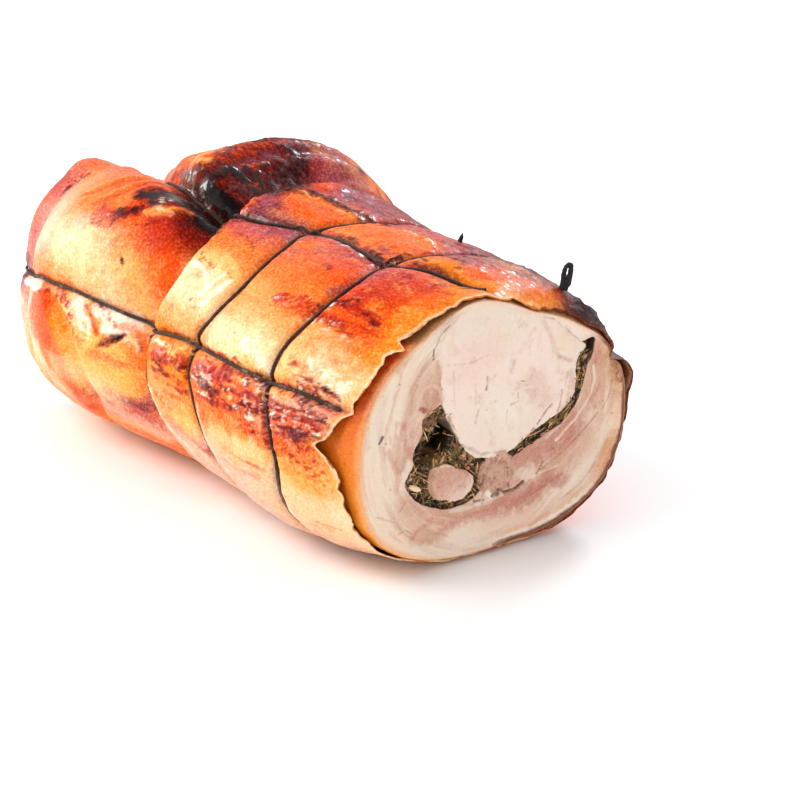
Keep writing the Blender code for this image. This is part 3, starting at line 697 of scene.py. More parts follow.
SKIN_ZONES = (
    # swollen end beyond the far loop, near side above the lengthwise twine; the blush and cream patches 30
    # to 40 degrees up are a painted broad highlight, and the char and soot in the cleft near 60 degrees are
    # partly painted shade
    Zone(-150, 34, 13, 26, Tone.ROSE), Zone(-126, 40, 20, 18, Tone.BLUSH, 1.2),
    Zone(-104, 55, 24, 9, Tone.APRICOT), Zone(-136, 64, 16, 8, Tone.APRICOT),
    Zone(-82, 48, 20, 8, Tone.APRICOT), Zone(-76, 31, 22, 8, Tone.CREAM, 1.2),
    Zone(-50, 23, 18, 6, Tone.PEACH, 1.3), Zone(-112, 20, 24, 5, Tone.AMBER),
    Zone(-40, 38, 15, 9, Tone.ORANGE, 1.3), Zone(-26, 26, 10, 9, Tone.ORANGE),
    Zone(-24, 45, 9, 9, Tone.EMBER, 1.2), Zone(-10, 32, 6, 11, Tone.ORANGE, 1.2),
    Zone(-8, 54, 9, 6, Tone.RUST, 1.4), Zone(-4, 60, 9, 6, Tone.CHAR, 1.8),
    Zone(-24, 62, 12, 5, Tone.CHAR, 1.8), Zone(-60, 60, 20, 6, Tone.ORANGE),
    Zone(-100, 67, 24, 6, Tone.ORANGE), Zone(-44, 66, 14, 4, Tone.SOOT, 1.4),
    # the same end below the twine
    Zone(-158, -2, 18, 12, Tone.BLUSH), Zone(-150, -34, 26, 20, Tone.PEACH),
    Zone(-100, -10, 7, 26, Tone.ORANGE, 1.2), Zone(-82, -8, 7, 16, Tone.AMBER),
    Zone(-56, -14, 20, 8, Tone.BUTTER, 1.4), Zone(-32, -8, 14, 8, Tone.BUTTER, 1.2),
    Zone(-42, 10, 24, 4, Tone.CREAM), Zone(-44, -27, 25, 5, Tone.ROSE, 1.2),
    Zone(-50, -44, 40, 9, Tone.APRICOT), Zone(-90, -60, 50, 18, Tone.PEACH),
    Zone(-14, -2, 8, 14, Tone.APRICOT),
    # section between the far and the middle loop; the cream patch near 37 degrees is a painted highlight
    # and the rose and mauve on top a painted sheen
    Zone(20, 76, 16, 6, Tone.MAUVE), Zone(18, 66, 16, 5, Tone.ROSE), Zone(20, 57, 18, 5, Tone.APRICOT),
    Zone(26, 47, 16, 4, Tone.BUTTER), Zone(24, 37, 16, 9, Tone.CREAM, 1.3),
    Zone(28, 24, 16, 6, Tone.PEACH), Zone(22, 8, 18, 7, Tone.AMBER), Zone(22, -8, 14, 9, Tone.PEACH),
    Zone(40, -12, 9, 7, Tone.BUTTER), Zone(34, -30, 22, 12, Tone.BLUSH),
    Zone(25, 89, 15, 6, Tone.APRICOT, 1.3),
    # section between the middle and the front loop; the cream patch near 29 degrees is a painted highlight
    # and the rose on top a painted sheen
    Zone(86, 77, 28, 4, Tone.ROSE), Zone(70, 68, 18, 5, Tone.APRICOT), Zone(98, 66, 14, 6, Tone.ORANGE),
    Zone(85, 55, 28, 6, Tone.APRICOT), Zone(75, 42, 24, 8, Tone.PEACH),
    Zone(84, 29, 26, 6, Tone.CREAM, 1.3), Zone(98, 24, 12, 3, Tone.BUTTER),
    Zone(84, 8, 28, 6, Tone.APRICOT), Zone(84, -2, 28, 6, Tone.APRICOT),
    Zone(100, -9, 20, 5, Tone.BUTTER, 1.3), Zone(78, -16, 24, 6, Tone.BLUSH),
    Zone(84, -42, 36, 20, Tone.BLUSH), Zone(78, 95, 34, 8, Tone.APRICOT, 1.3),
    # front section, up to the ragged edge; the cream patch near 33 degrees is a painted highlight and the
    # rose on top a painted sheen
    Zone(130, 72, 15, 7, Tone.ROSE), Zone(140, 66, 18, 7, Tone.EMBER, 1.1),
    Zone(152, 72, 16, 9, Tone.ORANGE, 1.2), Zone(165, 58, 8, 16, Tone.AMBER, 1.2),
    Zone(140, 54, 14, 5, Tone.ORANGE), Zone(134, 42, 15, 6, Tone.PEACH), Zone(150, 33, 18, 6, Tone.CREAM),
    Zone(126, 28, 9, 7, Tone.BUTTER), Zone(150, 10, 24, 8, Tone.BLUSH),
    Zone(146, -12, 22, 7, Tone.BUTTER, 1.3), Zone(140, -1, 18, 5, Tone.APRICOT),
    Zone(146, -30, 26, 10, Tone.CREAM, 1.3), Zone(150, -56, 30, 16, Tone.BLUSH),
    Zone(150, 91, 18, 7, Tone.AMBER, 1.3),
    # high on the back of the swollen end
    Zone(-60, 80, 26, 5, Tone.ORANGE), Zone(-80, 92, 20, 8, Tone.APRICOT), Zone(-30, 80, 9, 8, Tone.PLUM),
    Zone(-28, 98, 13, 9, Tone.RUST, 1.2), Zone(-44, 98, 12, 9, Tone.RUST, 1.2),
    Zone(-4, 100, 7, 9, Tone.EMBER), Zone(-30, 120, 30, 8, Tone.MAUVE, 1.2),
    Zone(-110, 106, 30, 22, Tone.APRICOT),
    # the side that turns away; the mauve and rose bands just past the top are a painted sheen
    Zone(10, 112, 25, 8, Tone.MAUVE), Zone(70, 112, 30, 7, Tone.ROSE), Zone(120, 104, 22, 7, Tone.MAUVE),
    Zone(150, 112, 22, 9, Tone.TAN), Zone(60, 130, 60, 12, Tone.RUST),
    Zone(-60, 140, 60, 16, Tone.ORANGE), Zone(150, 140, 30, 14, Tone.RUST),
    Zone(20, 160, 70, 18, Tone.APRICOT), Zone(120, 175, 50, 18, Tone.ORANGE),
    Zone(-100, 180, 50, 22, Tone.PEACH), Zone(0, 200, 60, 18, Tone.PEACH),
    Zone(110, 215, 60, 20, Tone.APRICOT), Zone(-60, 240, 90, 22, Tone.BLUSH),
    Zone(90, 250, 80, 20, Tone.PEACH),
)

# white specks with high shine here are painted glints; the black in the cleft near 55 to 70 degrees is
# partly char and partly painted shade
SWOLLEN_END_MARKS = (
    Mark(Tone.CREAM, 17.0, ((-58, 30), (-46, 28), (-34, 25), (-28, 21)), 0.8, 1.7, 0.4),
    Mark(Tone.BUTTER, 9.0, ((-30, 32), (-22, 27), (-17, 21)), 0.75, 1.7, 0.4),
    Mark(Tone.APRICOT, 7.0, ((-34, 41), (-24, 38), (-14, 32)), 0.55, 1.7, 0.4),
    ringed(0.75, Tone.ROSE, 7, ((-148, 10), (-152, 30), (-150, 46), (-146, 58)), 0.55, 1.4, 0.5),
    speckled(0.5, Tone.RUST, 2.2, ((-143, 56), (-144, 52), (-141, 60)), 0.8, 1.0, 1.2, 0.3),
    speckled(0.35, Tone.PLUM, 3.5, ((-143, 57), (-146, 50)), 0.7, 1.0, 1.0, 0.3),
    Mark(Tone.EMBER, 4.0, ((-138, 68), (-120, 66), (-100, 66)), 0.35, 1.6, 0.8),
    Mark(Tone.PEACH, 1.3, ((-104, 50), (-94, 54), (-80, 61), (-68, 63)), 0.55, 1.2, 0.5, 0.7),
    Mark(Tone.EMBER, 1.6, ((-100, 49), (-90, 51), (-78, 57), (-66, 60)), 0.5, 1.5, 0.5, -1.0),
    Mark(Tone.PEACH, 1.1, ((-78, 48), (-70, 53), (-62, 59), (-60, 64)), 0.5, 1.2, 0.5, 0.6),
    Mark(Tone.RUST, 2.2, ((-76, 46), (-64, 51), (-56, 60)), 0.45, 1.6, 0.6, -0.8),
    Mark(Tone.CRIMSON, 5.5, ((-66, 43), (-56, 42), (-48, 45), (-40, 49), (-33, 55)), 0.7, 1.4, 0.6),
    Mark(Tone.WINE, 4.2, ((-53, 43), (-47, 45), (-42, 47)), 0.85, 1.0, 0.9, 0.2),
    speckled(0.6, Tone.SOOT, 2.3, ((-51, 45), (-46, 47)), 0.7, 1.1, 1.3, 0.2),
    speckled(0.6, Tone.RUST, 2.2, ((-70, 38), (-62, 39), (-54, 39)), 0.45, 1.3, 0.9),
    Mark(Tone.WINE, 5.5, ((-50, 53), (-42, 57), (-36, 62), (-34, 66)), 0.92, 1.0, 0.5),
    Mark(Tone.CHAR, 6.0, ((-40, 54), (-36, 57), (-33, 61), (-33, 66)), 0.96, 0.8, 0.5, 0.3, 0.95),
    Mark(Tone.CHAR, 1.5, ((-51, 51), (-49, 53)), 0.8, 0.9, 0.6),
    speckled(0.35, Tone.WHITE, 1.5, ((-37, 54), (-34, 57)), 0.8, 0.8, 1.6, 0.4, 0.95),
    Mark(Tone.BUTTER, 3.4, ((-36, 48), (-29, 51), (-24, 54), (-19, 56)), 0.75, 1.1, 0.5, 1.2, taper=0.4),
    Mark(Tone.CREAM, 0.9, ((-32, 51), (-28, 51.5), (-24, 52)), 0.8, 1.0, 1.0, 0.4),
    Mark(Tone.AMBER, 3.0, ((-24, 54), (-19, 58)), 0.8, 1.2, 0.4, 0.9),
    speckled(0.6, Tone.RUST, 1.0, ((-38, 43), (-33, 43), (-30, 45)), 0.7, 1.0, 1.0, -0.3),
    Mark(Tone.RUST, 2.5, ((-30, 46), (-24, 49), (-18, 51)), 0.5, 1.8, 0.6),
    Mark(Tone.EMBER, 8.0, ((-22, 42), (-16, 48), (-14, 54)), 0.6, 1.6, 0.4),
    Mark(Tone.WINE, 6.5, ((-15, 52), (-10, 56), (-8, 62)), 0.85, 1.5, 0.4),
    Mark(Tone.CHAR, 6.0, ((-14, 58), (-10, 62), (-8, 68), (-12, 72)), 0.95, 1.2, 0.4),
    Mark(Tone.CHAR, 4.0, ((-26, 58), (-24, 62), (-26, 68)), 0.95, 1.0, 0.5),
    Mark(Tone.PLUM, 0.9, ((-33, 31), (-31, 30)), 0.9, 0.8, 0.8, -0.2),
    Mark(Tone.SOOT, 0.8, ((-34, 31.5), (-32.5, 30.5)), 0.9, 0.7, 0.6),
    Mark(Tone.MAUVE, 4.0, ((-86, 38), (-76, 40)), 0.35, 1.8, 0.6),
    ringed(0.7, Tone.ROSE, 5.0, ((-108, 25), (-100, 28)), 0.35, 1.6, 0.6),
    speckled(0.55, Tone.BROWN, 2.8, ((-140, 19), (-120, 20), (-102, 20), (-80, 19)), 0.5, 1.6, 0.9),
    speckled(0.5, Tone.EMBER, 1.6, ((-76, 18.5), (-50, 16), (-18, 14.5)), 0.55, 1.5, 0.9),
    Mark(Tone.ORANGE, 9.0, ((-174, 24), (-168, 32), (-160, 44)), 0.6, 1.7, 0.5),
    Mark(Tone.EMBER, 4.0, ((-170, 34), (-164, 44), (-160, 54)), 0.4, 1.5, 0.8),
)

# white strokes here are partly torn pale skin and partly painted glints
LOWER_END_MARKS = (
    Mark(Tone.BUTTER, 14.0, ((-68, -5), (-50, -8), (-34, -10)), 0.75, 1.7, 0.5),
    Mark(Tone.CREAM, 9.0, ((-84, -14), (-62, -18), (-42, -20)), 0.65, 1.7, 0.5),
    Mark(Tone.CREAM, 10.0, ((-112, -12), (-104, -24), (-90, -32)), 0.65, 1.7, 0.5),
    Mark(Tone.BLUSH, 9.0, ((-46, -29), (-30, -33), (-16, -34)), 0.6, 1.7, 0.5),
    Mark(Tone.WHITE, 5.0, ((-156, 11), (-140, 13), (-122, 14), (-104, 14)), 0.85, 0.5, 0.3, 0.6, 0.75,
         taper=0.3),
    Mark(Tone.ROSE, 4.5, ((-168, 6), (-156, 6), (-146, 4)), 0.6, 1.4, 0.6),
    ringed(0.7, Tone.MAUVE, 3.0, ((-130, 4), (-112, 7), (-104, 5)), 0.45, 1.5, 0.6),
    speckled(0.5, Tone.CRIMSON, 2.0, ((-100, 12), (-92, 13)), 0.8, 1.0, 1.0, 0.2),
    Mark(Tone.EMBER, 5.0, ((-94, 8), (-90, 0), (-84, -10), (-82, -22), (-84, -36)), 0.75, 1.3, 0.3),
    Mark(Tone.ORANGE, 8.0, ((-96, 4), (-92, -8), (-88, -20), (-88, -40)), 0.5, 1.5, 0.3),
    Mark(Tone.BUTTER, 1.0, ((-84, 5), (-79, -2), (-74, -10), (-72, -19), (-74, -28)), 0.7, 1.0, 0.6, 0.4),
    speckled(0.55, Tone.CRIMSON, 4.6, ((-86, 14), (-74, 13), (-68, 9), (-70, 3), (-66, -1)), 0.78, 1.0, 0.8,
           0.4),
    speckled(0.55, Tone.EMBER, 5.0, ((-84, 12), (-74, 10), (-70, 4), (-64, -2)), 0.6, 1.2, 0.8),
    speckled(0.8, Tone.WHITE, 5.0, ((-62, 11), (-58, 7), (-56, 2)), 0.8, 0.8, 0.6, -0.8, 0.9),
    speckled(0.4, Tone.ROSE, 3.0, ((-56, 4), (-54, 0)), 0.5, 1.0, 0.9),
    Mark(Tone.EMBER, 2.2, ((-56, 11), (-50, 7), (-46, 3)), 0.9, 1.0, 0.5, -0.8),
    Mark(Tone.AMBER, 2.8, ((-52, 12), (-46, 8), (-42, 4), (-39, 2)), 0.9, 0.8, 0.4, 0.6, 0.8),
    Mark(Tone.WHITE, 6.0, ((-44, 12), (-34, 10), (-24, 11), (-36, 6)), 0.9, 0.7, 0.5, 0.2, 0.9),
    speckled(0.5, Tone.EMBER, 2.2, ((-50, 14), (-44, 13), (-38, 10), (-34, 8)), 0.75, 1.0, 1.0, 0.3),
    Mark(Tone.SOOT, 0.9, ((-47, 13.5), (-45, 12.5)), 0.8, 0.8, 0.8),
    streaked(0.7, Tone.EMBER, 4.0, ((-60, -3), (-50, -5), (-36, -5), (-22, -4)), 0.55, 1.3, 0.5, 0.5),
    Mark(Tone.RUST, 3.0, ((-44, -2), (-38, 0), (-31, 3.5), (-27, 5.5)), 0.9, 0.9, 0.5, -1.4, taper=0.6),
    Mark(Tone.WINE, 1.7, ((-42, -1.5), (-36, 1), (-30, 4), (-27, 5.5)), 0.9, 0.9, 0.6, -0.8, taper=0.6),
    Mark(Tone.SOOT, 1.0, ((-34, 2.4), (-31.5, 3.6)), 0.9, 0.7, 0.5),
    Mark(Tone.ORANGE, 2.4, ((-30, 8), (-22, 9), (-16, 6), (-13, 1), (-15, -4)), 0.6, 1.2, 0.6, 0.8),
    speckled(0.6, Tone.CREAM, 2.0, ((-26, 4), (-19, 4), (-17, 0)), 0.7, 1.1, 0.9, 0.6, 0.8),
    speckled(0.6, Tone.CRIMSON, 1.2, ((-20, 6), (-16, 2), (-18, -2)), 0.7, 1.0, 1.0),
    streaked(0.6, Tone.ROSE, 3.0, ((-58, -6), (-44, -8), (-28, -6)), 0.4, 1.4, 0.8),
    streaked(0.85, Tone.MAUVE, 5.5, ((-44, -20), (-32, -22), (-20, -22), (-10, -18)), 0.7, 1.3, 0.5),
    streaked(0.6, Tone.PLUM, 3.0, ((-30, -22), (-20, -23), (-12, -20)), 0.5, 1.2, 0.7),
    speckled(0.5, Tone.CRIMSON, 2.6, ((-62, -24), (-50, -26), (-42, -27)), 0.55, 1.2, 1.0),
    streaked(0.7, Tone.ROSE, 3.0, ((-40, -30), (-20, -32), (0, -34), (20, -38)), 0.5, 1.5, 0.6),
    Mark(Tone.BUTTER, 3.5, ((-70, -38), (-50, -38), (-30, -37)), 0.6, 1.5, 0.5),
    Mark(Tone.BUTTER, 12.0, ((-66, -8), (-50, -11), (-36, -12)), 0.55, 1.7, 0.5),
    Mark(Tone.CREAM, 9.0, ((-84, -16), (-62, -20), (-42, -22)), 0.5, 1.7, 0.5),
    Mark(Tone.CREAM, 9.0, ((-124, -8), (-112, -16), (-100, -28)), 0.5, 1.7, 0.5),
    Mark(Tone.BLUSH, 8.0, ((-60, -30), (-40, -34), (-18, -36)), 0.6, 1.7, 0.5),
)

# white strokes and specks here are painted glints
FAR_SECTION_MARKS = (
    speckled(0.65, Tone.RUST, 1.3, ((7, 66), (-1, 57), (-2, 48), (0, 40), (-3, 32)), 0.7, 1.2, 0.9, 0.4),
    speckled(0.5, Tone.CRIMSON, 2.0, ((4, 47), (12, 47), (20, 46), (28, 47)), 0.6, 1.1, 1.1, 0.2),
    Mark(Tone.BLUSH, 1.4, ((4, 67), (2, 70)), 0.9, 0.9, 0.6, 1.0),
    streaked(0.7, Tone.PLUM, 3.6, ((10, 74), (22, 74), (32, 76), (38, 78)), 0.55, 1.4, 0.7),
    speckled(0.4, Tone.CRIMSON, 2.6, ((22, 70), (30, 70), (38, 72)), 0.5, 1.2, 1.2, 0.2),
    Mark(Tone.RUST, 0.5, ((16, 61), (26, 62), (36, 60), (42, 56)), 0.6, 1.0, 0.8, -0.3),
    Mark(Tone.WHITE, 1.5, ((12, 44), (18, 44.5), (26, 43), (31, 41)), 0.85, 0.9, 0.7, 0.3, 0.8),
    Mark(Tone.WHITE, 1.2, ((38, 47), (35, 43), (33, 39), (32, 36)), 0.85, 0.9, 0.7, 0.4, 0.8),
    Mark(Tone.WHITE, 2.2, ((45, 46), (41, 40), (37, 34)), 0.8, 1.0, 0.6, 0.3, 0.85),
    speckled(0.6, Tone.EMBER, 1.2, ((44, 47), (38, 49)), 0.7, 1.1, 1.0, 0.3),
    Mark(Tone.WHITE, 0.7, ((4, 40), (10, 41), (14, 40)), 0.7, 1.0, 0.8),
    Mark(Tone.CRIMSON, 0.9, ((27, 33), (28, 34)), 0.8, 0.8, 0.8),
    Mark(Tone.APRICOT, 0.7, ((8, 27), (18, 28), (28, 27)), 0.4, 1.3, 0.8),
    speckled(0.55, Tone.CRIMSON, 1.6, ((12, 19), (16, 18), (18, 21)), 0.6, 1.0, 1.1),
    speckled(0.5, Tone.CRIMSON, 1.5, ((4, 17.5), (18, 19), (32, 20)), 0.65, 1.2, 1.1, 0.2),
    speckled(0.7, Tone.BUTTER, 4.0, ((6, 13), (16, 13), (24, 12)), 0.7, 1.2, 0.7, 0.6, 0.8),
    speckled(0.4, Tone.WHITE, 1.0, ((2, 14), (8, 12), (14, 13)), 0.8, 1.0, 1.2),
    streaked(0.6, Tone.EMBER, 2.0, ((20, 15), (28, 12), (36, 10)), 0.5, 1.2, 1.0),
    Mark(Tone.AMBER, 1.2, ((4, 9), (14, 9.5), (24, 9), (34, 8)), 0.8, 1.0, 0.5, 1.0, 0.8),
    streaked(0.7, Tone.ORANGE, 6.5, ((6, 4), (20, 4), (36, 2)), 0.55, 1.3, 0.6),
    streaked(0.5, Tone.CRIMSON, 2.6, ((10, 4.5), (20, 3), (30, 1), (40, 0)), 0.8, 1.0, 0.9, 0.3),
    speckled(0.5, Tone.WINE, 1.0, ((14, 4), (22, 2.5)), 0.8, 1.0, 1.0),
    streaked(0.45, Tone.EMBER, 5.0, ((4, -3), (20, -4), (36, -5)), 0.5, 1.2, 0.9, 0.3),
    speckled(0.5, Tone.EMBER, 1.2, ((6, -8), (16, -10), (24, -11)), 0.6, 1.1, 1.0),
    Mark(Tone.WHITE, 1.4, ((1, -6), (4, -12), (8, -18), (20, -26), (34, -32)), 0.6, 1.1, 0.5, 0.7),
    Mark(Tone.BUTTER, 5.0, ((28, -12), (44, -13), (52, -14)), 0.75, 1.0, 0.5),
    streaked(0.65, Tone.ROSE, 5.0, ((20, -19), (40, -20), (56, -22)), 0.5, 1.4, 0.7),
    streaked(0.4, Tone.CRIMSON, 1.6, ((36, -20), (46, -21), (54, -23)), 0.5, 1.2, 1.1),
)

# rose and mauve high up are a painted sheen, the cream and white patch about 30 degrees up a painted
# highlight, and the white specks painted glints
MIDDLE_SECTION_MARKS = (
    Mark(Tone.ROSE, 8.0, ((56, 63), (74, 68), (100, 72)), 0.5, 1.7, 0.5),
    streaked(0.8, Tone.MAUVE, 4.0, ((52, 66), (70, 72), (92, 76)), 0.45, 1.6, 0.6),
    speckled(0.5, Tone.RUST, 0.8, ((64, 63), (70, 63.5)), 0.6, 1.0, 1.2),
    Mark(Tone.PLUM, 1.5, ((91, 67.5), (95, 67), (97, 66)), 0.85, 1.0, 0.9, 0.3),
    Mark(Tone.ORANGE, 8.0, ((84, 60), (96, 62), (110, 62)), 0.5, 1.7, 0.7),
    speckled(0.6, Tone.AMBER, 3.5, ((98, 56), (108, 58), (114, 61)), 0.5, 1.6, 0.8),
    Mark(Tone.CRIMSON, 2.6, ((90, 48.6), (89, 49.4)), 0.85, 0.7, 0.4, 0.2),
    Mark(Tone.ORANGE, 1.7, ((89.3, 49.0), (89.6, 49.1)), 0.95, 0.5, 0.3, 0.8, 0.9),
    speckled(0.5, Tone.CRIMSON, 3.0, ((93, 49.5), (102, 51), (112, 51.5)), 0.7, 0.9, 0.8, 0.3),
    speckled(0.65, Tone.EMBER, 4.2, ((92, 48), (102, 48.5), (114, 49)), 0.7, 1.0, 0.9, 0.2),
    speckled(0.24, Tone.WHITE, 1.8, ((94, 48), (103, 49)), 0.45, 0.8, 1.5, 0.3, 0.98),
    speckled(0.7, Tone.CREAM, 7.0, ((92, 36), (104, 33), (98, 28)), 0.5, 1.6, 0.8),
    speckled(0.65, Tone.WHITE, 4.5, ((92, 31), (104, 27), (110, 26)), 0.7, 1.4, 0.9, shine=0.85),
    Mark(Tone.MAUVE, 0.7, ((78, 32), (79, 32)), 0.7, 0.8, 0.5),
    speckled(0.6, Tone.PLUM, 1.8, ((50, 33), (49, 29)), 0.6, 1.0, 1.1),
    speckled(0.5, Tone.CRIMSON, 1.4, ((56, 25), (60, 25.5)), 0.6, 1.0, 1.2),
    speckled(0.55, Tone.EMBER, 1.8, ((54, 21), (66, 22), (78, 23), (90, 23)), 0.85, 1.0, 1.1, 0.3),
    Mark(Tone.ROSE, 2.0, ((52, 24), (54, 32), (56, 38)), 0.4, 1.4, 0.8),
    speckled(0.7, Tone.WHITE, 5.0, ((54, 12), (60, 10), (66, 12), (64, 7)), 0.75, 1.0, 1.0, 0.2, 0.85),
    streaked(0.55, Tone.EMBER, 6.0, ((62, 17), (80, 15), (100, 12)), 0.6, 1.3, 0.8),
    streaked(0.7, Tone.CRIMSON, 4.0, ((78, 18), (90, 19), (104, 20), (112, 19)), 0.85, 1.0, 0.9, 0.2),
    speckled(0.5, Tone.PLUM, 2.6, ((92, 20), (104, 21), (113, 20)), 0.8, 1.1, 0.9),
    speckled(0.36, Tone.WHITE, 3.2, ((90, 18.5), (104, 18), (114, 17)), 0.85, 1.0, 1.3, 0.3, 0.9),
    streaked(0.55, Tone.EMBER, 4.6, ((56, 6), (72, 7), (88, 9), (104, 12)), 0.8, 1.1, 0.8, 0.2),
    streaked(0.55, Tone.CRIMSON, 3.6, ((58, 3), (76, 5), (94, 7), (108, 10), (116, 10)), 0.85, 1.0, 0.9,
            0.3),
    speckled(0.6, Tone.WINE, 3.4, ((98, 7), (108, 9), (117, 9)), 0.8, 1.0, 1.0, 0.2),
    speckled(0.34, Tone.WHITE, 3.0, ((96, 8), (106, 9), (112, 6)), 0.85, 1.0, 1.4, 0.3, 0.95),
    streaked(0.5, Tone.EMBER, 3.6, ((66, -1), (84, 0), (100, 2), (114, 3)), 0.7, 1.1, 1.0, 0.2),
    speckled(0.5, Tone.CRIMSON, 2.2, ((92, -1), (104, 1), (116, 2)), 0.75, 1.0, 1.1, 0.2),
    Mark(Tone.WHITE, 1.2, ((56, 0), (60, -8), (66, -16), (78, -24)), 0.55, 1.3, 0.7, 0.4),
    speckled(0.6, Tone.EMBER, 0.8, ((64, -3), (66, -5), (70, -4)), 0.7, 0.9, 1.0),
    streaked(0.6, Tone.ROSE, 2.6, ((84, -11), (100, -12), (118, -12)), 0.55, 1.4, 0.8),
    streaked(0.5, Tone.EMBER, 1.4, ((104, -11.5), (112, -12), (120, -12.5)), 0.55, 1.1, 1.1),
    streaked(0.5, Tone.ROSE, 2.0, ((76, -18), (96, -18), (116, -18)), 0.4, 1.4, 0.8),
    Mark(Tone.CREAM, 7.0, ((76, -8), (90, -7), (106, -7), (118, -8)), 0.65, 1.6, 0.8),
    Mark(Tone.BUTTER, 6.0, ((70, -2), (84, -1), (98, 0)), 0.5, 1.6, 0.9),
    Mark(Tone.PEACH, 5.0, ((16, 76), (24, 77), (32, 80)), 0.55, 1.5, 0.6),
)

# mauve and white strokes high up are a painted sheen, the cream and white patch about 35 degrees up a
# painted highlight, and the white specks painted glints
FRONT_SECTION_MARKS = (
    ringed(0.85, Tone.MAUVE, 4.0, ((114, 60), (120, 66), (122, 72), (116, 80)), 0.6, 1.4, 0.6, 0.4),
    ringed(0.6, Tone.WHITE, 0.9, ((118, 58), (124, 63), (127, 68)), 0.6, 1.2, 0.7),
    ringed(0.5, Tone.RUST, 1.1, ((126, 62), (132, 64), (140, 66)), 0.55, 1.2, 1.2),
    speckled(0.55, Tone.CRIMSON, 2.4, ((132, 78), (142, 80), (154, 79), (162, 78)), 0.65, 1.2, 0.9),
    speckled(0.75, Tone.EMBER, 7.0, ((130, 66), (140, 70), (150, 76)), 0.55, 1.7, 0.7),
    speckled(0.65, Tone.AMBER, 5.0, ((146, 60), (158, 58), (164, 52), (166, 68)), 0.6, 1.5, 0.9),
    speckled(0.4, Tone.BUTTER, 2.0, ((158, 62), (166, 60), (169, 50)), 0.5, 1.2, 1.2),
    streaked(0.8, Tone.PLUM, 3.4, ((118, 52), (125, 54.5), (130, 57), (134, 58.5)), 0.85, 1.1, 0.7, 0.3),
    speckled(0.55, Tone.SOOT, 1.4, ((125, 56), (131, 58.5)), 0.75, 1.1, 1.1, 0.2),
    speckled(0.4, Tone.WHITE, 1.6, ((122, 53), (128, 55)), 0.8, 0.9, 1.4, 0.2, 0.95),
    streaked(0.7, Tone.EMBER, 5.5, ((128, 52), (140, 53.5), (152, 53), (160, 50)), 0.75, 1.1, 0.8),
    streaked(0.6, Tone.CRIMSON, 3.4, ((132, 56), (142, 56.5), (154, 55)), 0.85, 1.0, 1.0, 0.3),
    streaked(0.45, Tone.WINE, 1.8, ((134, 54), (146, 56), (156, 55)), 0.7, 1.0, 1.2, 0.2),
    streaked(0.5, Tone.CRIMSON, 2.2, ((126, 49), (138, 49), (150, 47)), 0.7, 1.1, 1.1, 0.2),
    speckled(0.26, Tone.WHITE, 2.0, ((120, 47), (130, 48), (142, 47), (152, 45)), 0.5, 0.8, 1.5, 0.3, 0.98),
    Mark(Tone.BUTTER, 1.6, ((121, 40), (118, 30), (122, 23)), 0.6, 1.2, 0.6, 0.3),
    speckled(0.65, Tone.CREAM, 6.0, ((136, 40), (146, 36), (156, 38)), 0.5, 1.4, 1.0),
    speckled(0.6, Tone.WHITE, 4.4, ((142, 33), (154, 30), (162, 30)), 0.75, 1.3, 1.1, 0.2, 0.85),
    speckled(0.4, Tone.ORANGE, 2.0, ((128, 33), (140, 31)), 0.5, 1.3, 1.2),
    streaked(0.45, Tone.CRIMSON, 4.5, ((132, 29), (144, 27), (156, 25)), 0.8, 1.1, 1.1, 0.3),
    speckled(0.55, Tone.WINE, 2.4, ((148, 27), (156, 26), (162, 24)), 0.85, 1.0, 1.1, 0.3),
    Mark(Tone.EMBER, 5.5, ((130, 23), (146, 22), (162, 20)), 0.7, 1.2, 0.9),
    speckled(0.55, Tone.WINE, 4.5, ((130, 22), (144, 21), (158, 19)), 0.85, 1.0, 1.2, 0.4, 0.8),
    speckled(0.26, Tone.WHITE, 5.0, ((134, 24), (148, 23), (162, 20)), 0.65, 0.8, 1.4, 0.4, 0.98),
    streaked(0.75, Tone.PLUM, 5.5, ((126, 12), (136, 13), (146, 13)), 0.75, 1.1, 0.9, 0.2),
    Mark(Tone.ORANGE, 9.0, ((126, 8), (142, 9), (164, 10)), 0.8, 1.2, 0.8),
    streaked(0.6, Tone.CRIMSON, 7.5, ((126, 9), (140, 10), (158, 11), (166, 12)), 0.88, 1.0, 1.2, 0.4, 0.8),
    speckled(0.34, Tone.WHITE, 7.5, ((128, 10), (142, 11), (158, 12), (164, 11)), 0.85, 0.8, 1.5, 0.4,
             0.98),
    speckled(0.55, Tone.SOOT, 2.2, ((156, 15), (164, 14)), 0.8, 1.0, 1.2, 0.3),
    speckled(0.6, Tone.EMBER, 5.0, ((126, 2), (138, 3), (150, 3)), 0.75, 1.1, 0.9, 0.2),
    speckled(0.5, Tone.AMBER, 3.0, ((132, 6), (136, 2), (146, 4)), 0.7, 1.0, 1.1, 0.2),
    ringed(0.6, Tone.CRIMSON, 3.6, ((124, 2), (129, -4), (133, -8)), 0.75, 1.0, 0.9, 0.3),
    speckled(0.5, Tone.CRIMSON, 3.4, ((136, -3), (146, -3), (156, -4)), 0.7, 1.1, 1.1, 0.3),
    speckled(0.5, Tone.EMBER, 5.0, ((136, -7), (148, -8), (160, -9)), 0.65, 1.2, 1.0, 0.2),
    speckled(0.65, Tone.AMBER, 5.0, ((144, -12), (156, -14), (164, -16)), 0.6, 1.3, 0.9),
    streaked(0.7, Tone.CREAM, 6.0, ((142, -24), (154, -26), (166, -26)), 0.6, 1.4, 0.8),
    Mark(Tone.AMBER, 1.0, ((148, -31), (158, -33), (168, -35)), 0.7, 1.0, 0.8, -0.4),
    Mark(Tone.WHITE, 1.6, ((126, -8), (124, -16), (125, -24), (131, -31)), 0.6, 1.2, 0.6, 0.5),
    Mark(Tone.BUTTER, 7.0, ((134, -8), (142, -11), (150, -14)), 0.55, 1.6, 0.8),
    Mark(Tone.CREAM, 6.0, ((134, -16), (146, -20), (158, -22)), 0.5, 1.6, 0.8),
)
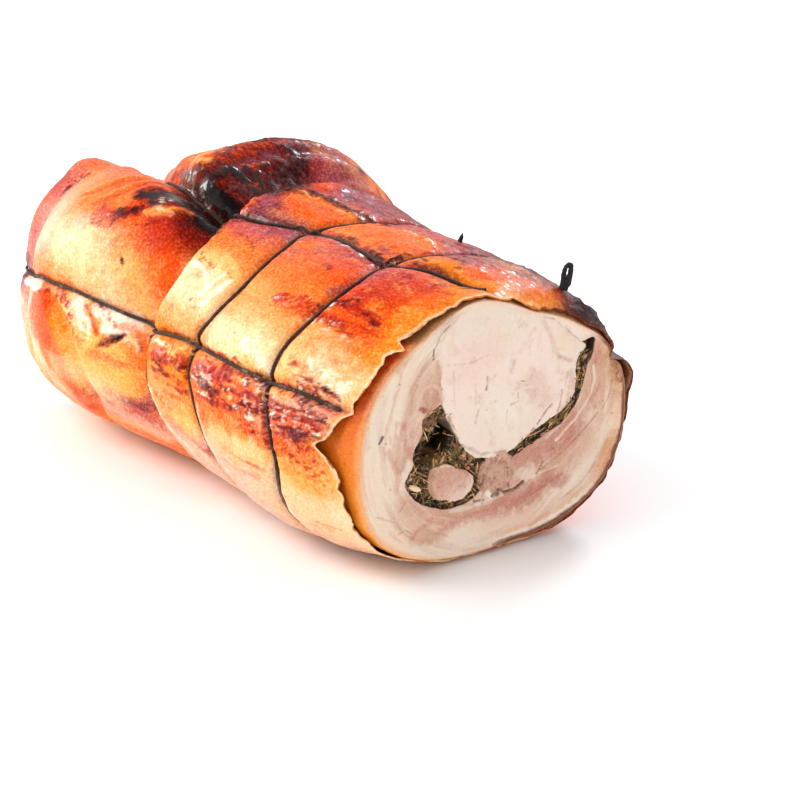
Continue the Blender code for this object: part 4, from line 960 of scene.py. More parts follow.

# white specks here are painted glints
HIGH_BACK_MARKS = (
    Mark(Tone.PEACH, 5.0, ((-70, 78), (-58, 78), (-50, 79)), 0.6, 1.4, 0.6),
    Mark(Tone.EMBER, 3.0, ((-50, 77), (-44, 82), (-40, 88)), 0.7, 1.4, 0.6),
    Mark(Tone.BUTTER, 2.4, ((-52, 74), (-46, 75)), 0.8, 1.0, 0.9, 0.4, 0.8),
    Mark(Tone.ORANGE, 5.0, ((-44, 86), (-40, 92), (-44, 98)), 0.6, 1.4, 0.5),
    speckled(0.6, Tone.PLUM, 3.0, ((-62, 94), (-50, 97), (-41, 98), (-38, 104)), 0.75, 1.2, 0.9),
    speckled(0.55, Tone.SOOT, 1.5, ((-60, 94), (-44, 98), (-40, 103)), 0.8, 1.0, 1.1),
    Mark(Tone.RUST, 2.0, ((-38, 74), (-37, 82), (-35, 95), (-38, 109)), 0.8, 1.4, 0.4, -0.4),
    speckled(0.75, Tone.PLUM, 7.0, ((-30, 76), (-24, 80), (-18, 84)), 0.7, 1.2, 0.7),
    ringed(0.7, Tone.CRIMSON, 4.0, ((-32, 88), (-32, 100), (-34, 110)), 0.5, 1.4, 0.8),
    Mark(Tone.ORANGE, 3.2, ((-31, 84), (-30, 88)), 0.75, 1.3, 0.7),
    speckled(0.65, Tone.SOOT, 2.0, ((-28, 86), (-29, 89), (-30, 92)), 0.8, 1.0, 0.8, 0.4),
    Mark(Tone.CHAR, 3.2, ((-27, 98), (-27, 102)), 0.9, 1.0, 0.8, 0.6),
    Mark(Tone.RUST, 3.0, ((-24, 88), (-22, 94)), 0.6, 1.2, 0.9),
    Mark(Tone.CHAR, 4.0, ((-23, 93), (-21, 98)), 0.9, 1.0, 0.8, 0.5),
    speckled(0.72, Tone.CHAR, 4.0, ((-24, 74), (-20, 78), (-12, 82)), 0.85, 1.1, 0.8, 0.6, 0.85),
    Mark(Tone.CHAR, 4.6, ((-4, 83), (-8, 88), (-14, 92), (-19, 95)), 0.95, 1.0, 0.7, 0.8, 0.85),
    Mark(Tone.CHAR, 5.0, ((-2, 86), (-4, 92), (-8, 97)), 0.95, 1.2, 0.5),
    speckled(0.3, Tone.WHITE, 2.4, ((-10, 84), (-14, 88), (-20, 90)), 0.8, 0.8, 1.5, 0.5, 0.95),
    Mark(Tone.PEACH, 1.3, ((-13, 95), (-10, 98), (-8, 101)), 0.85, 0.8, 0.8, 0.8, 0.8),
    Mark(Tone.EMBER, 4.6, ((-6, 68), (-2, 70), (-4, 76)), 0.85, 1.0, 0.8, 0.8, 0.85),
    speckled(0.55, Tone.AMBER, 2.2, ((-4, 69), (-1, 73)), 0.7, 1.0, 1.2, 0.6, 0.85),
    speckled(0.3, Tone.WHITE, 2.0, ((-4, 67), (-6, 73)), 0.8, 0.8, 1.5, 0.4, 0.95),
    Mark(Tone.ORANGE, 5.5, ((-12, 102), (-6, 105), (-2, 101)), 0.8, 1.3, 0.4),
    ringed(0.7, Tone.PLUM, 2.4, ((-14, 108), (-10, 114)), 0.5, 1.2, 0.8),
    ringed(0.75, Tone.TAN, 7.0, ((-40, 112), (-30, 118), (-20, 124)), 0.55, 1.4, 0.6),
    ringed(0.7, Tone.ROSE, 4.0, ((-26, 108), (-18, 116), (-12, 124)), 0.5, 1.4, 0.7),
    ringed(0.7, Tone.RUST, 1.0, ((-40, 106), (-34, 112), (-26, 118)), 0.6, 1.0, 0.9, -0.4),
    Mark(Tone.CHAR, 1.4, ((-34, 119), (-33, 124), (-30, 128)), 0.9, 1.0, 0.7, -0.6),
    Mark(Tone.CHAR, 1.2, ((-36, 132), (-28, 134), (-20, 135)), 0.9, 1.0, 0.7, -0.5),
    speckled(0.6, Tone.SOOT, 2.0, ((2, 108), (0, 114)), 0.8, 1.0, 1.1, 0.4),
    Mark(Tone.AMBER, 4.5, ((-58, 72), (-54, 78), (-56, 86)), 0.85, 1.2, 0.6, 0.4, 0.8),
    Mark(Tone.BUTTER, 2.2, ((-58, 74), (-54, 78)), 0.85, 1.0, 0.8, 0.4, 0.85),
    speckled(0.8, Tone.CHAR, 5.5, ((-34, 66), (-27, 66), (-18, 68)), 0.9, 1.1, 0.9, 0.3, 0.5),
    speckled(0.5, Tone.ROSE, 4.0, ((-24, 74), (-22, 80), (-20, 86)), 0.5, 1.2, 1.0, 0.3, 0.95),
    speckled(0.75, Tone.PLUM, 5.0, ((-38, 78), (-34, 86), (-36, 96), (-36, 104)), 0.65, 1.1, 0.9, 0.5, 0.8),
    speckled(0.5, Tone.CHAR, 3.4, ((-31, 78), (-29, 86), (-29, 94), (-27, 100)), 0.8, 1.0, 1.0, 0.7, 0.85),
    speckled(0.3, Tone.WHITE, 1.6, ((-34, 82), (-30, 90), (-28, 98)), 0.75, 0.8, 1.5, 0.3, 0.98),
)

# white and cream specks with high shine are painted glints, and rose and mauve streaks a painted sheen
RIDGE_MARKS = (
    Mark(Tone.ORANGE, 8.0, ((14, 84), (24, 85), (34, 88)), 0.65, 1.5, 0.4),
    streaked(0.7, Tone.ROSE, 2.4, ((14, 88), (26, 91), (38, 93)), 0.5, 1.4, 0.6),
    speckled(0.7, Tone.PLUM, 1.6, ((8, 80), (10, 78)), 0.8, 1.0, 0.9),
    Mark(Tone.CHAR, 3.6, ((6, 93), (14, 97), (24, 98), (33, 99), (42, 102)), 0.92, 1.0, 0.8, 1.0, 0.7),
    speckled(0.5, Tone.BUTTER, 1.5, ((2, 92), (8, 92), (14, 94)), 0.75, 0.9, 1.2, 0.6, 0.8),
    speckled(0.6, Tone.AMBER, 2.4, ((36, 97), (42, 97), (46, 99)), 0.8, 0.9, 1.2, 0.8, 0.85),
    speckled(0.4, Tone.CREAM, 1.2, ((28, 95), (38, 96)), 0.7, 0.8, 1.4, 0.6, 0.85),
    speckled(0.6, Tone.SOOT, 2.4, ((40, 103), (48, 104), (58, 104)), 0.8, 1.0, 1.0, 0.5),
    streaked(0.85, Tone.CHAR, 3.0, ((6, 70), (10, 70.5), (21, 74), (32, 78)), 0.88, 1.0, 0.6, 0.2, 0.8),
    streaked(0.7, Tone.MAUVE, 4.2, ((10, 72), (21, 76), (32, 80)), 0.5, 1.2, 0.7),
    streaked(0.85, Tone.CHAR, 3.8, ((54, 81), (66, 83), (80, 83), (96, 82), (107, 81)), 0.88, 1.1, 0.8, 0.4,
            0.8),
    speckled(0.6, Tone.SOOT, 3.4, ((90, 83), (100, 84), (108, 83)), 0.85, 1.0, 0.9, 0.6),
    speckled(0.4, Tone.WHITE, 1.5, ((60, 80), (76, 80), (92, 79)), 0.7, 0.9, 1.4, 0.3, 0.9),
    speckled(0.5, Tone.CRIMSON, 2.2, ((80, 78), (92, 78), (104, 77)), 0.7, 1.0, 1.1, 0.3),
    speckled(0.55, Tone.AMBER, 2.0, ((94, 75), (104, 74), (110, 73)), 0.75, 1.0, 1.1, 0.3),
    speckled(0.6, Tone.CRIMSON, 2.0, ((84, 89), (90, 88), (94, 90)), 0.65, 1.1, 1.1, 0.3),
    streaked(0.8, Tone.MAUVE, 3.4, ((92, 87), (104, 86), (112, 88)), 0.65, 1.2, 0.8),
    speckled(0.7, Tone.CHAR, 3.0, ((102, 82), (106, 86), (108, 92), (112, 94)), 0.8, 1.0, 0.9, 0.7),
    speckled(0.6, Tone.SOOT, 2.6, ((110, 90), (118, 90), (126, 88)), 0.75, 1.1, 1.0, 0.5),
    speckled(0.7, Tone.AMBER, 1.8, ((70, 104), (84, 104), (96, 103), (105, 101)), 0.85, 0.9, 0.9, 1.0,
             0.85),
    speckled(0.45, Tone.CREAM, 1.0, ((72, 103), (88, 103.5), (102, 101)), 0.75, 0.8, 1.3, 0.6, 0.9),
    Mark(Tone.ORANGE, 7.0, ((64, 94), (84, 95), (100, 94)), 0.55, 1.5, 0.4),
    speckled(0.7, Tone.EMBER, 2.5, ((104, 95), (108, 98), (106, 102)), 0.7, 1.2, 0.7, 0.3),
    streaked(0.85, Tone.CHAR, 3.2, ((118, 84), (131, 89), (143, 90), (160, 88)), 0.85, 1.0, 0.8, 0.3, 0.8),
    speckled(0.3, Tone.WHITE, 1.3, ((138, 88), (150, 88)), 0.5, 0.8, 1.4, 0.2, 0.7),
    speckled(0.6, Tone.CRIMSON, 3.4, ((122, 86), (134, 86), (148, 85)), 0.65, 1.2, 0.9, 0.2),
    Mark(Tone.AMBER, 4.2, ((132, 94), (144, 93), (156, 94), (164, 97)), 0.65, 1.1, 0.9, 0.3, 0.5),
    speckled(0.4, Tone.BUTTER, 1.6, ((140, 94), (152, 95), (160, 98)), 0.5, 0.9, 1.2, 0.2, 0.6),
    speckled(0.7, Tone.PLUM, 1.8, ((136, 98), (138, 95)), 0.75, 1.0, 0.9, 0.3),
    streaked(0.75, Tone.MAUVE, 6.0, ((110, 98), (124, 100), (140, 103), (156, 108)), 0.6, 1.3, 0.6),
    streaked(0.65, Tone.PLUM, 3.0, ((116, 104), (132, 106), (148, 112), (160, 116)), 0.7, 1.1, 0.8, 0.2),
    streaked(0.6, Tone.CHAR, 2.0, ((118, 97), (132, 99), (146, 103), (160, 108)), 0.75, 1.0, 0.8),
    streaked(0.7, Tone.TAN, 4.0, ((150, 104), (160, 108), (166, 114)), 0.5, 1.2, 0.8),
    streaked(0.75, Tone.CHAR, 6.0, ((96, 112), (112, 116), (132, 122)), 0.8, 1.2, 0.8, 0.4),
    streaked(0.85, Tone.CHAR, 7.0, ((138, 126), (152, 136), (164, 148)), 0.92, 1.1, 0.6, 0.6),
    streaked(0.7, Tone.ROSE, 4.0, ((48, 107), (70, 108), (92, 108)), 0.45, 1.4, 0.7),
    streaked(0.6, Tone.CHAR, 3.0, ((10, 106), (28, 110), (44, 113)), 0.6, 1.1, 0.9),
)

# white specks here are painted glints
FAR_SIDE_MARKS = (
    speckled(0.8, Tone.CHAR, 7.0, ((150, 140), (158, 150), (168, 158), (170, 170)), 0.85, 1.2, 0.7, 0.7),
    streaked(0.8, Tone.RUST, 10.0, ((120, 130), (140, 140), (160, 150)), 0.7, 1.4, 0.6),
    speckled(0.7, Tone.BROWN, 5.0, ((162, 162), (166, 176), (168, 190), (170, 205)), 0.7, 1.3, 0.8, 0.4),
    streaked(0.7, Tone.PLUM, 6.0, ((60, 126), (84, 130), (104, 130)), 0.6, 1.4, 0.7),
    speckled(0.55, Tone.SOOT, 3.0, ((70, 134), (90, 138), (112, 140)), 0.7, 1.1, 1.0, 0.4),
    streaked(0.6, Tone.CRIMSON, 5.0, ((6, 150), (24, 152), (44, 150)), 0.65, 1.3, 0.9, 0.2),
    speckled(0.5, Tone.WINE, 3.0, ((20, 160), (38, 161), (50, 160)), 0.6, 1.1, 1.0, 0.2),
    streaked(0.65, Tone.EMBER, 8.0, ((60, 160), (80, 163), (104, 165)), 0.55, 1.4, 0.8),
    streaked(0.5, Tone.CRIMSON, 5.0, ((70, 172), (92, 174), (112, 173)), 0.65, 1.2, 1.0, 0.3),
    speckled(0.35, Tone.WHITE, 3.5, ((74, 170), (94, 173), (110, 171)), 0.7, 1.0, 1.4, 0.3, 0.9),
    speckled(0.5, Tone.CRIMSON, 6.0, ((128, 166), (144, 170), (160, 172)), 0.65, 1.2, 1.0, 0.3),
    speckled(0.7, Tone.AMBER, 6.0, ((10, 184), (40, 188), (80, 190)), 0.55, 1.5, 0.7),
    streaked(0.65, Tone.ROSE, 6.0, ((0, 206), (40, 210), (100, 208)), 0.45, 1.5, 0.8),
    streaked(0.7, Tone.EMBER, 6.0, ((-100, 150), (-70, 152), (-40, 150)), 0.6, 1.5, 0.8),
    streaked(0.7, Tone.PLUM, 5.0, ((-60, 138), (-40, 142), (-24, 144)), 0.7, 1.3, 0.8, 0.2),
    speckled(0.7, Tone.CHAR, 5.0, ((-30, 146), (-18, 150), (-10, 156)), 0.8, 1.2, 0.8, 0.4),
    speckled(0.5, Tone.CRIMSON, 4.0, ((-120, 164), (-90, 166), (-60, 166)), 0.55, 1.3, 1.0, 0.2),
    Mark(Tone.BUTTER, 7.0, ((-130, 190), (-90, 194), (-50, 194)), 0.6, 1.5, 0.7),
    streaked(0.7, Tone.ROSE, 7.0, ((-130, 214), (-80, 218), (-30, 216)), 0.5, 1.4, 0.8),
    speckled(0.6, Tone.RUST, 6.0, ((-168, 150), (-178, 120), (-178, 80), (-172, 50)), 0.4, 1.5, 0.9),
)

# blush and white specks with high shine are painted glints; the black along the cleft behind the far loop
# is partly char and partly painted shade
DEEP_MARKS = (
    speckled(0.8, Tone.PLUM, 9.0, ((-46, 82), (-42, 90), (-42, 100)), 0.8, 1.2, 0.7),
    speckled(0.78, Tone.WINE, 8.0, ((-26, 79), (-24, 90), (-26, 101)), 0.85, 1.1, 0.8, 0.3),
    speckled(0.62, Tone.SOOT, 5.0, ((-32, 77), (-20, 82), (-12, 88)), 0.85, 1.0, 1.0, 0.9, 0.9),
    speckled(0.6, Tone.SOOT, 3.6, ((-54, 88), (-44, 95), (-38, 101)), 0.8, 1.0, 1.0, 0.5),
    speckled(0.6, Tone.MAUVE, 3.0, ((-36, 86), (-34, 94)), 0.5, 1.2, 0.8, 0.3, 0.8),
    Mark(Tone.CHAR, 5.0, ((-62, 68), (-46, 66), (-32, 66), (-20, 65)), 0.95, 0.9, 0.6, 0.4, 0.9),
    Mark(Tone.CHAR, 6.0, ((-26, 60), (-12, 58), (0, 58)), 0.95, 1.0, 0.6),
    speckled(0.65, Tone.SOOT, 4.0, ((-96, 75), (-80, 72), (-62, 70)), 0.75, 1.1, 0.9, 0.3),
    speckled(0.28, Tone.WHITE, 1.6, ((-56, 68), (-40, 66), (-24, 64)), 0.7, 0.8, 1.5, 0.5, 0.95),
    streaked(0.62, Tone.CRIMSON, 6.0, ((8, 8), (28, 10), (46, 12)), 0.72, 1.1, 0.9, 0.2),
    streaked(0.5, Tone.WINE, 4.0, ((10, 3), (28, 6), (44, 8)), 0.7, 1.0, 1.0),
    streaked(0.68, Tone.CRIMSON, 7.0, ((56, 14), (80, 13), (104, 13)), 0.78, 1.1, 0.9, 0.2),
    streaked(0.52, Tone.WINE, 4.6, ((58, 10), (82, 9), (106, 9)), 0.75, 1.0, 1.0, 0.2),
    streaked(0.66, Tone.CRIMSON, 8.0, ((120, 14), (138, 13), (156, 12)), 0.75, 1.1, 0.9, 0.2),
    streaked(0.55, Tone.PLUM, 5.0, ((122, 8), (140, 8), (156, 6)), 0.72, 1.0, 1.0, 0.2),
    speckled(0.3, Tone.BLUSH, 1.6, ((60, 12), (84, 12), (104, 12), (130, 11), (152, 10)), 0.75, 0.8, 1.5,
             0.5,
           0.95),
    streaked(0.85, Tone.ORANGE, 9.0, ((146, 100), (158, 108), (168, 118)), 0.8, 1.3, 0.5),
    speckled(0.7, Tone.AMBER, 5.0, ((160, 96), (170, 108), (173, 120)), 0.75, 1.2, 0.6, 0.3),
    speckled(0.75, Tone.RUST, 6.0, ((150, 116), (162, 126), (170, 140)), 0.75, 1.2, 0.7, 0.3),
    speckled(0.7, Tone.CHAR, 5.0, ((160, 134), (168, 146), (172, 156)), 0.85, 1.1, 0.8, 0.6),
)


@dataclass
class Rind:
    """The roasted skin: thin at its ragged front edge, bulging between the twines."""

    form: RollForm
    cap_rows: int = 24
    coarse_step: float = 1.7
    fine_step: float = 1.26
    fine_from: float = -60.0
    stretch_from: float = 140.0
    nominal_edge: float = 171.0
    lip_turns: int = 4
    deepen: tuple = (1.12, 1.38, 1.35)
    column_groups: tuple = ((UNDER, -58.0, 12), (-58.0, 128.0, 262), (128.0, UNDER + FULL_TURN, 62))
    # rows of the skin's underside, back and in from the edge, painted blush to brown with depth as shade
    # under the lip
    inner_rows_with_shade: tuple = ((1.5, 0.0, Tone.BLUSH), (4.0, 0.1, Tone.TAN), (8.0, 0.2, Tone.SHADE),
                          (12.0, 0.4, Tone.BROWN), (22.0, 5.0, Tone.BROWN), (40.0, 12.0, Tone.BROWN),
                          (300.0, 25.0, Tone.BROWN))
    pole_inset: float = 30.0

    def columns(self) -> np.ndarray:
        """Angles of the columns: close together where the skin is seen, wider underneath."""
        return np.concatenate([np.linspace(start, end, count, endpoint=False)
                               for start, end, count in self.column_groups])

    def stations(self) -> tuple[np.ndarray, np.ndarray]:
        """Station and fullness of every outside row, from the closed end to the front edge."""
        first = self.form.sections[0][0]
        phi = 0.5 * math.pi * np.arange(1, self.cap_rows + 1) / (self.cap_rows + 1)
        cap = first - self.form.cap_length * np.cos(phi)
        back = np.arange(first, self.fine_from, self.coarse_step)
        front = np.arange(self.fine_from, self.nominal_edge, self.fine_step)
        along = np.concatenate([cap, back, front, [self.nominal_edge]])
        full = np.ones_like(along)
        full[:self.cap_rows] = np.sin(phi) ** self.form.cap_roundness
        return along, full

    def paint(self, x: np.ndarray, angle: np.ndarray, body: np.ndarray, edge: np.ndarray) -> Canvas:
        """Colour, relief and shine of the skin."""
        canvas = Canvas(x, angle, body, ARC)
        canvas.base(SKIN_ZONES)
        self.mottle(canvas, x, angle)
        for marks in (SWOLLEN_END_MARKS, LOWER_END_MARKS, FAR_SECTION_MARKS, MIDDLE_SECTION_MARKS,
                      FRONT_SECTION_MARKS, HIGH_BACK_MARKS, RIDGE_MARKS, FAR_SIDE_MARKS, DEEP_MARKS):
            canvas.lay(*marks)
        band = between(angle, -8.0, 2.0, 18.0, 30.0) * ramp(40.0, 60.0, x)
        # the colour is deepened in the band below the side twine, and darkened in the cleft behind the far
        # loop as painted shade
        valley_shade = bell(x + 26.0, 16.0) * bell(turn(angle, 66.0), 8.0)
        power = 1.0 + 0.15 * band + 0.5 * valley_shade
        canvas.colour = canvas.colour ** (power[..., None] * np.array(self.deepen))
        self.twine_stain_and_shadow_lines(canvas, x, angle)
        self.finish_edge(canvas, angle, edge)
        return canvas

    def mottle(self, canvas: Canvas, x: np.ndarray, angle: np.ndarray) -> None:
        """Small uneven browning all over: amber flecks, darker pores, pale blisters."""
        front = ramp(60.0, 130.0, x) * between(angle, 18.0, 30.0, 85.0, 110.0)
        canvas.blend(ramp(0.25, 1.2, canvas.middle) * (0.14 + 0.34 * front), Tone.BUTTER)
        canvas.blend(ramp(0.3, 1.2, -canvas.middle) * (0.22 + 0.26 * front), Tone.ORANGE)
        canvas.blend(ramp(0.55, 1.2, canvas.fine) * (0.08 + 0.22 * front), Tone.PEACH)
        canvas.blend(ramp(0.5, 1.25, -canvas.fine) * (0.20 + 0.14 * front), Tone.EMBER)
        tops = between(angle, 50.0, 66.0, 106.0, 128.0)
        flat = np.stack([x + 3.0 * canvas.middle, canvas.b * 0.2, 0 * x], axis=-1)
        crease = ramp(0.10, 0.0, np.abs(Noise(31).cloud(flat, 7.0, 3)))
        canvas.blend(crease * (0.12 + 0.33 * tops), Tone.RUST)
        canvas.raised -= crease * (0.12 + 0.35 * tops)
        hidden = np.maximum(between(angle, 112.0, 132.0, 246.0, 264.0), ramp(-146.0, -168.0, x))
        stain = Noise(33).cloud(canvas.body * (0.6, 1.0, 1.0), 24.0, 4)
        canvas.blend(hidden * ramp(0.1, 0.7, stain) * 0.65, Tone.RUST)
        canvas.blend(hidden * ramp(0.5, 0.95, stain) * 0.7, Tone.WINE)
        canvas.blend(hidden * ramp(0.25, 0.85, -stain) * 0.5, Tone.BUTTER)
        canvas.blend(hidden * ramp(0.55, 1.0, stain) * ramp(0.0, 0.5, canvas.fine) * 0.8, Tone.SOOT)
        canvas.raised += hidden * ramp(0.4, 0.9, stain) * 0.5 * canvas.fine
        canvas.shine += 0.35 * ramp(0.2, 0.9, canvas.fine) * (0.4 + 0.6 * tops)

    def twine_stain_and_shadow_lines(self, canvas: Canvas, x: np.ndarray, angle: np.ndarray) -> None:
        """Darker skin under each twine: a wider rust stain where the skin is pinched, and a narrow brown
        line along the string that is a painted shadow.
        """
        near = np.full_like(x, 99.0)
        for table in (self.form.loop_far, self.form.loop_middle, self.form.loop_front):
            near = np.minimum(near, np.abs(x - around(angle, table)))
        side = turn(angle, smooth_steps(x, self.form.twine_side)) * ARC
        top = turn(angle, smooth_steps(x, self.form.twine_top)) * ARC
        other = turn(angle, 180.0 - smooth_steps(x, self.form.twine_side)) * ARC
        near = np.minimum(near, np.minimum(np.abs(side), np.minimum(np.abs(top), np.abs(other))))
        canvas.blend(0.5 * bell(near, 3.4) * (0.6 + 0.4 * canvas.middle), Tone.RUST)
        # narrow painted shadow line along each string
        canvas.blend(0.6 * bell(near, 1.3), Tone.BROWN)

    def finish_edge(self, canvas: Canvas, angle: np.ndarray, edge: np.ndarray) -> None:
        """Pale, dry, curled front edge of the skin; burnt on the side that turns away."""
        burnt = between(angle, 104.0, 132.0, 236.0, 262.0)
        pale = 1.0 - burnt
        gap = edge - canvas.a
        canvas.blend(ramp(7.0, 2.0, gap + 1.5 * canvas.middle) * 0.35 * pale, Tone.AMBER)
        canvas.blend(ramp(1.3, 0.3, gap + 0.7 * canvas.fine) * 0.6 * pale, Tone.CREAM)
        low = ramp(-8.0, -26.0, angle) * ramp(-70.0, -50.0, angle)
        canvas.blend(ramp(16.0, 4.0, gap + 3.0 * canvas.middle) * 0.7 * low, Tone.CREAM)
        shoulder = between(angle, 92.0, 100.0, 114.0, 128.0)
        canvas.blend(ramp(13.0, 4.0, gap + 3.0 * canvas.middle) * 0.8 * shoulder, Tone.ORANGE)
        canvas.blend(ramp(7.0, 1.0, gap + 2.0 * canvas.fine) * 0.6 * shoulder, Tone.AMBER)
        dark = burnt * (1.0 - 0.85 * shoulder)
        canvas.blend(ramp(8.0, 1.0, gap + 2.0 * canvas.middle) * 0.75 * dark, Tone.RUST)
        canvas.blend(ramp(3.0, 0.5, gap) * 0.6 * dark, Tone.BROWN)
        crust = between(angle, 120.0, 132.0, 186.0, 204.0)
        canvas.blend(ramp(15.0, 5.0, gap + 4.0 * canvas.middle) * 0.75 * crust, Tone.BURNT)
        canvas.blend(ramp(20.0, 8.0, gap) * ramp(0.0, 0.6, canvas.fine) * 0.7 * crust, Tone.CHAR)
        canvas.raised += ramp(16.0, 6.0, gap) * 0.9 * canvas.fine * crust

    def relief(self, canvas: Canvas, x: np.ndarray, angle: np.ndarray, edge: np.ndarray) -> np.ndarray:
        """Fine height of the skin over the roll's form, mm."""
        pores = Noise(21).cloud(canvas.body, 3.2, 2)
        folds = Noise(23).cloud(canvas.body, 15.0, 2)
        wrinkles = bell(x + 112.0, 34.0) * bell(turn(angle, 36.0), 22.0)
        drawn = np.stack([x * 0.7 + canvas.b * 0.2, canvas.b * 0.16, 0 * x], axis=-1)
        creases = Noise(27).cloud(drawn, 2.6, 2)
        height = 0.16 * pores + 0.55 * folds + 0.22 * wrinkles * creases
        band = between(angle, -16.0, -2.0, 18.0, 32.0) * ramp(44.0, 66.0, x)
        crust = between(angle, 92.0, 104.0, 180.0, 220.0)
        height += (0.35 * band + 0.3 * crust) * Noise(29).cloud(canvas.body, 2.8, 2)
        height += np.clip(canvas.raised, -2.0, 2.4) * (0.75 + 0.45 * pores)
        return height * ramp(0.0, 3.0, edge - x + 1.0)

    def build(self) -> bpy.types.Object:
        """Make the skin as one closed shell with its front edge rounded over."""
        angle_row = self.columns()
        along, full = self.stations()
        edge_row = self.form.rim(angle_row)
        x = along[:, None] + ramp(self.stretch_from, self.nominal_edge, along)[:, None] * (
            edge_row - self.nominal_edge)[None, :]
        angle = np.broadcast_to(angle_row, x.shape)
        edge = np.broadcast_to(edge_row, x.shape)
        fullness = np.broadcast_to(full[:, None], x.shape)
        body = self.form.skin(x, angle, fullness)
        canvas = self.paint(x, angle, body, edge)
        outer = self.form.skin(x, angle, fullness, self.relief(canvas, x, angle, edge))
        outer[..., 2] = np.maximum(outer[..., 2], 0.0)
        rows, tones, shines = [self.pole(len(angle_row), 0.0)], [canvas.colour[0]], [canvas.shine[0]]
        rows.extend(outer)
        tones.extend(canvas.colour)
        shines.extend(canvas.shine)
        self.turn_under(rows, tones, shines, angle_row, edge_row)
        layers = {"tone": np.array(tones), "shine": np.array(shines)[..., None]}
        return Mesher.net("rind", np.array(rows), True, layers, 70.0)

    def pole(self, count: int, inset: float) -> np.ndarray:
        """Middle of the closed end, or a point some way inside it."""
        first = self.form.sections[0]
        middle = 0.5 * (first[3] - self.form.settled[0][1])
        return np.tile((first[0] - self.form.cap_length + inset, first[1], middle), (count, 1))

    def turn_under(self, rows: list, tones: list, shines: list, angle: np.ndarray,
                   edge: np.ndarray) -> None:
        """Add the rounded edge, the pale underside and the hidden inner wall, painted browner the deeper it
        lies under the lip, as painted shade.
        """
        thick = self.form.skin_thickness + 0.5 * Noise(43).cloud(rows[-1], 9.0, 2)
        pale = np.tile(Tone.CREAM.linear, (len(angle), 1))
        uneven = Noise(45).cloud(rows[-1], 5.0, 3)
        for tone, cover in ((Tone.AMBER, 0.7 * ramp(-0.2, 0.5, uneven)),
                            (Tone.RUST, 0.6 * ramp(0.35, 0.8, uneven)),
                            (Tone.APRICOT, between(angle, 62.0, 84.0, 240.0, 262.0)),
                            (Tone.RUST, between(angle, 96.0, 124.0, 240.0, 262.0))):
            pale = pale * (1.0 - cover[:, None]) + tone.linear * cover[:, None]
        for k in range(1, self.lip_turns + 1):
            bend = math.pi * k / self.lip_turns
            lift = -0.5 * thick * (1.0 - math.cos(bend))
            rows.append(self.form.skin(edge + 0.35 * thick * math.sin(bend), angle, 1.0, lift))
            tones.append(pale)
            shines.append(np.full(len(angle), 0.35))
        for back, inset, tone in self.inner_rows_with_shade:
            rows.append(self.form.skin(edge - back, angle, 1.0, -thick - inset))
            tones.append(np.tile(tone.linear, (len(angle), 1)))
            shines.append(np.full(len(angle), 0.2))
        rows.append(self.pole(len(angle), self.pole_inset))
        tones.append(tones[-1])
        shines.append(shines[-1])


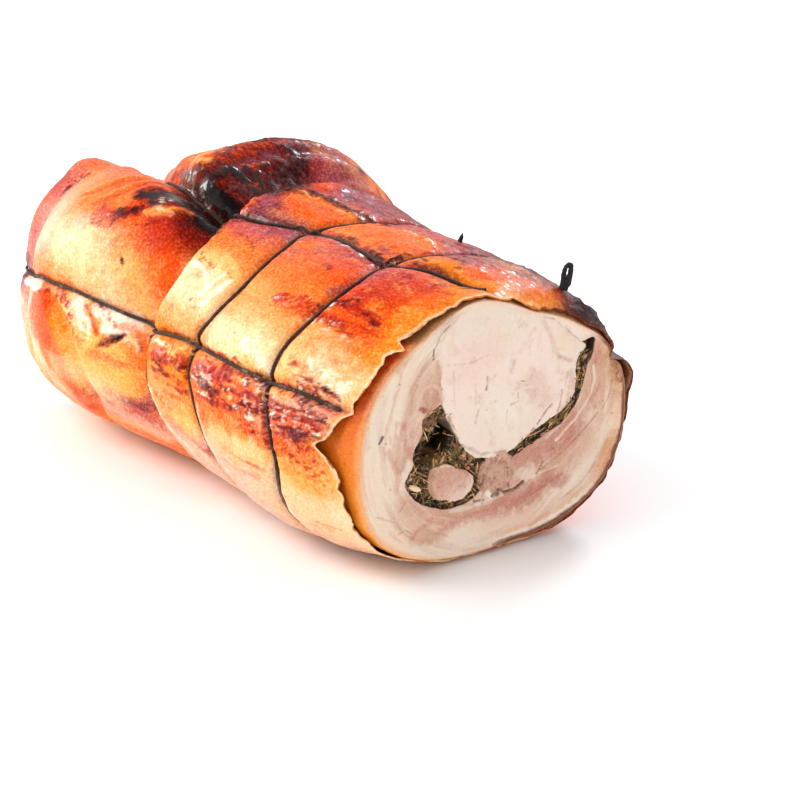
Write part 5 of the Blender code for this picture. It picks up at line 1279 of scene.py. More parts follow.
@dataclass(frozen=True)
class CutLayout:
    """Where the meats and the filling lie on the cut, mm sideways and high."""

    station: float = 175.0
    slant: float = -0.035
    middle: tuple = (5.0, 80.0)
    loin: tuple = ((-27, 103), (-27, 119), (-25, 129), (-18, 135.5), (-8, 140.5), (4, 143), (16, 143.5),
                   (27, 141), (36, 135.5), (46, 128), (58, 118), (68, 109.5), (73, 104.5), (68.5, 99.5),
                   (66.5, 92), (66.5, 85), (65, 78), (57, 71), (47, 67), (37, 64), (28, 60), (20, 56),
                   (6, 55), (-7, 60), (-17, 73), (-25, 89))
    fillet: tuple = ((-34, 57), (-27, 58.5), (-22, 58), (-16, 54.5), (-9, 51.5), (-4.5, 45), (-8, 39),
                     (-15, 36.5), (-23, 38), (-31, 41), (-35, 47))
    pocket: tuple = ((-20, 92), (-38, 88), (-40, 78), (-45, 69), (-46, 61), (-51, 54), (-46, 45),
                     (-37, 38.5), (-27, 34), (-15, 32.5), (-3, 35.5), (2, 42), (1, 50), (0, 57), (-4, 72))
    seam: tuple = ((21, 53, 1.2), (25, 56, 2.8), (32, 60, 4.2), (43, 63, 3.8), (54, 67, 3.8), (63, 74, 4.0),
                   (68, 84, 3.6), (69, 94, 4.6), (74, 103, 5.0), (76, 106, 3.0))
    chunk: tuple = ((-2, 41), (-1, 49), (3, 55), (10, 57.5), (18, 56), (22, 51), (23, 44), (19, 39.5),
                    (12, 37.5), (4, 38))

    def plane(self, sideways: np.ndarray) -> np.ndarray:
        """Station of the cut plane."""
        return self.station + self.slant * sideways

    def smooth(self, corners: tuple, count: int) -> np.ndarray:
        """Smooth closed outline through some corners."""
        spots = np.array(corners, dtype=float)
        t = np.linspace(0, len(spots), count, endpoint=False)
        k, f = np.floor(t).astype(int), (t % 1.0)[:, None]
        a, b, c, d = (spots[(k + n) % len(spots)] for n in (-1, 0, 1, 2))
        return 0.5 * (2 * b + (c - a) * f + (2 * a - 5 * b + 4 * c - d) * f ** 2
                      + (3 * b - a - 3 * c + d) * f ** 3)

    def outside_seam(self, y: np.ndarray, z: np.ndarray) -> np.ndarray:
        """How far outside the herb seam a point lies, mm."""
        best = np.full_like(y, 99.0)
        for (y0, z0, r0), (y1, z1, r1) in zip(self.seam[:-1], self.seam[1:]):
            length = math.hypot(y1 - y0, z1 - z0)
            t = np.clip(((y - y0) * (y1 - y0) + (z - z0) * (z1 - z0)) / length ** 2, 0.0, 1.0)
            gap = np.hypot(y - y0 - t * (y1 - y0), z - z0 - t * (z1 - z0))
            best = np.minimum(best, gap - r0 - t * (r1 - r0))
        return best

    def outside_of(self, corners: tuple, y: np.ndarray, z: np.ndarray) -> np.ndarray:
        """How far outside a smooth outline a point lies, mm."""
        ring = self.smooth(corners, 64)
        after = np.roll(ring, -1, axis=0)
        best, inside = np.full_like(y, 99.0), np.zeros(y.shape, dtype=bool)
        for (y0, z0), (y1, z1) in zip(ring, after):
            share = ((y - y0) * (y1 - y0) + (z - z0) * (z1 - z0)) / ((y1 - y0) ** 2 + (z1 - z0) ** 2)
            t = np.clip(share, 0, 1)
            best = np.minimum(best, np.hypot(y - y0 - t * (y1 - y0), z - z0 - t * (z1 - z0)))
            crosses = (z0 > z) != (z1 > z)
            inside ^= crosses & (y < (y1 - y0) * (z - z0) / (z1 - z0 if z1 != z0 else 1e-9) + y0)
        return np.where(inside, -best, best)

    def outside(self, y: np.ndarray, z: np.ndarray) -> np.ndarray:
        """How far outside every meat and filling a point lies, mm."""
        meats = np.minimum(self.outside_of(self.loin, y, z) + 0.6, self.outside_of(self.fillet, y, z))
        return np.minimum(meats, np.minimum(self.outside_seam(y, z), self.outside_of(self.pocket, y, z)))


BELLY_ZONES = (
    Zone(-62, 88, 14, 26, Tone.IVORY, 1.3), Zone(-50, 112, 16, 10, Tone.FAT),
    Zone(-36, 125, 10, 10, Tone.IVORY), Zone(-38, 104, 9, 9, Tone.LEAN), Zone(-46, 74, 8, 14, Tone.LEAN),
    Zone(-60, 50, 9, 16, Tone.IVORY), Zone(-50, 40, 9, 10, Tone.LEAN), Zone(-72, 50, 8, 26, Tone.FAT),
    Zone(-40, 28, 16, 8, Tone.LEAN), Zone(-10, 26, 18, 7, Tone.LEAN), Zone(16, 26, 16, 6, Tone.PINK),
    Zone(40, 32, 14, 6, Tone.PINK), Zone(12, 47, 9, 7, Tone.PINK), Zone(30, 50, 8, 8, Tone.PINK),
    Zone(55, 55, 14, 8, Tone.PINK, 1.2), Zone(34, 41, 7, 4, Tone.IVORY, 1.6),
    Zone(-1, 31, 6, 3, Tone.IVORY, 1.4), Zone(62, 43, 13, 7, Tone.LEAN), Zone(74, 90, 5, 12, Tone.LEAN),
    Zone(82, 82, 4, 16, Tone.LEAN), Zone(90, 84, 5, 16, Tone.FAT), Zone(97, 70, 4, 14, Tone.FAT),
    Zone(84, 58, 8, 12, Tone.FAT), Zone(76, 34, 8, 8, Tone.IVORY), Zone(58, 22, 14, 5, Tone.IVORY),
    Zone(88, 40, 6, 10, Tone.TAN), Zone(76, 20, 14, 4, Tone.TAN, 1.1), Zone(26, 14, 20, 4, Tone.BLUSH),
    Zone(-20, 14, 26, 5, Tone.IVORY), Zone(-56, 26, 12, 8, Tone.FAT), Zone(30, 138, 20, 6, Tone.FAT),
    Zone(56, 118, 8, 8, Tone.FAT),
)

BELLY_MARKS = (
    # round muscle beside the loin, and the crease between them
    Mark(Tone.PINK, 6.0, ((-34, 96),), 0.5, 0.7, 0.2, 0.5),
    Mark(Tone.BLUSH, 0.8, ((-41, 97), (-39, 103), (-33, 104.5), (-28, 101), (-27, 96)), 0.7, 1.0, 0.3, 0.3),
    Mark(Tone.MEAT_RED, 1.1, ((-40.5, 93), (-38.5, 91.5)), 0.75, 1.0, 0.5),
    Mark(Tone.MEAT_RED, 1.3, ((-37, 91), (-35, 90)), 0.5, 1.2, 0.5),
    Mark(Tone.MEAT_RED, 0.5, ((-41, 97),), 0.7, 1.0, 0.4),
    Mark(Tone.ROSE, 3.0, ((-51, 85),), 0.5, 1.4, 0.5), Mark(Tone.ROSE, 2.2, ((-47, 72), (-46, 68)), 0.5,
                                                            1.3, 0.5),
    Mark(Tone.PINK, 1.2, ((-30, 116), (-29, 110), (-27, 104)), 0.45, 1.3, 0.5),
    Mark(Tone.BROWN, 0.5, ((-31.5, 123), (-31.8, 119.5)), 0.85, 1.0, 0.5, -0.5),
    Mark(Tone.MEAT_RED, 0.8, ((-32, 118),), 0.7, 1.3, 0.5),
    Mark(Tone.SHADE, 0.45, ((-22, 134), (-27, 130), (-31, 123.5)), 0.55, 1.0, 0.5, -0.4),
    Mark(Tone.BROWN, 0.6, ((-26.5, 99), (-25.2, 95), (-26, 91)), 0.9, 0.9, 0.3, -0.8),
    # pale and lean layers on the near side
    Mark(Tone.LEAN, 0.8, ((-36, 118), (-42, 108), (-47, 98), (-50, 90)), 0.5, 1.4, 0.5),
    Mark(Tone.PINK, 0.7, ((-42, 106), (-46, 98), (-47, 92)), 0.5, 1.3, 0.5),
    Mark(Tone.LEAN, 1.8, ((-56, 88), (-56, 76), (-54, 64), (-56, 52)), 0.55, 1.4, 0.6),
    Mark(Tone.PINK, 1.4, ((-50, 80), (-50, 70), (-52, 62)), 0.5, 1.4, 0.6),
    Mark(Tone.ROSE, 1.4, ((-61, 74), (-59, 69), (-56, 62)), 0.45, 1.5, 0.6),
    Mark(Tone.IVORY, 2.0, ((-48, 64), (-50, 58)), 0.7, 1.0, 0.4, 0.4),
    Mark(Tone.ROSE, 0.6, ((-54, 39), (-50, 44)), 0.75, 1.0, 0.5, -0.2),
    Mark(Tone.MEAT_RED, 0.5, ((-60, 53),), 0.7, 1.0, 0.5),
    Mark(Tone.PINK, 0.5, ((-69, 40), (-63, 37), (-57, 34)), 0.5, 1.2, 0.5),
    Mark(Tone.SHADE, 0.4, ((-55, 27), (-50, 28), (-46, 25)), 0.45, 1.2, 0.5),
    Mark(Tone.ROSE, 1.6, ((-46, 22), (-39, 27), (-34, 30)), 0.45, 1.4, 0.6),
    Mark(Tone.BROWN, 0.5, ((-54, 109),), 0.7, 0.8, 0.5), Mark(Tone.BROWN, 0.5, ((-65, 105),), 0.8, 0.8,
                                                              0.5),
    Mark(Tone.BROWN, 0.45, ((-68, 105),), 0.8, 0.8, 0.5), Mark(Tone.RUST, 0.4, ((-78, 94),), 0.8, 0.8, 0.5),
    Mark(Tone.RUST, 0.5, ((-74, 90),), 0.8, 0.8, 0.5), Mark(Tone.HERB, 0.6, ((-67, 80), (-65, 83)), 0.8,
                                                            0.8, 0.7),
    Mark(Tone.OLIVE, 0.7, ((-63, 79),), 0.5, 1.0, 0.7),
    # hollow under the lip of skin, painted brown as shade
    Mark(Tone.SHADE, 4.0, ((-56, 120), (-46, 130), (-36, 136), (-24, 142)), 0.75, 1.2, 0.3, -1.2),
    Mark(Tone.RUST, 1.6, ((-44, 131), (-38, 134), (-33, 135)), 0.7, 1.2, 0.4, -0.6),
    Mark(Tone.BROWN, 0.6, ((-43, 128), (-37, 130), (-34, 133)), 0.6, 1.0, 0.5),
    # lean and fat below the filling
    streaked(0.7, Tone.ROSE, 3.0, ((-26, 24), (-8, 24), (10, 25), (26, 29)), 0.5, 1.5, 0.4),
    Mark(Tone.PINK, 3.6, ((18, 24), (34, 30), (50, 32), (60, 30)), 0.6, 1.3, 0.4),
    Mark(Tone.ROSE, 0.8, ((30, 27), (38, 30), (48, 33), (58, 34)), 0.6, 1.3, 0.5),
    Mark(Tone.MEAT_RED, 0.5, ((35, 27), (44, 30), (50, 32)), 0.6, 1.1, 0.5),
    Mark(Tone.IVORY, 1.2, ((-20, 31), (-6, 30), (8, 32), (20, 34)), 0.6, 1.2, 0.5),
    Mark(Tone.FAT, 0.7, ((24, 36), (40, 38), (56, 40), (70, 50)), 0.55, 1.1, 0.5),
    Mark(Tone.SHADE, 0.4, ((42, 40), (54, 45), (66, 52), (76, 59), (82, 64)), 0.65, 1.0, 0.6, -0.4),
    Mark(Tone.BROWN, 0.9, ((39.5, 38.5), (41, 40.5)), 0.9, 0.8, 0.4, -0.8),
    Mark(Tone.BROWN, 0.5, ((42, 42), (43, 45)), 0.7, 0.9, 0.6), Mark(Tone.BROWN, 0.7, ((50, 51),), 0.7, 1.0,
                                                                     0.7),
    Mark(Tone.BROWN, 0.7, ((86, 70),), 0.85, 0.9, 0.5, -0.4), Mark(Tone.BROWN, 0.6, ((92, 62),), 0.8, 0.9,
                                                                   0.5),
    Mark(Tone.LEAN, 4.5, ((58, 42), (72, 50), (84, 60)), 0.5, 1.3, 0.4),
    speckled(0.75, Tone.PINK, 5.0, ((40, 50), (54, 55), (68, 62), (74, 74)), 0.5, 1.3, 0.4),
    Mark(Tone.ROSE, 0.7, ((44, 44), (56, 50), (66, 56)), 0.5, 1.2, 0.6),
    Mark(Tone.ROSE, 1.2, ((80, 68), (78, 73), (83, 80)), 0.5, 1.1, 0.6),
    Mark(Tone.FAT, 0.8, ((52, 55), (66, 64), (77, 76), (79, 84), (78, 92)), 0.75, 1.0, 0.4, 0.3),
    Mark(Tone.FAT, 0.7, ((45, 58), (60, 66), (70, 76)), 0.55, 1.1, 0.5),
    Mark(Tone.LEAN, 3.2, ((84, 92), (86, 80), (84, 70)), 0.6, 1.2, 0.4), Mark(Tone.ROSE, 2.0, ((82, 99),
                                                                              (80, 95)), 0.55, 1.3, 0.5),
    Mark(Tone.ROSE, 0.6, ((90, 94), (92, 82), (90, 72), (86, 66)), 0.55, 1.2, 0.6),
    Mark(Tone.FAT, 1.6, ((94, 92), (96, 80), (94, 66), (86, 54)), 0.6, 1.2, 0.5),
    Mark(Tone.IVORY, 2.2, ((60, 25), (72, 32), (82, 42), (90, 54)), 0.6, 1.3, 0.5),
    Mark(Tone.ROSE, 0.6, ((56, 19), (70, 25), (82, 36)), 0.45, 1.2, 0.6),
    # chopped meat right of the fillet, with dark cracks
    Mark(Tone.LEAN, 4.0, ((6, 40), (14, 44), (20, 48)), 0.5, 1.2, 0.5, 0.6),
    speckled(0.4, Tone.BROWN, 1.0, ((6, 40.5), (10, 46), (16, 52)), 0.45, 1.0, 1.0, 0.4),
    Mark(Tone.BROWN, 0.9, ((12, 36), (17, 33), (24, 33.5), (30, 36)), 0.9, 0.8, 0.5, -1.0),
    Mark(Tone.BROWN, 0.7, ((22, 44), (19, 39), (20, 35)), 0.6, 1.0, 0.8, -0.5),
    Mark(Tone.MEAT_RED, 1.4, ((-2, 40), (2, 38)), 0.4, 1.2, 0.5), Mark(Tone.MEAT_RED, 1.4, ((8, 37),
                                                                       (13, 35)), 0.4, 1.2),
    Mark(Tone.WHITE, 1.2, ((4, 36), (7, 33)), 0.8, 0.8, 0.5, 0.4), Mark(Tone.HERB, 1.0, ((-4, 33), (2, 32)),
                                                                        0.7, 1.0, 0.8),
    Mark(Tone.HERB, 1.1, ((8, 33.5), (12, 33)), 0.8, 0.8, 0.5, -0.6),
    # hollow and small dark slits under the far lip
    Mark(Tone.BROWN, 0.8, ((44, 129), (46, 128)), 0.85, 0.8, 0.4, -0.8),
    Mark(Tone.BROWN, 0.8, ((50, 124), (53, 122)), 0.85, 0.8, 0.4, -0.8),
    Mark(Tone.AMBER, 1.4, ((40, 131), (48, 127)), 0.5, 1.2, 0.5), Mark(Tone.AMBER, 1.2, ((56, 120),
                                                                       (60, 116)), 0.5, 1.2),
    Mark(Tone.BROWN, 0.8, ((58, 118), (60, 116.5)), 0.85, 0.8, 0.4, -0.8),
)

LOIN_MARKS = (
    Mark(Tone.WHITE, 9.0, ((10, 84), (20, 76)), 0.35, 1.6, 0.4), Mark(Tone.FAT, 3.0, ((-4, 139), (14, 138),
                                                                      (30, 133)), 0.6),
    Mark(Tone.FAT, 2.2, ((-18, 130), (-24, 118), (-24, 104)), 0.5, 1.4), Mark(Tone.LEAN, 7.0, ((36, 92),
                                                                              (44, 82)), 0.35, 1.6),
    Mark(Tone.BLUSH, 10.0, ((-8, 110), (6, 116)), 0.4, 1.5), Mark(Tone.PINK, 0.5, ((4, 101), (4, 97),
                                                                  (3.6, 94)), 0.8, 1.0, 0.5, -0.5),
    Mark(Tone.BROWN, 0.35, ((3.6, 96), (3.4, 94)), 0.6, 1.0, 0.4), Mark(Tone.PINK, 0.5, ((-2, 84),
                                                                        (-4, 77)), 0.6, 1.2),
    Mark(Tone.PINK, 0.5, ((-20, 93),), 0.5, 1.0), Mark(Tone.PINK, 0.4, ((-24, 113), (-9, 111), (4, 113)),
                                                       0.35, 1.3),
    Mark(Tone.PINK, 0.4, ((-19, 109), (-18, 98), (-18, 90)), 0.35, 1.3), Mark(Tone.PINK, 0.4, ((-4, 99),
                                                                              (-4, 87)), 0.4, 1.3),
    Mark(Tone.LEAN, 0.5, ((22, 106), (20, 100)), 0.5, 1.2), Mark(Tone.PINK, 0.4, ((27, 94), (30, 93)), 0.6,
                                                                 1.0, 0.8),
    Mark(Tone.PINK, 0.4, ((25, 88), (25, 85)), 0.6, 1.0, 0.8), Mark(Tone.ROSE, 0.4, ((20, 82), (25, 83)),
                                                                    0.5, 1.0, 0.8),
    speckled(0.6, Tone.ROSE, 0.4, ((18, 80), (17, 72)), 0.4, 1.0, 0.9),
    Mark(Tone.PINK, 0.5, ((56, 83), (55, 76), (53, 71)), 0.6, 1.0, 0.5, -0.7),
    Mark(Tone.MEAT_RED, 0.45, ((49, 76), (46, 74), (42, 70)), 0.7, 0.9, 0.5, -0.6),
    Mark(Tone.BROWN, 0.6, ((41, 69), (39, 67)), 0.8, 0.9, 0.5, -0.6),
    Mark(Tone.LEAN, 1.6, ((42, 124), (47, 116), (50, 108), (54, 102)), 0.45, 1.3, 0.4, -0.3),
    Mark(Tone.LEAN, 1.2, ((54, 102), (62, 98)), 0.6, 1.2), Mark(Tone.FAT, 3.5, ((50, 120), (54, 112),
                                                                (60, 105)), 0.7, 1.3),
    Mark(Tone.LEAN, 2.0, ((62, 92), (63, 82), (58, 72)), 0.5, 1.4), Mark(Tone.PINK, 0.4, ((60, 92),
                                                                         (58, 84)), 0.5, 1.2),
    Mark(Tone.BROWN, 0.5, ((-19, 79), (-17, 75)), 0.7, 1.0, 0.8), Mark(Tone.SHADE, 1.0, ((-22, 84),
                                                                       (-20, 78), (-16, 71)), 0.6, 1.2,
                                                                       0.7),
    Mark(Tone.SHADE, 0.8, ((-12, 66), (0, 59), (14, 57)), 0.4, 1.3, 0.8),
)

CHUNK_MARKS = (
    speckled(0.5, Tone.BROWN, 6.0, ((3, 44), (10, 50), (17, 46)), 0.55, 1.2, 0.8, -0.3),
    speckled(0.6, Tone.PINK, 7.0, ((6, 42), (14, 48)), 0.4, 1.3, 0.8),
    speckled(0.5, Tone.BLUSH, 4.0, ((8, 47), (12, 46)), 0.5, 1.2, 0.8, 0.4),
    Mark(Tone.SHADE, 2.0, ((-1, 42), (0, 50), (4, 56)), 0.7, 1.2, 0.8, -0.4),
)

FILLET_MARKS = (
    Mark(Tone.PINK, 6.0, ((-24, 50), (-14, 50)), 0.35, 1.6, 0.4), Mark(Tone.ROSE, 0.6, ((-14, 53), (-9, 50),
                                                                       (-7, 45)), 0.5, 1.2),
    Mark(Tone.PINK, 0.8, ((-18, 42), (-12, 45), (-10, 50)), 0.4, 1.3), Mark(Tone.MEAT_RED, 0.45,
                                                                            ((-28.5, 47),), 0.8, 1.0),
    Mark(Tone.SHADE, 2.2, ((-34, 56), (-35, 48), (-32, 41)), 0.5, 1.3, 0.6), Mark(Tone.FAT, 0.7, ((-27, 58),
                                                                                  (-18, 57)), 0.5),
    Mark(Tone.LEAN, 1.0, ((-8, 54), (-4, 48)), 0.5, 1.2),
)


@dataclass
class CutMeat:
    """The bare meat at the front: flank under the skin, cut face, loin and fillet."""

    form: RollForm
    layout: CutLayout
    around_count: int = 700
    face_rows: int = 66
    flank_rows: int = 24
    grain_middle: tuple = (2.0, 78.0)
    overlap: float = 14.0
    hidden_back: float = 30.0
    inner_station: float = 130.0
    rim_margin: float = 2.2
    hidden_rings: tuple = ((1.2, 1.0), (4.0, 1.0), (9.0, 1.0), (15.0, 1.0), (16.0, 0.6), (16.0, 0.0))
    slab_sides: tuple = ((3.0, 1.0), (8.0, 1.0), (18.0, 1.0), (18.0, 0.0))

    def inner_reach(self, direction: np.ndarray) -> np.ndarray:
        """How far from the middle the other meats and the filling reach, by direction."""
        reach = np.linspace(0.0, 100.0, 201)
        y = self.layout.middle[0] + np.outer(reach, direction[:, 0])
        z = self.layout.middle[1] + np.outer(reach, direction[:, 1])
        inside = self.layout.outside(y, z) < 0.0
        far = reach[len(reach) - 1 - np.argmax(inside[::-1], axis=0)]
        ragged = Noise(65).cloud(np.column_stack([direction * 40.0, np.zeros(len(far))]), 3.0, 3)
        far = far + 0.5 * ragged
        blur = np.exp(-(np.arange(-2, 3) / 1.2) ** 2)
        return np.convolve(np.concatenate([far[-2:], far, far[:2]]), blur / blur.sum(), mode="valid")

    def round_grain(self, y: np.ndarray, z: np.ndarray) -> tuple[np.ndarray, np.ndarray]:
        """Direction and distance from the middle that the grain of the belly runs round."""
        across, up = y - self.grain_middle[0], z - self.grain_middle[1]
        return np.arctan2(up, across), np.hypot(across, up)

    def fibres(self, y: np.ndarray, z: np.ndarray) -> np.ndarray:
        """Layered grain of the belly, running round with the roll."""
        bent, far = self.round_grain(y, z)
        return Noise(61).cloud(np.stack([bent * 6.0, far * 0.8, 0 * y], axis=-1), 2.4, 3)

    def build_belly(self) -> bpy.types.Object:
        """Belly meat: flank under the skin's edge and the layered cut face."""
        angle = np.linspace(UNDER, UNDER + FULL_TURN, self.around_count, endpoint=False)
        edge = around(angle, self.form.skin_edge)
        rim = self.form.meat(np.full_like(angle, self.layout.station), angle, self.rim_margin)
        top = between(angle, 66.0, 82.0, 158.0, 176.0)
        hem, proud = 1.5 - 0.9 * top, 2.0 - 1.6 * top
        front = np.maximum(self.layout.plane(rim[:, 1]), edge + proud)
        rows, kinds, gaps = [], [], []
        for k in range(self.flank_rows):
            share = k / (self.flank_rows - 1)
            x = edge - self.overlap + (front - 0.2 - edge + self.overlap) * share
            inset = np.interp(share, (0.0, 0.45, 0.6, 1.0), (3.0, 1.5, 0.6, 0.7))
            row = self.form.meat(x, angle, inset + 0.25 * Noise(63).cloud(
                np.stack([x * 0.4, angle * ARC, 0 * x], axis=-1), 9.0, 2))
            rows.append(row)
            kinds.append(np.zeros_like(angle))
            gaps.append(front - x)
        for bend in (0.35, 0.7, 1.0):
            x = front + 0.6 * math.sin(bend * math.pi / 2) - 0.2
            rows.append(self.form.meat(x, angle, 0.7 + hem * bend ** 2))
            kinds.append(np.full_like(angle, 0.5 * bend))
            gaps.append(np.zeros_like(angle))
        start = rows[-1][:, 1:]
        middle = np.array(self.layout.middle)
        direction = (start - middle) / np.hypot(*(start - middle).T)[:, None]
        outer = np.hypot(*(start - middle).T)
        inner = np.minimum(self.inner_reach(direction), outer - 1.5)
        for k in range(1, self.face_rows + 1):
            share = k / self.face_rows
            spot = middle + direction * (outer + (inner - outer) * share)[:, None]
            settle = ramp(0.0, 9.0, (outer - inner) * share)
            x = (front + 0.4) * (1.0 - settle) + (self.layout.plane(spot[:, 0])) * settle
            rows.append(np.column_stack([x, spot]))
            kinds.append(np.ones_like(angle))
            gaps.append((outer - inner) * share)
        for depth, shrink in self.hidden_rings:
            spot = middle + direction * (inner * shrink)[:, None]
            rows.append(np.column_stack([self.layout.plane(spot[:, 0]) - depth, spot]))
            kinds.append(np.full_like(angle, 2.0))
            gaps.append(outer - inner)
        for inset in (16.0, 3.0):
            rows.insert(0, self.form.meat(edge - self.hidden_back, angle, inset))
        rows.insert(0, np.tile((self.inner_station, *self.layout.middle), (len(angle), 1)))
        added = len(rows) - len(kinds)
        kinds = [np.zeros_like(angle)] * added + kinds
        gaps = [np.full_like(angle, self.hidden_back)] * added + gaps
        points, kind, gap = np.array(rows), np.array(kinds), np.array(gaps)
        turned = np.broadcast_to(angle, kind.shape)
        canvas = Canvas(points[..., 1], points[..., 2], points)
        self.paint_belly(canvas, kind, gap, turned)
        face = ramp(0.6, 1.0, kind) * (kind < 1.5)
        grain = self.fibres(points[..., 1], points[..., 2])
        points[..., 0] += face * ramp(0.0, 3.0, gap) * (0.22 * grain + 0.3 * canvas.middle + canvas.raised)
        return Mesher.painted("belly_face", points, canvas)

    def paint_belly(self, canvas: Canvas, kind: np.ndarray, gap: np.ndarray, angle: np.ndarray) -> None:
        """Paint the flank, the rim and the layered face.

        Args:
            canvas: Surface to paint.
            kind: 0 on the flank, 1 on the face, 2 inside.
            gap: Distance from the rim, mm.
            angle: Angle round the roll.
        """
        y, z = canvas.a, canvas.b
        canvas.base(BELLY_ZONES)
        grain = self.fibres(y, z)
        bent, far = self.round_grain(y, z)
        strata = Noise(67).cloud(np.stack([bent * 9.0, far + 2.0 * canvas.broad, 0 * y], axis=-1), 4.5, 4)
        canvas.blend(ramp(0.15, 1.1, grain) * 0.34, Tone.IVORY)
        canvas.blend(ramp(0.2, 1.2, -grain) * 0.26, Tone.PINK)
        canvas.blend(ramp(0.1, 0.8, strata) * 0.30, Tone.LEAN)
        canvas.blend(ramp(0.2, 0.9, -strata) * 0.40, Tone.FAT)
        canvas.blend(ramp(0.75, 1.1, np.abs(strata)) * 0.35, Tone.PINK)
        canvas.blend(ramp(0.4, 1.2, canvas.fine) * 0.12, Tone.FAT)
        canvas.lay(*BELLY_MARKS)
        left = between(angle, -75.0, -50.0, 50.0, 75.0)
        right = between(angle, 120.0, 160.0, 262.0, 275.0)
        canvas.blend(ramp(7.0, 1.0, gap + 1.0 * canvas.middle) * 0.5 * left, Tone.FAT)
        canvas.blend(ramp(2.6, 0.2, gap + 0.5 * canvas.middle) * 0.6 * left, Tone.PEACH)
        canvas.blend(ramp(8.5, 3.0, gap + 1.6 * canvas.middle) * 0.3 * right, Tone.APRICOT)
        low = ramp(215.0, 235.0, angle)
        canvas.blend(ramp(4.6, 3.0, gap + 0.8 * canvas.fine) * 0.7 * right * low, Tone.WHITE)
        canvas.blend(ramp(1.9, 0.7, gap + 0.7 * canvas.middle) * 0.85 * right, Tone.RUST)
        canvas.blend(ramp(0.9, 0.2, gap + 0.4 * canvas.fine) * 0.7 * right, Tone.BROWN)
        top = between(angle, 74.0, 84.0, 140.0, 152.0)
        canvas.blend(ramp(14.0, 4.0, gap) * 0.9 * top, Tone.LOIN)
        canvas.blend(ramp(2.0, 0.4, gap + 0.8 * canvas.fine) * 0.35 * top, Tone.PEACH)
        lump = bell(turn(angle, 168.0), 9.0)
        canvas.blend(lump * ramp(13.0, 4.0, gap + 2.0 * canvas.middle) * 0.75, Tone.TAN)
        burnt = ramp(10.0, 3.0, gap + 3.0 * canvas.fine) * 0.7 * ramp(-0.3, 0.6, canvas.fine)
        canvas.blend(lump * burnt, Tone.RUST)
        flank = np.clip(1.0 - 2.0 * kind, 0.0, 1.0)
        # the flank's orange is painted darker ember towards the top, as the shade under the lip, and
        # lighter amber low down where the light falls
        height = ramp(46.0, -40.0, angle + 3.0 * canvas.broad)
        side = Tone.EMBER.linear * (1 - height)[..., None] + Tone.AMBER.linear * height[..., None]
        share = (0.55 - np.abs(height - 0.5))[..., None]
        side = side * (1 - share) + Tone.ORANGE.linear * share
        canvas.colour = canvas.colour * (1 - flank[..., None]) + side * flank[..., None]
        stains = between(angle, 8.0, 34.0, 50.0, 62.0)
        canvas.blend(flank * stains * ramp(-0.5, 0.5, canvas.middle) * 0.6, Tone.EMBER)
        canvas.blend(flank * stains * ramp(0.2, 0.8, canvas.middle + 0.4 * canvas.fine) * 0.5, Tone.RUST)
        canvas.blend(flank * ramp(4.0, 0.0, gap + 0.8 * canvas.middle) * 0.55, Tone.PEACH)
        canvas.blend(flank * ramp(0.75, 1.3, canvas.fine) * 0.5, Tone.RUST)
        # flank under the lip on the top and far side painted as shade
        shade_under_lip = flank * between(angle, 52.0, 58.0, 240.0, 262.0)
        canvas.blend(shade_under_lip * 0.85, Tone.SHADE)
        canvas.blend((kind > 1.5) * 0.9, Tone.HERB)
        canvas.shine = canvas.shine * (1 - flank) + 0.75 * flank

    def within_rim(self, outline: np.ndarray, middle: np.ndarray, margin: float) -> np.ndarray:
        """Pull an outline in wherever it comes closer than a margin to the belly's rim."""
        angle = np.linspace(UNDER, UNDER + FULL_TURN, 721)
        rim = self.form.meat(np.full_like(angle, self.layout.station), angle, margin)[:, 1:] - middle
        heading = np.degrees(np.arctan2(rim[:, 1], rim[:, 0]))
        order = np.argsort(heading)
        spot = outline - middle
        limit = np.interp(np.degrees(np.arctan2(spot[:, 1], spot[:, 0])), heading[order],
                          np.hypot(*rim.T)[order], period=FULL_TURN)
        return middle + spot * np.minimum(1.0, limit / np.hypot(*spot.T))[:, None]

    def slab(self, name: str, corners: tuple, middle: tuple, marks: tuple, base: tuple, rings: int,
             count: int, swell: float = 0.0) -> bpy.types.Object:
        """A muscle on the cut: face with a soft edge, painted fibres and a side that runs back.

        Args:
            name: Name of the piece.
            corners: Corners of its outline.
            middle: Place that the rings of points close on.
            marks: Marks to paint.
            base: Zones of base colour.
            rings: Rings of points from the middle to the edge.
            count: Points round each ring.
            swell: How far its face stands proud in lumps, mm.

        Returns:
            The object.
        """
        outline, middle = self.layout.smooth(corners, count), np.array(middle, dtype=float)
        flat = np.column_stack([outline, np.zeros(count)])
        outline = self.within_rim(outline, middle, self.rim_margin)
        reach = np.hypot(*(outline - middle).T)
        torn = (0.35 + 1.2 * swell) * Noise(71).cloud(flat, 4.0, 3)
        outline = outline + (torn / reach)[:, None] * (outline - middle)
        open_side = ramp(40.0, 62.0, outline[:, 0] + 0.6 * (78.0 - outline[:, 1]) * (outline[:, 1] < 78.0))
        open_side = np.maximum(open_side, 0.22)
        rows = []
        for k in range(rings + 1):
            share = (k / rings) ** 0.92
            spot = middle + (outline - middle) * share
            edge = np.hypot(*(outline - spot).T)
            round_over = np.clip(1.0 - (1.0 - np.clip(edge / 1.8, 0, 1)) ** 2, 0, 1)
            drop = 1.4 * open_side * (1.0 - np.sqrt(round_over))
            rows.append(np.column_stack([self.layout.plane(spot[:, 0]) + 0.12 - drop, spot]))
        for depth, shrink in self.slab_sides:
            spot = middle + (outline - middle) * shrink
            rows.append(np.column_stack([self.layout.plane(spot[:, 0]) - depth, spot]))
        points = np.array(rows)
        canvas = Canvas(points[..., 1], points[..., 2], points)
        canvas.base(base)
        strands = Noise(73).cloud(points * (1.0, 0.9, 0.22), 3.0, 3)
        flecks = Noise(75).cloud(points, 1.8, 2)
        right = ramp(20.0, 45.0, canvas.a)
        canvas.blend(ramp(0.2, 1.2, strands) * (0.08 + 0.14 * right), Tone.LEAN)
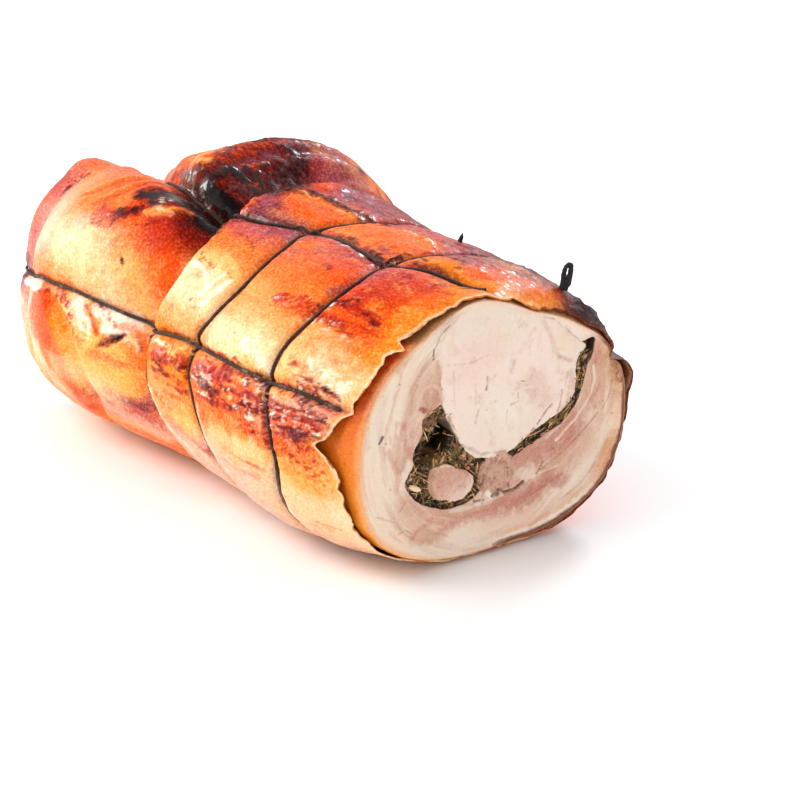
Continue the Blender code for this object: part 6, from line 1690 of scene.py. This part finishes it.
        canvas.blend(ramp(0.5, 1.2, flecks) * (0.08 + 0.12 * right), Tone.PINK)
        canvas.blend(ramp(0.5, 1.2, -flecks) * 0.18, Tone.FAT)
        canvas.blend(ramp(0.2, 1.0, canvas.middle) * 0.22, Tone.LEAN)
        canvas.blend(ramp(0.62, 0.95, flecks) * ramp(0.1, 0.7, canvas.middle) * 0.35, Tone.PINK)
        canvas.lay(*marks)
        face = np.zeros(points.shape[0])
        face[:rings + 1] = 1.0
        # the side that runs back is painted darker as shade
        canvas.colour[rings + 1:] *= 0.35
        rough = 0.12 * strands + (0.10 + 0.5 * swell) * flecks + 0.35 * canvas.broad
        points[..., 0] += face[:, None] * (rough + canvas.raised + swell * (0.6 + canvas.middle))
        canvas.shine = np.full_like(canvas.a, 0.4)
        return Mesher.painted(name, points, canvas)

    def build_loin(self) -> bpy.types.Object:
        """The large pale muscle."""
        base = (Zone(0, 100, 40, 40, Tone.LOIN), Zone(14, 76, 18, 10, Tone.IVORY),
                Zone(50, 86, 14, 18, Tone.LOIN), Zone(10, 130, 30, 10, Tone.IVORY),
                Zone(58, 108, 7, 12, Tone.IVORY, 1.4))
        return self.slab("loin_cut", self.layout.loin, (19.0, 97.0), LOIN_MARKS, base, 60, 400)

    def build_fillet(self) -> bpy.types.Object:
        """The small muscle among the herbs."""
        base = (Zone(-19, 47, 12, 12, Tone.LEAN), Zone(-12, 40, 10, 8, Tone.LOIN))
        return self.slab("fillet_cut", self.layout.fillet, (-19.5, 47.5), FILLET_MARKS, base, 30, 200, 0.25)

    def build_chunk(self) -> bpy.types.Object:
        """Torn, mottled meat right of the fillet, part of the belly."""
        base = (Zone(10, 47, 14, 14, Tone.LEAN),)
        return self.slab("chunk", self.layout.chunk, (10.5, 47.0), CHUNK_MARKS, base, 24, 160, 0.7)


@dataclass
class HerbFilling:
    """Dark herb filling in the hollow and the seam, with loose bits on it."""

    layout: CutLayout
    hollow_spine: tuple = ((-24.5, 77.0), (-27.0, 71.0), (-31.0, 67.5), (-38.0, 67.0))
    hollow_deep: float = 13.0
    pocket_middle: tuple = (-26.0, 60.0)
    pocket_count: int = 260
    pocket_rings: int = 60
    pocket_deep: float = 18.0
    pocket_setback: float = 1.6
    tuck: float = 2.2
    seam_count: int = 170
    seam_rows: int = 27
    seam_deep: float = 16.0
    seam_setback: float = 1.4
    seam_tuck: float = 1.2

    def hollow_depth(self, y: np.ndarray, z: np.ndarray) -> np.ndarray:
        """Depth of the open hollow left of the loin, mm."""
        gap, _ = chain_distance(y, z, np.array(self.hollow_spine))
        return self.hollow_deep * ramp(7.5, 4.0, gap)

    def paste(self, canvas: Canvas, depth: np.ndarray) -> None:
        """Paint wet chopped herbs: dark with olive and tan on top, and painted near black low down as the
        shade of the hollow.
        """
        canvas.colour[:] = Tone.HERB.linear
        canvas.blend(ramp(0.0, 0.9, canvas.fine) * 0.6, Tone.OLIVE)
        canvas.blend(ramp(0.2, 1.0, canvas.middle) * 0.55, Tone.SHADE)
        canvas.blend(ramp(0.3, 0.9, canvas.middle) * ramp(0.0, 0.6, canvas.fine) * 0.75, Tone.TAN)
        canvas.blend(ramp(0.4, 1.1, -canvas.fine) * 0.7, Tone.SOOT)
        # deep in the hollow the herbs are painted near black as shade
        canvas.blend(ramp(3.5, 7.0, depth) * 0.9, Tone.SOOT)

    def build_pocket(self) -> bpy.types.Object:
        """Filling in the hollow, deep where it is open."""
        outline = self.layout.smooth(self.layout.pocket, self.pocket_count)
        centre = np.array(self.pocket_middle)
        outline = centre + (outline - centre) * (1.0 + self.tuck / np.hypot(*(outline - centre).T))[:, None]
        rows = []
        for k in range(self.pocket_rings + 1):
            spot = centre + (outline - centre) * (k / self.pocket_rings)
            rows.append(np.column_stack([self.layout.plane(spot[:, 0]) - self.pocket_setback, spot]))
        rows.append(rows[-1] - np.array((self.pocket_deep, 0.0, 0.0)))
        rows.append(np.tile((rows[-1][:, 0].mean(), *centre), (self.pocket_count, 1)))
        points = np.array(rows)
        canvas = Canvas(points[..., 1], points[..., 2], points)
        depth = self.hollow_depth(canvas.a, canvas.b) + 1.2 * ramp(-0.2, 0.8, canvas.middle)
        self.paste(canvas, depth)
        canvas.lay(
            speckled(0.8, Tone.SHADE, 4.5, ((-36, 83), (-31, 85), (-25, 84)), 0.9, 0.8, 0.8, 1.4),
            speckled(0.6, Tone.RUST, 2.4, ((-36, 84), (-30, 86)), 0.5, 1.0, 1.0),
            Mark(Tone.CREAM, 0.6, ((-38, 87), (-31, 89.5), (-25, 90)), 0.8, 0.8, 0.5, 0.8),
            Mark(Tone.TAN, 0.9, ((-39, 81), (-33, 80), (-29, 78), (-25, 81)), 0.85, 0.8, 0.7, 1.2),
            Mark(Tone.SHADE, 3.0, ((-36, 61), (-30, 61.5), (-25, 62)), 0.75, 1.0, 0.8, 0.6),
            speckled(0.6, Tone.TAN, 2.6, ((-16, 66), (-12, 62), (-7, 58)), 0.6, 1.0, 1.0, 1.0),
            streaked(0.6, Tone.OLIVE, 2.2, ((-47, 58), (-42, 59), (-37, 57)), 0.7, 1.0, 0.9, 0.8),
            Mark(Tone.LEAN, 2.0, ((0, 50), (2, 46)), 0.5, 1.0, 0.8, 0.6))
        face = np.zeros(points.shape[0])
        face[:self.pocket_rings + 1] = 1.0
        rough = 0.9 * canvas.middle + 0.8 * canvas.fine
        points[..., 0] += face[:, None] * (rough + canvas.raised - depth)
        return Mesher.painted("herb_pocket_fill", points, canvas)

    def build_seam(self) -> bpy.types.Object:
        """Filling in the seam under and beside the loin, with the open crack at its upper end."""
        spine = np.array(self.layout.seam, dtype=float)
        t = np.linspace(0, len(spine) - 1, self.seam_count)
        path = np.column_stack([np.interp(t, np.arange(len(spine)), spine[:, k]) for k in range(3)])
        along = np.gradient(path[:, :2], axis=0)
        along /= np.hypot(*along.T)[:, None]
        across = np.column_stack([-along[:, 1], along[:, 0]])
        rows = []
        for share in np.linspace(-1.0, 1.0, self.seam_rows):
            spot = path[:, :2] + across * (share * (path[:, 2] + self.seam_tuck))[:, None]
            rows.append(np.column_stack([self.layout.plane(spot[:, 0]) - self.seam_setback, spot]))
        rows.append(rows[-1] - np.array((self.seam_deep, 0.0, 0.0)))
        rows.append(rows[0] - np.array((self.seam_deep, 0.0, 0.0)))
        rows.append(rows[0])
        points = np.array(rows)
        canvas = Canvas(points[..., 1], points[..., 2], points)
        open_part = ramp(74.0, 82.0, canvas.b) * ramp(56.0, 62.0, canvas.a)
        depth = 0.8 * ramp(-0.2, 0.8, canvas.middle) + 4.5 * open_part
        self.paste(canvas, depth * (1 - 0.5 * open_part))
        # the open crack at the seam's upper end is painted in shade tones, darkest along one wall, as the
        # shade inside it
        canvas.blend(open_part * 0.95, Tone.SHADE)
        canvas.blend(open_part * 0.7 * ramp(-0.5, 0.6, canvas.middle), Tone.TAN)
        canvas.blend(open_part * 0.5 * ramp(0.4, 1.0, canvas.fine), Tone.BROWN)
        side = np.broadcast_to(np.linspace(-1.0, 1.0, len(rows))[:, None], canvas.a.shape)
        canvas.blend(open_part * 0.9 * ramp(0.0, 0.9, side + 0.3 * canvas.middle), Tone.HERB)
        canvas.lay(
            speckled(0.65, Tone.PINK, 2.4, ((20, 52), (24, 55)), 0.6, 1.0, 0.8, 0.8),
            Mark(Tone.SOOT, 0.8, ((72, 95), (75, 92)), 0.9, 1.0, 0.6))
        face = np.zeros(points.shape[0])
        face[:self.seam_rows] = 1.0
        points[..., 0] += face[:, None] * (0.8 * canvas.middle + 0.6 * canvas.fine + canvas.raised - depth)
        middles = points.mean(axis=0)
        points = np.swapaxes(points, 0, 1)
        tones, shine = np.swapaxes(canvas.colour, 0, 1), np.swapaxes(canvas.shine, 0, 1)
        first, last = (np.tile(middles[k], (1, points.shape[1], 1)) for k in (0, -1))
        points = np.concatenate([first, points, last])
        tones = np.concatenate([tones[:1], tones, tones[-1:]])
        shine = np.concatenate([shine[:1], shine, shine[-1:]])
        return Mesher.net("herb_seam_fill", points, True, {"tone": tones, "shine": shine[..., None]}, 50.0)


STRING_SHINE = 0.3


def spun(path: np.ndarray, outward: np.ndarray, closed: bool) -> tuple[np.ndarray, np.ndarray]:
    """Two directions across a path: outward and sideways, at right angles to it."""
    if closed:
        along = np.roll(path, -1, axis=0) - np.roll(path, 1, axis=0)
    else:
        along = np.gradient(path, axis=0)
    along /= np.linalg.norm(along, axis=1)[:, None]
    outward = outward - np.sum(outward * along, axis=1)[:, None] * along
    outward /= np.linalg.norm(outward, axis=1)[:, None]
    return outward, np.cross(along, outward)


def pipe(name: str, path: np.ndarray, outward: np.ndarray, radius: np.ndarray | float, closed: bool,
         sides: int, tone: np.ndarray | Tone) -> bpy.types.Object:
    """A round string along a path in mm, closed into a ring or capped at both ends.

    Args:
        name: Name of the piece.
        path: Places along the middle of the string.
        outward: A direction off the surface at each place.
        radius: Radius in mm, one or one per place.
        closed: Whether the string is a ring.
        sides: How many faces go round it.
        tone: Its colour, one or one per place.

    Returns:
        The object.
    """
    up, side = spun(path, outward, closed)
    radius = np.broadcast_to(radius, (len(path),))
    t = 2 * math.pi * np.arange(sides) / sides
    ring = np.cos(t)[None, :, None] * up[:, None, :] + np.sin(t)[None, :, None] * side[:, None, :]
    points = path[:, None, :] + radius[:, None, None] * ring
    tones = tone.linear[None] if isinstance(tone, Tone) else tone
    tones = np.broadcast_to(tones, (len(path), 3))
    if closed:
        points = np.concatenate([points, points[:1]])
        tones = np.concatenate([tones, tones[:1]])
    else:
        points = np.concatenate([np.tile(path[0], (1, sides, 1)), points, np.tile(path[-1], (1, sides, 1))])
        tones = np.concatenate([tones[:1], tones, tones[-1:]])
    colours = np.broadcast_to(tones[:, None, :], points.shape).copy()
    shine = np.full(points.shape[:2] + (1,), STRING_SHINE)
    return Mesher.net(name, points, True, {"tone": colours, "shine": shine}, 80.0)


@dataclass
class Twine:
    """Kitchen twine of three strands: loops round the roll, two lengths along it and burnt ends."""

    form: RollForm
    strand: float = 0.52
    spread: float = 0.50
    pitch: float = 6.0
    segment: float = 1.3
    lift: float = 1.25
    step: float = 2.6
    lowest: float = 1.6
    sides: int = 6
    run_from: float = 164.0
    run_count: int = 260
    cap_count: int = 40
    front_place: tuple = (155.0, 129.0)
    back_place: tuple = (88.0, 118.0)

    def lay(self, x: np.ndarray, angle: np.ndarray, fullness: np.ndarray, lift: np.ndarray) -> tuple:
        """Places of the string's middle and the direction off the skin."""
        spot = self.form.skin(x, angle, fullness)
        first = self.form.sections[0]
        height = smooth_steps(spot[:, 0], tuple((row[0], row[3]) for row in self.form.sections))
        middle = np.column_stack([np.maximum(spot[:, 0], first[0]), smooth_steps(spot[:, 0], tuple(
            (row[0], row[1]) for row in self.form.sections)), 0.48 * height])
        outward = spot - middle
        outward /= np.linalg.norm(outward, axis=1)[:, None]
        path = spot + outward * lift[:, None]
        path[:, 2] = np.maximum(path[:, 2], self.lowest)
        return path, outward

    def spot(self, x: float, angle: float, lift: float) -> tuple[np.ndarray, np.ndarray]:
        """One place lifted off the skin, and the direction off the skin there."""
        places, outward = self.lay(np.array([x]), np.array([angle]), np.ones(1), np.array([lift]))
        return places[0], outward[0]

    def even(self, path: np.ndarray, outward: np.ndarray, closed: bool) -> tuple:
        """Space the places evenly along the string."""
        if closed:
            path, outward = np.concatenate([path, path[:1]]), np.concatenate([outward, outward[:1]])
        walked = np.concatenate([[0.0], np.cumsum(np.linalg.norm(np.diff(path, axis=0), axis=1))])
        count = int(walked[-1] / self.segment)
        at = np.linspace(0.0, walked[-1], count, endpoint=not closed)
        return (np.column_stack([np.interp(at, walked, path[:, k]) for k in range(3)]),
                np.column_stack([np.interp(at, walked, outward[:, k]) for k in range(3)]), at, walked[-1])

    def rope(self, name: str, path: np.ndarray, outward: np.ndarray, closed: bool,
             tones: tuple) -> bpy.types.Object:
        """Twist three strands round a path."""
        path, outward, at, total = self.even(path, outward, closed)
        turns = max(1, round(total / self.pitch)) / total
        up, side = spun(path, outward, closed)
        low = ramp(70.0, 20.0, path[:, 2])[:, None]
        wear = Noise(81).cloud(path, 9.0, 3)
        fleck = ramp(0.35, 0.9, Noise(83).cloud(path, 2.2, 2))[:, None]
        strands = []
        for k in range(3):
            phase = 2 * math.pi * (at * turns + k / 3.0)
            reach = self.spread * (1.0 + 0.12 * Noise(85 + k).cloud(path, 5.0, 2))
            middle = path + reach[:, None] * (np.cos(phase)[:, None] * up + np.sin(phase)[:, None] * side)
            colour = tones[0].linear * (1 - low) + tones[1].linear * low
            colour = colour * (1.0 + 0.35 * wear[:, None] + 0.2 * (k - 1))
            colour = colour * (1 - fleck * 0.7) + tones[2].linear * fleck * 0.7
            radius = self.strand * (1.0 + 0.1 * Noise(89 + k).cloud(path, 4.0, 2))
            colour = np.clip(colour, 0.0, 1.0)
            strands.append(pipe(f"{name}_{k}", middle, outward, radius, closed, self.sides, colour))
        return Mesher.join(name, strands)

    def loop(self, name: str, table: tuple, knots: tuple, tones: tuple) -> bpy.types.Object:
        """One tying loop with its knots, each given by an angle and a size."""
        angle = np.linspace(UNDER, UNDER + FULL_TURN, 720, endpoint=False)
        x = around(angle, table)
        path, outward = self.lay(x, angle, np.ones_like(angle), np.full_like(angle, self.lift))
        made = self.rope(name, path, outward, True, tones)
        parts = [made]
        for at, size in knots:
            parts.append(self.knot(f"{name}_knot_{at}", float(around(at, table)), at, size))
        return Mesher.join(name, parts)

    def knot(self, name: str, x: float, angle: float, size: float) -> bpy.types.Object:
        """A small knot: the string wound twice round itself."""
        t = np.linspace(0.0, 1.0, 60)
        middle, outward = self.spot(x, angle, self.lift + 0.4)
        lean = np.array([0.5, 0.0, 0.86]) if abs(turn(angle, 90.0)) > 45 else np.array([0.5, 0.86, 0.0])
        side = np.cross(outward, lean)
        wind = 2 * math.pi * 2.4 * t
        radius = size * (1.0 + 0.15 * np.sin(wind * 0.37 + x))
        path = (middle + (t - 0.5)[:, None] * size * 2.2 * lean
                + (radius * np.cos(wind))[:, None] * outward + (radius * np.sin(wind))[:, None] * side)
        wear = Noise(91).cloud(path, 3.0, 2)[:, None]
        colour = Tone.TAN.linear * (0.6 + 0.4 * wear) + Tone.BROWN.linear * (0.4 - 0.4 * wear)
        return pipe(name, path, np.tile(outward, (len(t), 1)) + 0.01, self.strand * 1.05, False, self.sides,
                    np.clip(colour, 0.0, 1.0))

    def crossings(self, angles: Callable) -> list:
        """Stations where a lengthwise string crosses the three loops."""
        found = []
        for table in (self.form.loop_far, self.form.loop_middle, self.form.loop_front):
            x = 0.0
            for _ in range(5):
                x = float(around(angles(np.array([x]))[0], table))
            found.append(x)
        return found

    def lengthwise(self, name: str, angle_of: Callable, angle_back: Callable, over_pole: bool,
                   tones: tuple) -> bpy.types.Object:
        """A string laid along the roll, round the closed end and back along the other side.

        Args:
            name: Name of the piece.
            angle_of: Angle of the string at a station, on the way to the closed end.
            angle_back: The same on the way back.
            over_pole: Whether it lies over the other string at the middle of the closed end.
            tones: Colours high up, low down and of its flecks.

        Returns:
            The object.
        """
        halves = []
        first = self.form.sections[0][0]
        for angle_at in (angle_of, angle_back):
            x = np.linspace(self.run_from, first, self.run_count)
            near = np.min([np.abs(x - at) for at in self.crossings(angle_at)], axis=0)
            lift = self.lift + self.step * ramp(9.0, 3.5, near)
            phi = 0.5 * math.pi * np.linspace(0.98, 0.04, self.cap_count)
            cap_x = first - self.form.cap_length * np.cos(phi)
            rise = self.step * ramp(9.0, 3.5, 60.0 * phi) if over_pole else 0.0 * phi
            at = np.concatenate([angle_at(x), angle_at(np.full(self.cap_count, float(first)))])
            full = np.concatenate([np.ones(self.run_count), np.sin(phi) ** self.form.cap_roundness])
            lifts = np.concatenate([lift, self.lift + rise])
            halves.append(self.lay(np.concatenate([x, cap_x]), at, full, lifts))
        path = np.concatenate([halves[0][0], halves[1][0][::-1]])
        outward = np.concatenate([halves[0][1], halves[1][1][::-1]])
        return self.rope(name, path, outward, False, tones)

    def build(self) -> dict:
        """Make every string, by the node that it stands for."""
        dark = (Tone.BURNT, Tone.TAUPE, Tone.BROWN)
        grey = (Tone.BURNT, Tone.BROWN, Tone.TAUPE)
        form, made = self.form, {}
        for place_name, table, knots in (("far", form.loop_far, ((8.0, 1.9), (66.0, 1.3))),
                                         ("middle", form.loop_middle, ((16.0, 1.2),)),
                                         ("front", form.loop_front, ((15.0, 1.8), (84.0, 1.3)))):
            made[f"twine_loop_{place_name}"] = self.loop(f"loop_{place_name}_twine", table, knots, dark)
        made["twine_sides"] = self.lengthwise(
            "side_twine", lambda x: smooth_steps(x, form.twine_side),
            lambda x: 180.0 - smooth_steps(x, form.twine_side), False, grey)
        made["twine_top"] = self.lengthwise(
            "top_twine", lambda x: smooth_steps(x, form.twine_top),
            lambda x: np.full_like(x, UNDER), True, dark)
        made["twine_end_front"] = self.front_end()
        made["twine_end_back"] = self.back_end()
        return made

    def front_end(self) -> bpy.types.Object:
        """Burnt end of the front loop: a tall loop of charred string."""
        base, _ = self.spot(*self.front_place, 0.6)
        t = np.linspace(0.0, 1.0, 34)
        wide = 3.0 * np.sin(math.pi * t) ** 0.6 * np.cos(math.pi * t)
        tall = 14.5 * np.sin(math.pi * t) ** 0.85
        path = base + np.outer(wide, (0.55, 0.8, 0.0)) + np.outer(tall, (0.1, 0.13, 0.98))
        thick = (1.5 + 0.5 * ramp(9.0, 3.0, tall)) * (1.0 + 0.3 * Noise(93).cloud(path, 2.0, 3))
        facing = np.tile((0.9, -0.4, 0.1), (len(t), 1))
        return pipe("end_front_twine", path, facing, thick, False, self.sides + 2, Tone.CHAR)

    def back_end(self) -> bpy.types.Object:
        """Burnt stub beside the front loop."""
        base, _ = self.spot(*self.back_place, 0.2)
        t = np.linspace(0.0, 1.0, 14)
        path = base + np.outer(5.2 * t, (0.18, 0.25, 0.95)) + np.outer(np.sin(3 * t), (0.3, -0.2, 0.0))
        thick = np.interp(t, (0.0, 0.55, 0.8, 1.0), (1.5, 1.2, 0.6, 0.2))
        facing = np.tile((0.9, -0.4, 0.1), (len(t), 1))
        return pipe("end_back_twine", path, facing, thick, False, self.sides + 2, Tone.CHAR)


@dataclass
class Scatter:
    """Loose bits that stick out of the filling: needles, stalks, seeds and flakes."""

    layout: CutLayout
    seed: int = 12
    needle_count: int = 520
    crumb_count: int = 330
    needle_tones: tuple = (Tone.OLIVE, Tone.HERB, Tone.OLIVE, Tone.SHADE, Tone.TAN, Tone.SOOT, Tone.SHADE,
                           Tone.BUTTER)
    crumb_tones: tuple = (Tone.TAN, Tone.SHADE, Tone.LEAN, Tone.BROWN, Tone.SOOT, Tone.RUST)
    stalks: tuple = (
        ((-27, 63), (-16, 67), 0.55, Tone.BLUSH, 5.0), ((-43, 59), (-35, 54), 0.7, Tone.SHADE, 0.8),
        ((4, 44), (-4, 40), 0.5, Tone.OLIVE, 0.2), ((-48, 52), (-40, 48), 1.6, Tone.CREAM, 0.4),
        ((-49, 56), (-44, 62), 0.5, Tone.HERB, 0.6), ((30, 61), (44, 64), 0.45, Tone.TAN, 0.2),
        ((56, 68), (62, 74), 0.4, Tone.TAN, 0.3), ((24, 56), (29, 60), 0.4, Tone.OLIVE, 0.2))

    def needle(self, spot: np.ndarray, aim: np.ndarray, length: float, thick: float, bend: float,
               sides: int, tone: Tone) -> bpy.types.Object:
        """One curved leaf or stalk from its middle, a direction, a length and a thickness."""
        t = np.linspace(-0.5, 0.5, 5)
        side = np.cross(aim, (0.3, 0.5, 0.81))
        path = spot + np.outer(t * length, aim) + np.outer(bend * length * (0.25 - t * t), side)
        width = thick * np.sqrt(np.clip(1.0 - (2.0 * np.abs(t)) ** 2.5, 0.08, 1.0))
        return pipe("bit", path, np.tile(side, (5, 1)), width, False, sides, tone)

    def along_seam(self, rng: np.random.Generator) -> tuple[np.ndarray, np.ndarray]:
        """A place in the seam and the direction of the seam there."""
        spine = np.array(self.layout.seam)
        at = rng.uniform(0.4, len(spine) - 2.2)
        k = int(at)
        spot = spine[k] + (spine[k + 1] - spine[k]) * (at - k)
        way = spine[k + 1, :2] - spine[k, :2]
        way /= np.hypot(*way)
        off = rng.uniform(-0.85, 0.85) * spot[2]
        return spot[:2] + off * np.array((-way[1], way[0])), way

    def in_pocket(self, rng: np.random.Generator) -> tuple[np.ndarray, np.ndarray]:
        """A place on the floor of the hollow and a direction."""
        while True:
            spot = np.array((rng.uniform(-50, 3), rng.uniform(33, 90)))
            y, z = spot[:1], spot[1:]
            hollow = math.hypot(spot[0] + 29.0, spot[1] - 70.0) < 8.0 and rng.uniform() < 0.85
            if (not hollow and self.layout.outside_of(self.layout.pocket, y, z)[0] < -1.0
                    and self.layout.outside_of(self.layout.fillet, y, z)[0] > 0.5
                    and self.layout.outside_of(self.layout.loin, y, z)[0] > 0.5):
                lean = rng.uniform(0, math.pi)
                return spot, np.array((math.cos(lean), math.sin(lean)))

    def build(self, filling: HerbFilling) -> list:
        """Make one joined piece of each kind."""
        rng = np.random.default_rng(self.seed)
        needles, crumbs = [], []
        for k in range(self.needle_count):
            place_in = self.along_seam if k % 5 < 3 else self.in_pocket
            spot, way = place_in(rng)
            depth = filling.hollow_depth(spot[:1], spot[1:])[0] + rng.uniform(-0.4, 1.6)
            lean = rng.normal(0.0, 0.55)
            way = np.array((way[0] * math.cos(lean) - way[1] * math.sin(lean),
                            way[0] * math.sin(lean) + way[1] * math.cos(lean)))
            aim = np.array((rng.normal(0.0, 0.22), *way))
            aim /= np.linalg.norm(aim)
            middle = np.array((self.layout.plane(spot[0]) - 0.4 - depth, *spot))
            tone = self.needle_tones[int(rng.integers(len(self.needle_tones)))]
            needles.append(self.needle(middle, aim, rng.uniform(3.0, 9.5), rng.uniform(0.22, 0.42),
                                       rng.uniform(-0.5, 0.5), 5, tone))
        for k in range(self.crumb_count):
            place_in = self.along_seam if k % 2 else self.in_pocket
            spot, way = place_in(rng)
            depth = filling.hollow_depth(spot[:1], spot[1:])[0] + rng.uniform(0.0, 2.0)
            middle = np.array((self.layout.plane(spot[0]) - 0.8 - depth, *spot))
            aim = rng.normal(0.0, 1.0, 3)
            aim /= np.linalg.norm(aim)
            crumbs.append(self.needle(middle, aim, rng.uniform(1.0, 3.4), rng.uniform(0.5, 1.2),
                                      0.1, 6, self.crumb_tones[int(rng.integers(len(self.crumb_tones)))]))
        stalks = [self.stalk(*row) for row in self.stalks]
        return [Mesher.join("herb_needles", needles), Mesher.join("herb_crumbs", crumbs),
                Mesher.join("herb_stalks", stalks)]

    def stalk(self, start: tuple, end: tuple, thick: float, tone: Tone, depth: float) -> bpy.types.Object:
        """One larger stalk or sliver between two places on the cut."""
        spots = np.array((start, end), dtype=float)
        middle, way = spots.mean(axis=0), spots[1] - spots[0]
        length = float(np.hypot(*way))
        aim = np.array((0.04, *(way / length)))
        spot = np.array((self.layout.plane(middle[0]) - depth, *middle))
        return self.needle(spot, aim, length, thick, 0.25, 8, tone)


@dataclass
class Studio:
    """Floor, light and camera."""

    azimuth: float = 54.5
    elevation: float = 19.5
    distance: float = 1.4
    lens: float = 108.62
    aim_right: float = 0.059
    aim_up: float = -0.039
    aim_height: float = 0.080
    sensor_width: float = 36.0
    floor_reach: float = 6.0
    floor_tone: tuple = (0.93, 0.93, 0.93, 1.0)
    floor_roughness: float = 0.6
    room_strength: float = 0.80
    lamps: tuple = (("window_light", (-0.2, -1.1, 1.3), 0.8, 13.0, (1.0, 0.98, 0.95)),
                    ("side_light", (-1.15, -0.65, 0.5), 0.7, 12.0, (1.0, 0.97, 0.95)),
                    ("back_light", (-0.5, 1.2, 0.9), 0.5, 12.0, (0.88, 0.93, 1.0)))

    def light(self, name: str, spot: tuple, size: float, power: float, colour: tuple) -> None:
        """One large soft lamp that faces the roast."""
        data = bpy.data.lights.new(name, "AREA")
        data.shape, data.size, data.energy, data.color = "DISK", size, power, colour
        lamp = bpy.data.objects.new(name, data)
        lamp.location = spot
        facing = Vector((0.0, 0.0, self.aim_height)) - Vector(spot)
        lamp.rotation_euler = facing.to_track_quat("-Z", "Y").to_euler()
        bpy.context.scene.collection.objects.link(lamp)

    def floor(self) -> bpy.types.Object:
        """A wide plain pale floor."""
        bm = bmesh.new()
        bmesh.ops.create_grid(bm, x_segments=1, y_segments=1, size=self.floor_reach)
        mesh = bpy.data.meshes.new("floor")
        bm.to_mesh(mesh)
        bm.free()
        material = bpy.data.materials.new("floor_paint")
        material.use_nodes = True
        shader = material.node_tree.nodes["Principled BSDF"]
        shader.inputs["Base Color"].default_value = self.floor_tone
        shader.inputs["Roughness"].default_value = self.floor_roughness
        mesh.materials.append(material)
        floor = bpy.data.objects.new("floor", mesh)
        bpy.context.scene.collection.objects.link(floor)
        return floor

    def build(self) -> None:
        """Set the floor, the lamps, the surroundings and the camera."""
        self.floor()
        world = bpy.data.worlds.new("bright_room")
        world.use_nodes = True
        air = world.node_tree.nodes["Background"]
        air.inputs["Color"].default_value = (1.0, 1.0, 1.0, 1.0)
        air.inputs["Strength"].default_value = self.room_strength
        bpy.context.scene.world = world
        for lamp in self.lamps:
            self.light(*lamp)
        a, e = math.radians(self.azimuth), math.radians(self.elevation)
        back = Vector((math.sin(a) * math.cos(e), -math.cos(a) * math.cos(e), math.sin(e)))
        right = Vector((math.cos(a), math.sin(a), 0.0))
        up = back.cross(right)
        target = Vector((0.0, 0.0, self.aim_height)) + right * self.aim_right + up * self.aim_up
        target -= Vector(ORIGIN) * MM
        data = bpy.data.cameras.new("view")
        data.lens, data.sensor_width = self.lens, self.sensor_width
        camera = bpy.data.objects.new("view", data)
        camera.matrix_world = Matrix.Translation(target + back * self.distance) @ Matrix(
            (right, up, back)).transposed().to_4x4()
        bpy.context.scene.collection.objects.link(camera)
        bpy.context.scene.camera = camera
        bpy.context.scene.view_settings.view_transform = "Standard"


def dress(piece: bpy.types.Object, material: bpy.types.Material, slot: str, *nodes: str) -> None:
    """Give a piece its material, its place in the frame and the nodes that it stands for."""
    piece.data.materials.clear()
    piece.data.materials.append(material)
    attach(piece, "root")
    if nodes:
        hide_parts(*nodes)
    LOG.info("%s: %d faces", piece.name, len(piece.data.polygons))


def main() -> None:
    """Build the roast, its twine and the studio."""
    logging.basicConfig(level=logging.INFO, format="%(name)s: %(message)s")
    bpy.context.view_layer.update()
    form, layout = RollForm(), CutLayout()
    grain = grain_group()
    crackled, cut, wet, string = (finish.build(grain) for finish in FINISHES)
    dress(Rind(form).build(), crackled, "rind", "belly_roll")
    meat = CutMeat(form, layout)
    dress(Mesher.join("belly_cut", [meat.build_belly(), meat.build_chunk()]), cut, "meat", "belly_roll")
    dress(meat.build_loin(), cut, "meat", "loin")
    dress(meat.build_fillet(), cut, "meat", "fillet")
    filling = HerbFilling(layout)
    dress(filling.build_pocket(), wet, "herbs", "herb_pocket")
    dress(filling.build_seam(), wet, "herbs", "herb_seam")
    for piece in Scatter(layout).build(filling):
        dress(piece, wet, "herbs")
    for node, piece in Twine(form).build().items():
        dress(piece, string, "twine", node)
    Studio().build()


if __name__ == "__main__":
    main()
